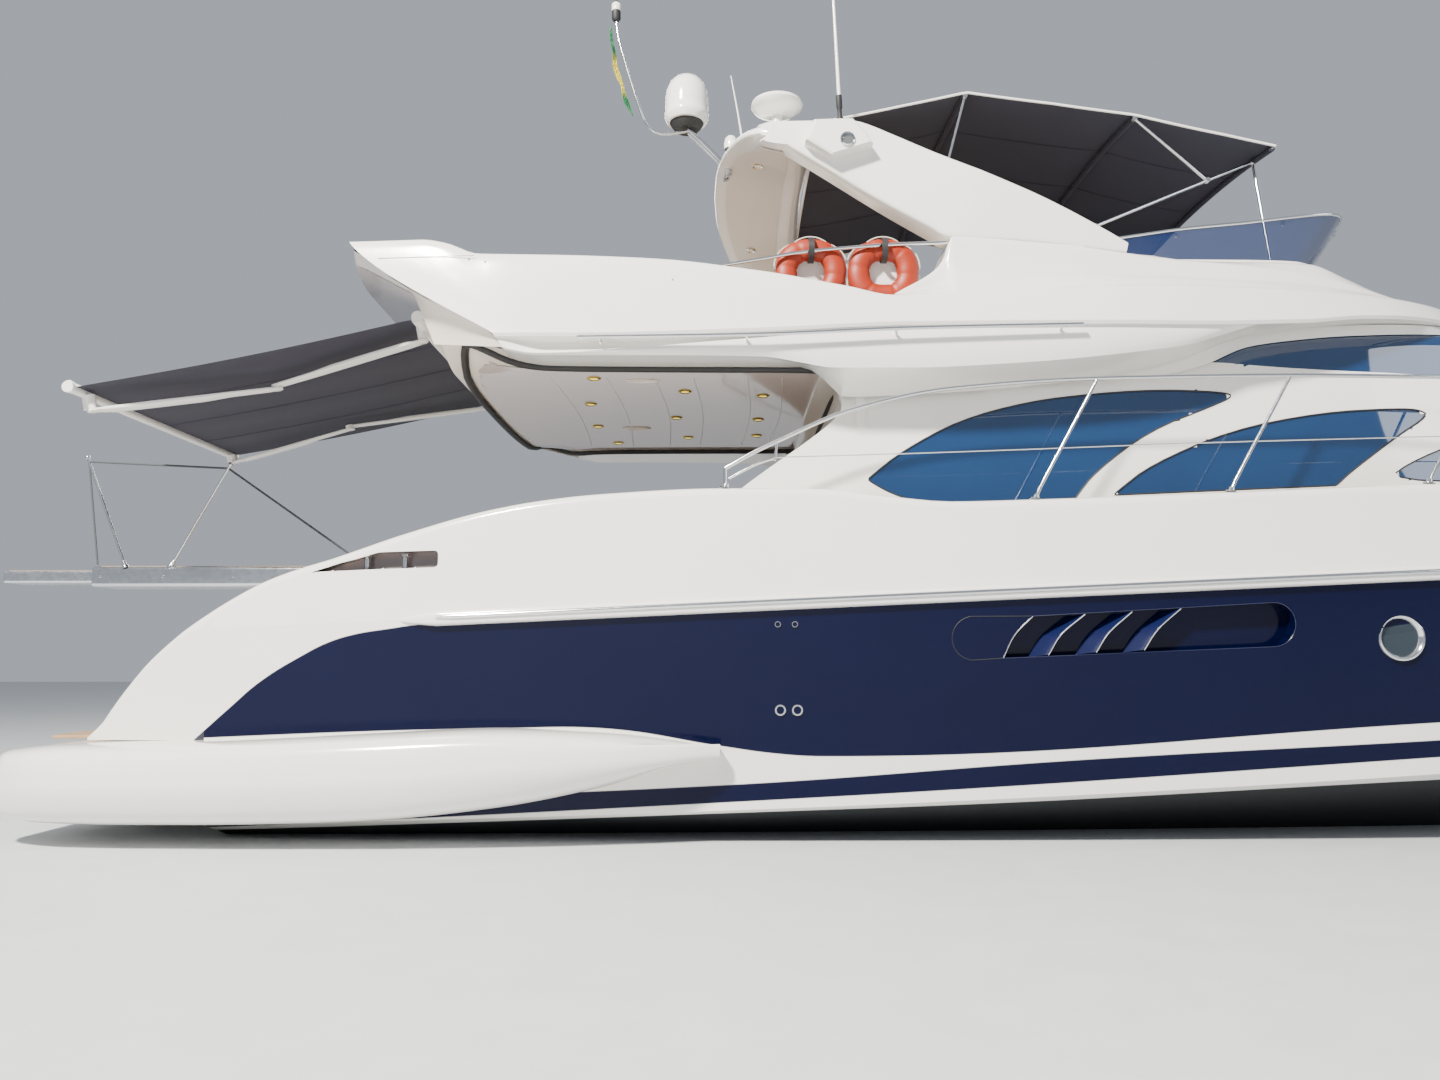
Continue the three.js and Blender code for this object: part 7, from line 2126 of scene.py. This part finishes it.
def build_garage_door():
    """A panel that follows the stern's slope, with a raised field, a seal and a handle."""
    door = Skin()
    levels = ((0.0, 0.05), (0.0, 0.008), (0.006, 0.0), (0.075, 0.0), (0.082, -0.007), (0.1, -0.009))
    rings = []
    for inwards, depth in levels:
        half, low, high = DOOR_HALF - inwards, DOOR_LOW + inwards, DOOR_HIGH - inwards
        ring = even_loop(softened(oblong(-half, half, low, high), 0.06), 96)
        rings.append(joined(stern_x(ring[:, 1]) + depth, ring[:, 0], ring[:, 1]))
    door.capped(rings)
    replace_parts(door.piece("garage_door_panel", GELCOAT, "garage_door", sharp=30.0), "garage_door")
    grip = Skin().tube(smooth_path([(stern_x(0.9) - 0.008, -0.11, 0.9),
        (stern_x(0.9) - 0.035, -0.1, 0.9), (stern_x(0.9) - 0.035, 0.1, 0.9),
        (stern_x(0.9) - 0.008, 0.11, 0.9)], 20), 0.009, 10)
    for y in (-0.8, 0.8):
        grip.lathe([(0, -0.012), (0.03, -0.012), (0.034, 0.0), (0.0, 0.004)],
            (stern_x(1.4), y, 1.4), (-0.9, 0, 0.45), 20)
    grip.piece("garage_door_handle", STAINLESS, "garage_door")


# Seats, tables and helms
def cushion(name, centre, size, along=(1.0, 0, 0), up=(0, 0, 1.0), crown=0.022, pull=0.014,
        material=None):
    """A crowned pad. Its plan outline has sides drawn in between the corners by
    pull (1 - t^2); its section is flat below, swells at half height and rises above to
    crown (1 - s^2.5). Piping follows its upper and lower edges."""
    length, width, thick = size
    half = np.array((length, width)) / 2
    box = oblong(-half[0], half[0], -half[1], half[1])
    ring = even_loop(softened(box, min(length, width) * 0.16), 96)
    share = ring / half
    ring = ring * (1 - pull / half * (1 - np.minimum(share[:, ::-1] ** 2, 1)))
    rows = [(ring * s, 0.0) for s in (0.02, 0.5, 0.8)]
    for inwards, height in ((0.022, 0.0), (0.008, 0.01), (0.002, 0.028), (-0.004, thick / 2),
            (0.002, thick - 0.028), (0.008, thick - 0.01), (0.024, thick)):
        rows.append((ring * (1 - inwards / half), height))
    rows += [(ring * s, thick + crown * (1 - s ** 2.5)) for s in (0.85, 0.65, 0.45, 0.25, 0.02)]
    along, up = (np.array(v, dtype=float) / np.linalg.norm(v) for v in (along, up))
    across = np.cross(up, along)

    def place(plan, height):
        return np.array(centre) + (plan[:, :1] * along + plan[:, 1:] * across + height * up)

    rings = np.stack([place(plan, height) for plan, height in rows])
    pad = Skin().capped(rings)
    for height in (0.01, thick - 0.01):
        pad.tube(place(ring * (1 - 0.005 / half), height), 0.006, 6, closed=True)
    made = pad.piece(name, material or VINYL, slot="upholstery", sharp=60.0)
    return made


def build_cockpit_seats():
    """Moulded bench across the stern with three seat pads and three back pads."""
    base = softened([(-7.5, SOLE_Z + 0.001), (-7.5, 2.255), (-7.465, 2.295), (-7.42, 2.295),
        (-7.395, 2.255), (-7.345, 1.985), (-6.7, 1.97), (-6.68, 1.9), (-6.72, SOLE_Z + 0.001)],
        0.025)
    bench = Skin().slab(base, -1.2, 1.2, "y", 0.02)
    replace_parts(bench.piece("cockpit_bench", GELCOAT), "cockpit_sofa")
    for i, y in enumerate((-0.795, 0.0, 0.795), 1):
        cushion(f"cockpit_seat_pad_{i}", (-7.0, y, 1.978), (0.6, 0.78, 0.11), up=(0.02, 0, 1))
        cushion(f"cockpit_back_pad_{i}", (-7.355, y, 2.155), (0.23, 0.78, 0.085),
            along=(-0.1, 0, 1), up=(1, 0, 0.1), crown=0.03)


def build_saloon():
    """Sofa along the port side and the lower helm, which show through the glass."""
    base = softened([(1.0, SOLE_Z + 0.001), (1.0, 1.97), (1.5, 1.98), (1.62, 2.5), (1.66, 2.545),
        (1.74, 2.545), (1.78, 2.5), (1.78, SOLE_Z + 0.001)], 0.02)
    bench = Skin().slab(base, -2.5, 0.0, "x", 0.02)
    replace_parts(bench.piece("saloon_bench", CREAM_GELCOAT), "saloon_sofa")
    for i, x in enumerate((-2.08, -1.25, -0.42), 1):
        cushion(f"saloon_seat_pad_{i}", (x, 1.27, 1.978), (0.81, 0.5, 0.11), up=(0, -0.02, 1))
        cushion(f"saloon_back_pad_{i}", (x, 1.545, 2.32), (0.81, 0.38, 0.08), up=(0, -1, 0.2),
            crown=0.03)
    desk = softened([(2.15, SOLE_Z + 0.001), (2.1, 2.65), (2.3, 2.9), (3.38, 3.09),
        (3.38, SOLE_Z + 0.001)], 0.04)
    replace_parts(Skin().slab(desk, -1.3, 1.3, "y", 0.03).piece("lower_helm_desk", CREAM_GELCOAT,
        slot="white_gelcoat"), "lower_dashboard")
    instruments("lower_helm", (2.195, -0.95, 2.775), (-0.78, 0, 0.62), 0.56, 0.19)
    helm_wheel("lower_wheel", (2.03, -0.95, 2.84))


def instruments(name, centre, up, width, tall):
    """Dark panel with a display between two pairs of round gauges, flat on a sloping face."""
    up = np.array(up, dtype=float) / np.linalg.norm(up)
    side = ACROSS
    rise = np.cross(side, up)
    rise = rise if rise[2] > 0 else -rise

    def plate(w, t, low, high, at=(0.0, 0.0)):
        ring = softened(oblong(-w, w, -t, t), min(w, t) * 0.2) + at
        rings = [np.array(centre) + ring[:, :1] * side + ring[:, 1:] * rise + h * up
            for h in (low, high)]
        shape = Skin().grid(rings, wrap_v=True)
        shape.cap(rings[0])
        return shape.cap(rings[1])

    plate(width / 2, tall / 2, -0.01, 0.008).piece(f"{name}_panel", RUBBER)
    plate(width * 0.17, tall * 0.36, 0.006, 0.013).piece(f"{name}_display", DARK_GLASS)
    rings, faces = Skin(), Skin()
    for at in (-0.4, -0.27, 0.27, 0.4):
        middle = np.array(centre) + at * width * side + 0.008 * up
        rings.lathe([(0.03, -0.002), (0.034, 0.006), (0.028, 0.009), (0.026, 0.004)], middle, up,
            24)
        faces.lathe([(0.027, 0.004), (0.0, 0.005)], middle, up, 20)
    rings.piece(f"{name}_gauge_rings", STAINLESS, outward=False)
    faces.piece(f"{name}_gauge_faces", LENS, outward=False)


HELM_AXIS = np.array((-0.877583, 0.0, 0.479426))


def helm_wheel(node, centre):
    """Padded rim, three flat spokes and a domed hub, in the plane square to the column."""
    centre = np.array(centre)
    side = ACROSS
    up = np.cross(HELM_AXIS, side)
    turn = full_turn(72)
    rim = centre + 0.185 * (np.cos(turn)[:, None] * side + np.sin(turn)[:, None] * up)
    ring = Skin().tube(rim, 0.0155, 14, closed=True)
    ring.piece(f"{node}_rim", RUBBER, node)
    metal = Skin()
    for k in range(3):
        angle = math.pi / 2 + k * 2 * math.pi / 3
        way = math.cos(angle) * side + math.sin(angle) * up
        metal.tube([centre + 0.03 * way - 0.008 * HELM_AXIS, centre + 0.1 * way - 0.006 * HELM_AXIS,
            centre + 0.178 * way], [0.013, 0.01, 0.009], 12)
    metal.lathe([(0, -0.035), (0.03, -0.035), (0.044, -0.012), (0.043, 0.006), (0.03, 0.018),
        (0, 0.023)], centre, HELM_AXIS, 32)
    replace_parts(metal.piece(f"{node}_hub", STAINLESS, node), node)
    column = Skin().lathe([(0.026, -0.04), (0.028, -0.07), (0.045, -0.11), (0.05, -0.13)], centre,
        HELM_AXIS, 24)
    column.piece(f"{node}_column", RUBBER, outward=False)


def table(node, x0, x1, y0, y1, z0, z1, post):
    """Teak top with a rounded edge and a fiddle round it, on a post with a floor flange."""
    top = even_loop(softened(oblong(x0, x1, y0, y1), 0.09), 80)
    slab = Skin().slab(top, z0, z1, "z", 0.01)
    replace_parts(slab.piece(f"{node}_leaf", TEAK), node)
    edge = inset(top, 0.012)
    rim = set_at(edge, z1 - 0.0005, "z")
    Skin().tube(rim, 0.006, 6, closed=True).piece(f"{node}_fiddle", STAINLESS)
    px, py, floor, radius = post
    leg = Skin().lathe([(0, 0), (0.16, 0), (0.16, 0.008), (radius + 0.03, 0.022), (radius, 0.05),
        (radius, z0 - floor - 0.06), (radius + 0.05, z0 - floor - 0.01),
        (radius + 0.05, z0 - floor), (0, z0 - floor)], (px, py, floor), sides=36)
    leg.piece(f"{node}_post", STAINLESS)


def build_helm_deck():
    """Flybridge helm: console, wheel, bench, sofa round the port quarter and table."""
    console = softened([(-0.64, FLY_DECK), (-0.76, 4.7), (-0.72, 4.78), (-0.56, 4.925),
        (-0.262, 4.93), (-0.262, FLY_DECK)], 0.03)
    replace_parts(Skin().slab(console, -1.3, -0.25, "y", 0.025).piece("helm_console_body", GELCOAT),
        "flybridge_console")
    instruments("flybridge_helm", (-0.655, -0.775, 4.84), (-0.7, 0, 0.71), 0.62, 0.17)
    helm_wheel("flybridge_wheel", (-0.8, -0.775, 4.86))
    base = softened([(-1.75, FLY_DECK), (-1.875, 5.03), (-1.86, 5.075), (-1.81, 5.085),
        (-1.775, 5.05), (-1.665, 4.45), (-1.35, 4.435), (-1.33, 4.38), (-1.36, FLY_DECK)], 0.02)
    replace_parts(Skin().slab(base, -1.25, -0.4, "y", 0.02).piece("helm_bench_body", GELCOAT,
        slot="upholstery"), "flybridge_helm_seat")
    for i, y in enumerate((-1.035, -0.615), 1):
        cushion(f"helm_seat_pad_{i}", (-1.51, y, 4.443), (0.35, 0.4, 0.09), crown=0.02)
        cushion(f"helm_back_pad_{i}", (-1.735, y, 4.8), (0.46, 0.4, 0.07), along=(-0.19, 0, 1),
            up=(1, 0, 0.19), crown=0.025)
    plan = softened([(-5.9, 2.075), (-3.0, 2.075), (-3.0, 1.42), (-5.25, 1.42), (-5.25, 0.3),
        (-5.9, 0.3)], 0.05)
    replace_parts(Skin().slab(plan, FLY_DECK, 4.375, "z", 0.015).piece("flybridge_bench", GELCOAT,
        slot="upholstery"), "flybridge_sofa")
    for i, x in enumerate((-4.79, -4.06, -3.37), 1):
        wide = 0.72 if i < 3 else 0.66
        cushion(f"fly_side_pad_{i}", (x, 1.745, 4.37), (wide, 0.63, 0.1))
    cushion("fly_corner_pad", (-5.54, 1.745, 4.37), (0.7, 0.63, 0.1))
    for i, y in enumerate((0.58, 1.14), 1):
        cushion(f"fly_aft_pad_{i}", (-5.575, y, 4.37), (0.62, 0.54, 0.1))


# Gangway
GANGWAY_Y = 0.175
POST_Y = GANGWAY_Y - 0.205
GANGWAY_LOW, GANGWAY_HIGH = 2.12, 2.32
GANGWAY_FORE, GANGWAY_AFT, STAGE_AFT = -7.8, -10.6, -11.5
# Foot and head of each hand post, as (x, z)
POSTS = (((-10.28, 2.31), (-10.72, 3.4)), ((-9.84, 2.31), (-9.3, 3.33)))


def build_gangway():
    """Outer stage: a box tube with rounded edges, its aft end open. Inner stage: a slab that
    slides in it. Hand posts with turned knobs and a taut rope between them."""
    def section(half, low, high, turn):
        ring = softened(oblong(-half, half, low, high), turn)
        return ring + (GANGWAY_Y, 0)

    outer, inner = section(0.23, GANGWAY_LOW, GANGWAY_HIGH, 0.035), section(0.2, 2.15, 2.29, 0.012)
    rings = [(GANGWAY_FORE, outer), (-10.585, outer), (GANGWAY_AFT, inset(outer, 0.008)),
        (GANGWAY_AFT, inner), (-7.86, inner)]
    rings = [set_at(r, x, "x") for x, r in rings]
    tube = Skin().capped(rings)
    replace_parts(tube.piece("gangway_outer_tube", GANGWAY_METAL, "gangway_outer", sharp=30.0),
        "gangway_outer_stage")
    near, far = GANGWAY_Y - 0.18, GANGWAY_Y + 0.18
    deck = Skin().slab(softened(oblong(-10.56, -7.84, near, far), 0.03), 2.316, 2.327, "z", 0.003)
    deck.piece("gangway_tread", TEAK, "gangway_outer")
    trim = Skin()
    for x in (-10.52, -9.9, -9.2, -8.5, -7.9):
        for side in (-1, 1):
            trim.lathe([(0, 0.0), (0.012, 0.0), (0.012, 0.004), (0, 0.006)],
                (x, GANGWAY_Y + side * 0.2315, 2.22), (0, side, 0), 12)
    tops = []
    for foot, head in POSTS:
        a, b = np.array((foot[0], POST_Y, foot[1])), np.array((head[0], POST_Y, head[1]))
        trim.tube([a, b], RAIL_TUBE, 14)
        way = (b - a) / np.linalg.norm(b - a)
        trim.lathe([(0.014, 0), (0.024, 0.004), (0.026, 0.018), (0.018, 0.034), (0, 0.038)], b, way,
            20)
        trim.lathe([(0.034, -0.01), (0.034, 0.012), (0.022, 0.03), (0.0165, 0.07), (0.0135, 0.075)],
            a, way, 20)
        tops.append(b - 0.03 * way)
    trim.piece("gangway_posts", STAINLESS, "gangway_outer")
    rope = Skin()
    line = [(-10.56, POST_Y, 2.34), tops[0], tops[1], (-7.92, POST_Y, 2.34)]
    for a, b in zip(line[:-1], line[1:]):
        t = np.linspace(0, 1, 40)[:, None]
        rope.tube(np.array(a) * (1 - t) + np.array(b) * t, 0.0105, 8)
    rope.piece("gangway_hand_rope", GREY_ROPE, "gangway_outer")
    stage = section(0.19, 2.16, 2.28, 0.02)
    rings = [(-9.05, stage), (-11.485, stage), (STAGE_AFT, inset(stage, 0.012))]
    rings = [set_at(r, x, "x") for x, r in rings]
    slide = Skin().capped(rings)
    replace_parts(slide.piece("gangway_inner_slide", GANGWAY_METAL, "gangway_inner", sharp=30.0),
        "gangway_inner_stage")
    near, far = GANGWAY_Y - 0.16, GANGWAY_Y + 0.16
    tread = Skin().slab(softened(oblong(-11.47, -9.1, near, far), 0.02), 2.276, 2.285, "z", 0.002)
    tread.piece("gangway_inner_tread", TEAK, "gangway_inner")
    near, far = GANGWAY_Y - 0.25, GANGWAY_Y + 0.25
    foot = Skin().slab(softened(oblong(-7.752, -7.563, near, far), 0.04), SOLE_Z + 0.001, 2.33, "z",
        0.015)
    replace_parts(foot.piece("gangway_foot", GELCOAT), "gangway_base")
    pins = Skin()
    for side in (-1, 1):
        pins.lathe([(0, 0.0), (0.03, 0.0), (0.034, 0.006), (0.02, 0.012), (0, 0.013)],
            (-7.66, GANGWAY_Y + side * 0.25, 2.22), (0, side, 0), 20)
    pins.piece("gangway_foot_bolts", STAINLESS)


# Fore end fittings
def build_hatch():
    """A flattened tube round a rounded oblong, lying on the trunk, and its pane."""
    loop = even_loop(softened(oblong(6.3, 6.9, -0.3, 0.3), 0.07), 80)
    frame_loop = inset(loop, 0.022)
    z = trunk_top(frame_loop[:, 0]) + 0.01
    ring = Skin().tube(set_at(frame_loop, z, "z"), 0.02, 10, closed=True, flat=0.7)
    made = ring.piece("hatch_frame", STAINLESS, "foredeck_hatch")
    inner = inset(loop, 0.03)
    rows = [set_at(inner, trunk_top(inner[:, 0]) + 0.012, "z")]
    pane = Skin().cap(rows[0])
    pane.cap(rows[0] - (0, 0, 0.008), flip=True)
    pane.grid([rows[0], rows[0] - (0, 0, 0.008)], wrap_v=True)
    pane.piece("hatch_pane", GLASS, "foredeck_hatch")
    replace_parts(made, "foredeck_hatch")


def build_sun_pads():
    first = None
    for side, word in PORT_FIRST:
        pad = cushion(f"{word}_sun_pad", (5.6, side * 0.505, trunk_top(5.6) + 0.018),
            (1.09, 0.99, 0.085), along=(1, 0, -0.165), up=(0.165, 0, 1), crown=0.03,
            material=SUN_VINYL)
        first = first or pad
    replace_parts(first, "foredeck_sunpad")


def build_anchor():
    """Plough anchor: a bent shank and two blades, each a sheet from the heel's line to the
    wing's line, both of which end in the tip."""
    shank = softened([(9.55, 3.03), (10.0, 3.045), (10.075, 3.0), (10.105, 2.86), (10.095, 2.76),
        (10.065, 2.76), (10.07, 2.86), (10.035, 2.965), (9.98, 3.0), (9.55, 2.995)], 0.012)
    anchor = Skin().slab(shank, -0.016, 0.016, "y", 0.004)
    t = np.linspace(0, 1, 14)
    for side in (1, -1):
        heel = np.array((10.085, side * 0.012, 2.8))
        wing = np.array((10.02, side * 0.17, 2.9))
        tip = np.array((9.975, 0.0, 2.652))
        edge = heel * (1 - t[:, None]) + tip * t[:, None]
        outer = (wing * (1 - t[:, None]) + tip * t[:, None] + np.sin(np.pi * t)[:, None]
            * np.array((0, side * 0.03, -0.02)))
        anchor.sheet([edge, edge * 0.5 + outer * 0.5 + (0.006, 0, 0), outer], 0.01)
    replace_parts(anchor.piece("anchor_plough", GALVANISED, sharp=30.0), "anchor")


def build_windlass():
    """Windlass on the foredeck, and the roller under the anchor's shank."""
    gear = Skin()
    deck = side_deck_z(8.9)
    gear.lathe([(0, 0), (0.12, 0), (0.12, 0.02), (0.085, 0.035), (0.05, 0.06), (0.055, 0.085),
        (0.08, 0.11), (0.08, 0.125), (0.045, 0.145), (0.04, 0.19), (0.06, 0.215), (0.06, 0.23),
        (0, 0.235)], (8.9, 0.0, deck), sides=36)
    gear.lathe([(0, -0.035), (0.03, -0.035), (0.038, -0.03), (0.022, 0.0), (0.038, 0.03),
        (0.03, 0.035), (0, 0.035)], (9.86, 0.0, 2.965), (0, 1, 0), 24)
    gear.piece("windlass", STAINLESS)


def build_cleats():
    """Two posts and a horn that thins and lifts towards its ends, along the bulwark's slope."""
    cleats = Skin()
    for x in (3.2, 8.2):
        y, z = side_breadth(x, bulwark_top(x)) - 0.105, bulwark_top(x)
        slope = float(bulwark_top(x + 0.05) - bulwark_top(x - 0.05)) / 0.1
        for dx in (-0.045, 0.045):
            cleats.lathe([(0.026, -0.003), (0.022, 0.012), (0.014, 0.03), (0.014, 0.045)],
                (x + dx, y, z + dx * slope), sides=14)
        dx = np.linspace(-0.125, 0.125, 21)
        horn = joined(x + dx, y, z + 0.05 + dx * slope + 0.35 * dx ** 2)
        cleats.tube(horn, 0.006 + 0.009 * np.sqrt(np.clip(1 - (dx / 0.126) ** 2, 0, 1)), 12)
    cleats.mirrored().piece("mooring_cleats", STAINLESS)


def build_lamps():
    """A rounded case and lens on each of the deckhouse's sides."""
    lamps, lenses = Skin(), Skin()
    body = even_loop(softened([(-0.63, 3.885), (-0.5, 3.895), (-0.5, 3.955), (-0.63, 3.945)], 0.02),
        32)
    lamps.slab(body, -2.005, -1.925, "y", 0.012)
    lens = softened([(-0.605, 3.9), (-0.525, 3.906), (-0.525, 3.942), (-0.605, 3.936)], 0.01)
    lenses.slab(lens, -2.018, -2.0, "y", 0.005)
    lamps.mirrored().piece("navigation_lamps", GELCOAT)
    lenses.mirrored().piece("navigation_lenses", RUBBER)


# Below the waterline
SHAFT_WAY = np.array((0.988652, 0.0, 0.150219))
SHAFT_Y = 0.95
PROPELLER_X, PROPELLER_Z, RUDDER_X = -8.0, -0.86025, -8.76
HUB, BLADE_TIP, BLADES = 0.07, 0.366, 4


def running_gear(side, word):
    """Shaft with its strut and boss, four-bladed propeller and rudder. A blade runs from the
    hub at radius r; its chord angle and lead follow a screw of fixed pitch."""
    centre = np.array((PROPELLER_X, side * SHAFT_Y, PROPELLER_Z))
    gear = Skin()
    gear.tube([centre + t * SHAFT_WAY for t in (-0.13, 1.0, 2.725)], 0.037, 24)
    gear.lathe([(0.039, 0.16), (0.056, 0.17), (0.061, 0.22), (0.061, 0.42), (0.05, 0.47),
        (0.039, 0.48)], centre, SHAFT_WAY, 32)
    t = np.linspace(0, 1, 12)
    chord = np.linspace(-1, 1, 17)
    foil = np.concatenate([joined(chord, np.sqrt(1 - chord ** 2)),
        joined(chord[::-1], -np.sqrt(1 - chord ** 2))[1:-1]])
    rings = [joined(-7.62 + 0.075 * foil[:, 0] - 0.02 * s, side * SHAFT_Y + 0.014 * foil[:, 1],
        -0.8 + 0.46 * s) for s in t]
    gear.grid(rings, wrap_v=True)
    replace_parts(gear.piece(f"{word}_shaft_and_strut", STAINLESS), f"{word}_shaft")
    screw = Skin()
    up = np.cross(SHAFT_WAY, (0, 1.0, 0))
    across = ACROSS
    share, radius = np.meshgrid(np.linspace(-1, 1, 15), np.linspace(HUB, BLADE_TIP, 22),
        indexing="ij")
    reach = (radius - HUB) / (BLADE_TIP - HUB)
    spread = ((0.5 + 0.34 * np.sin(np.pi * reach ** 0.8)) * np.sqrt(np.clip(1.02 - reach ** 6, 0.02,
        1)))
    for k in range(BLADES):
        sweep = side * (0.3 * reach ** 2 + spread * share) + k * np.pi / 2
        lead = side * 0.105 * (sweep - k * np.pi / 2)
        blade = (centre + lead[..., None] * SHAFT_WAY + radius[..., None]
            * (np.cos(sweep)[..., None] * across + np.sin(sweep)[..., None] * up))
        screw.sheet(blade, 0.007)
    screw.lathe([(0.0405, 0.105), (0.062, 0.105), (0.078, 0.06), (0.084, 0.0), (0.08, -0.06),
        (0.066, -0.1), (0.0405, -0.105)], centre, SHAFT_WAY, 40)
    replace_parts(screw.piece(f"{word}_screw", BRONZE, f"{word}_propeller", sharp=50.0),
        f"{word}_propeller")
    nut = Skin().lathe([(0, -0.175), (0.02, -0.17), (0.036, -0.15), (0.038, -0.115), (0.0, -0.112)],
        centre, SHAFT_WAY, 24)
    nut.piece(f"{word}_screw_nut", BRONZE, f"{word}_propeller")
    blade = Skin()
    levels = np.linspace(0, 1, 16)
    rings = []
    for s in levels:
        shrink = 1 - 0.1 * s
        thin = 1 - 0.35 * s
        nose = -8.62 - 0.02 * s
        span = 0.42 * shrink
        xs = nose - span * (1 - (foil[:, 0] + 1) / 2)
        bulk = 0.03 * thin * foil[:, 1] * (0.35 + 0.65 * (foil[:, 0] + 1) / 2)
        rings.append(joined(xs, side * SHAFT_Y + bulk, -0.396 - 0.682 * s))
    blade.capped(rings)
    blade.lathe(oblong(0, 0.024, -0.02, 0.065), (RUDDER_X, side * SHAFT_Y, -0.396), sides=24)
    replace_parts(blade.piece(f"{word}_rudder_blade", BRONZE, f"{word}_rudder"), f"{word}_rudder")


# Stage: a pale floor at the waterline and soft light
FLOOR_HALF = 60.0
SKY, SKY_STRENGTH = (0.8, 0.86, 0.95, 1.0), 0.52
AIM = Vector((0.0, 0.0, 2.5))
# Lamps: name, place, breadth, power and colour
LAMPS = (("key", (-13.0, -15.0, 17.0), 2.2, 17500.0, (1.0, 0.955, 0.88)),
    ("fill", (14.0, -12.0, 9.0), 9.0, 900.0, (0.93, 0.96, 1.0)),
    ("back", (-6.0, 16.0, 14.0), 9.0, 1200.0, (1.0, 0.99, 0.97)))


def set_stage():
    """Floor, even sky and three round area lamps aimed at the middle of the boat."""
    half = FLOOR_HALF
    mesh = bpy.data.meshes.new("floor")
    mesh.from_pydata([(-half, -half, 0), (half, -half, 0), (half, half, 0), (-half, half, 0)], [],
        [(0, 1, 2, 3)])
    floor = bpy.data.objects.new("floor", mesh)
    bpy.context.scene.collection.objects.link(floor)
    mesh.materials.append(plain("pale_floor", (0.62, 0.64, 0.66), 0.55, grain=3.0, depth=0.0002,
        strength=0.05))
    world = bpy.data.worlds.new("studio")
    bpy.context.scene.world = world
    world.use_nodes = True
    background = world.node_tree.nodes["Background"]
    background.inputs["Color"].default_value = SKY
    background.inputs["Strength"].default_value = SKY_STRENGTH
    for name, place, size, power, warm in LAMPS:
        lamp = bpy.data.lights.new(name, "AREA")
        lamp.shape = "DISK"
        lamp.size = size
        lamp.energy = power
        lamp.color = warm
        light = bpy.data.objects.new(name, lamp)
        bpy.context.scene.collection.objects.link(light)
        light.location = place
        light.rotation_euler = (AIM - Vector(place)).to_track_quat("-Z", "Y").to_euler()


set_camera()
set_stage()
build_hull()
both_sides(hull_fittings)
build_topsides()
build_foredeck()
both_sides(rub_rails)
build_platform()
build_flybridge()
build_deckhouse()
build_doors()
build_arch()
build_bimini()
build_awning()
build_mast()
both_sides(side_rail)
build_lifebuoys()
build_fly_screen()
build_stern()
build_garage_door()
build_cockpit_seats()
build_saloon()
build_helm_deck()
table("cockpit_table", -6.2, -5.3, -0.75, 0.75, 2.33, 2.375, (-5.75, 0.0, 1.661, 0.06))
table("flybridge_table", -4.4, -3.3, 0.35, 1.15, 4.72, 4.76, (-3.85, 0.75, 4.052, 0.055))
build_gangway()
build_hatch()
build_sun_pads()
build_anchor()
build_windlass()
build_cleats()
build_lamps()
both_sides(running_gear)
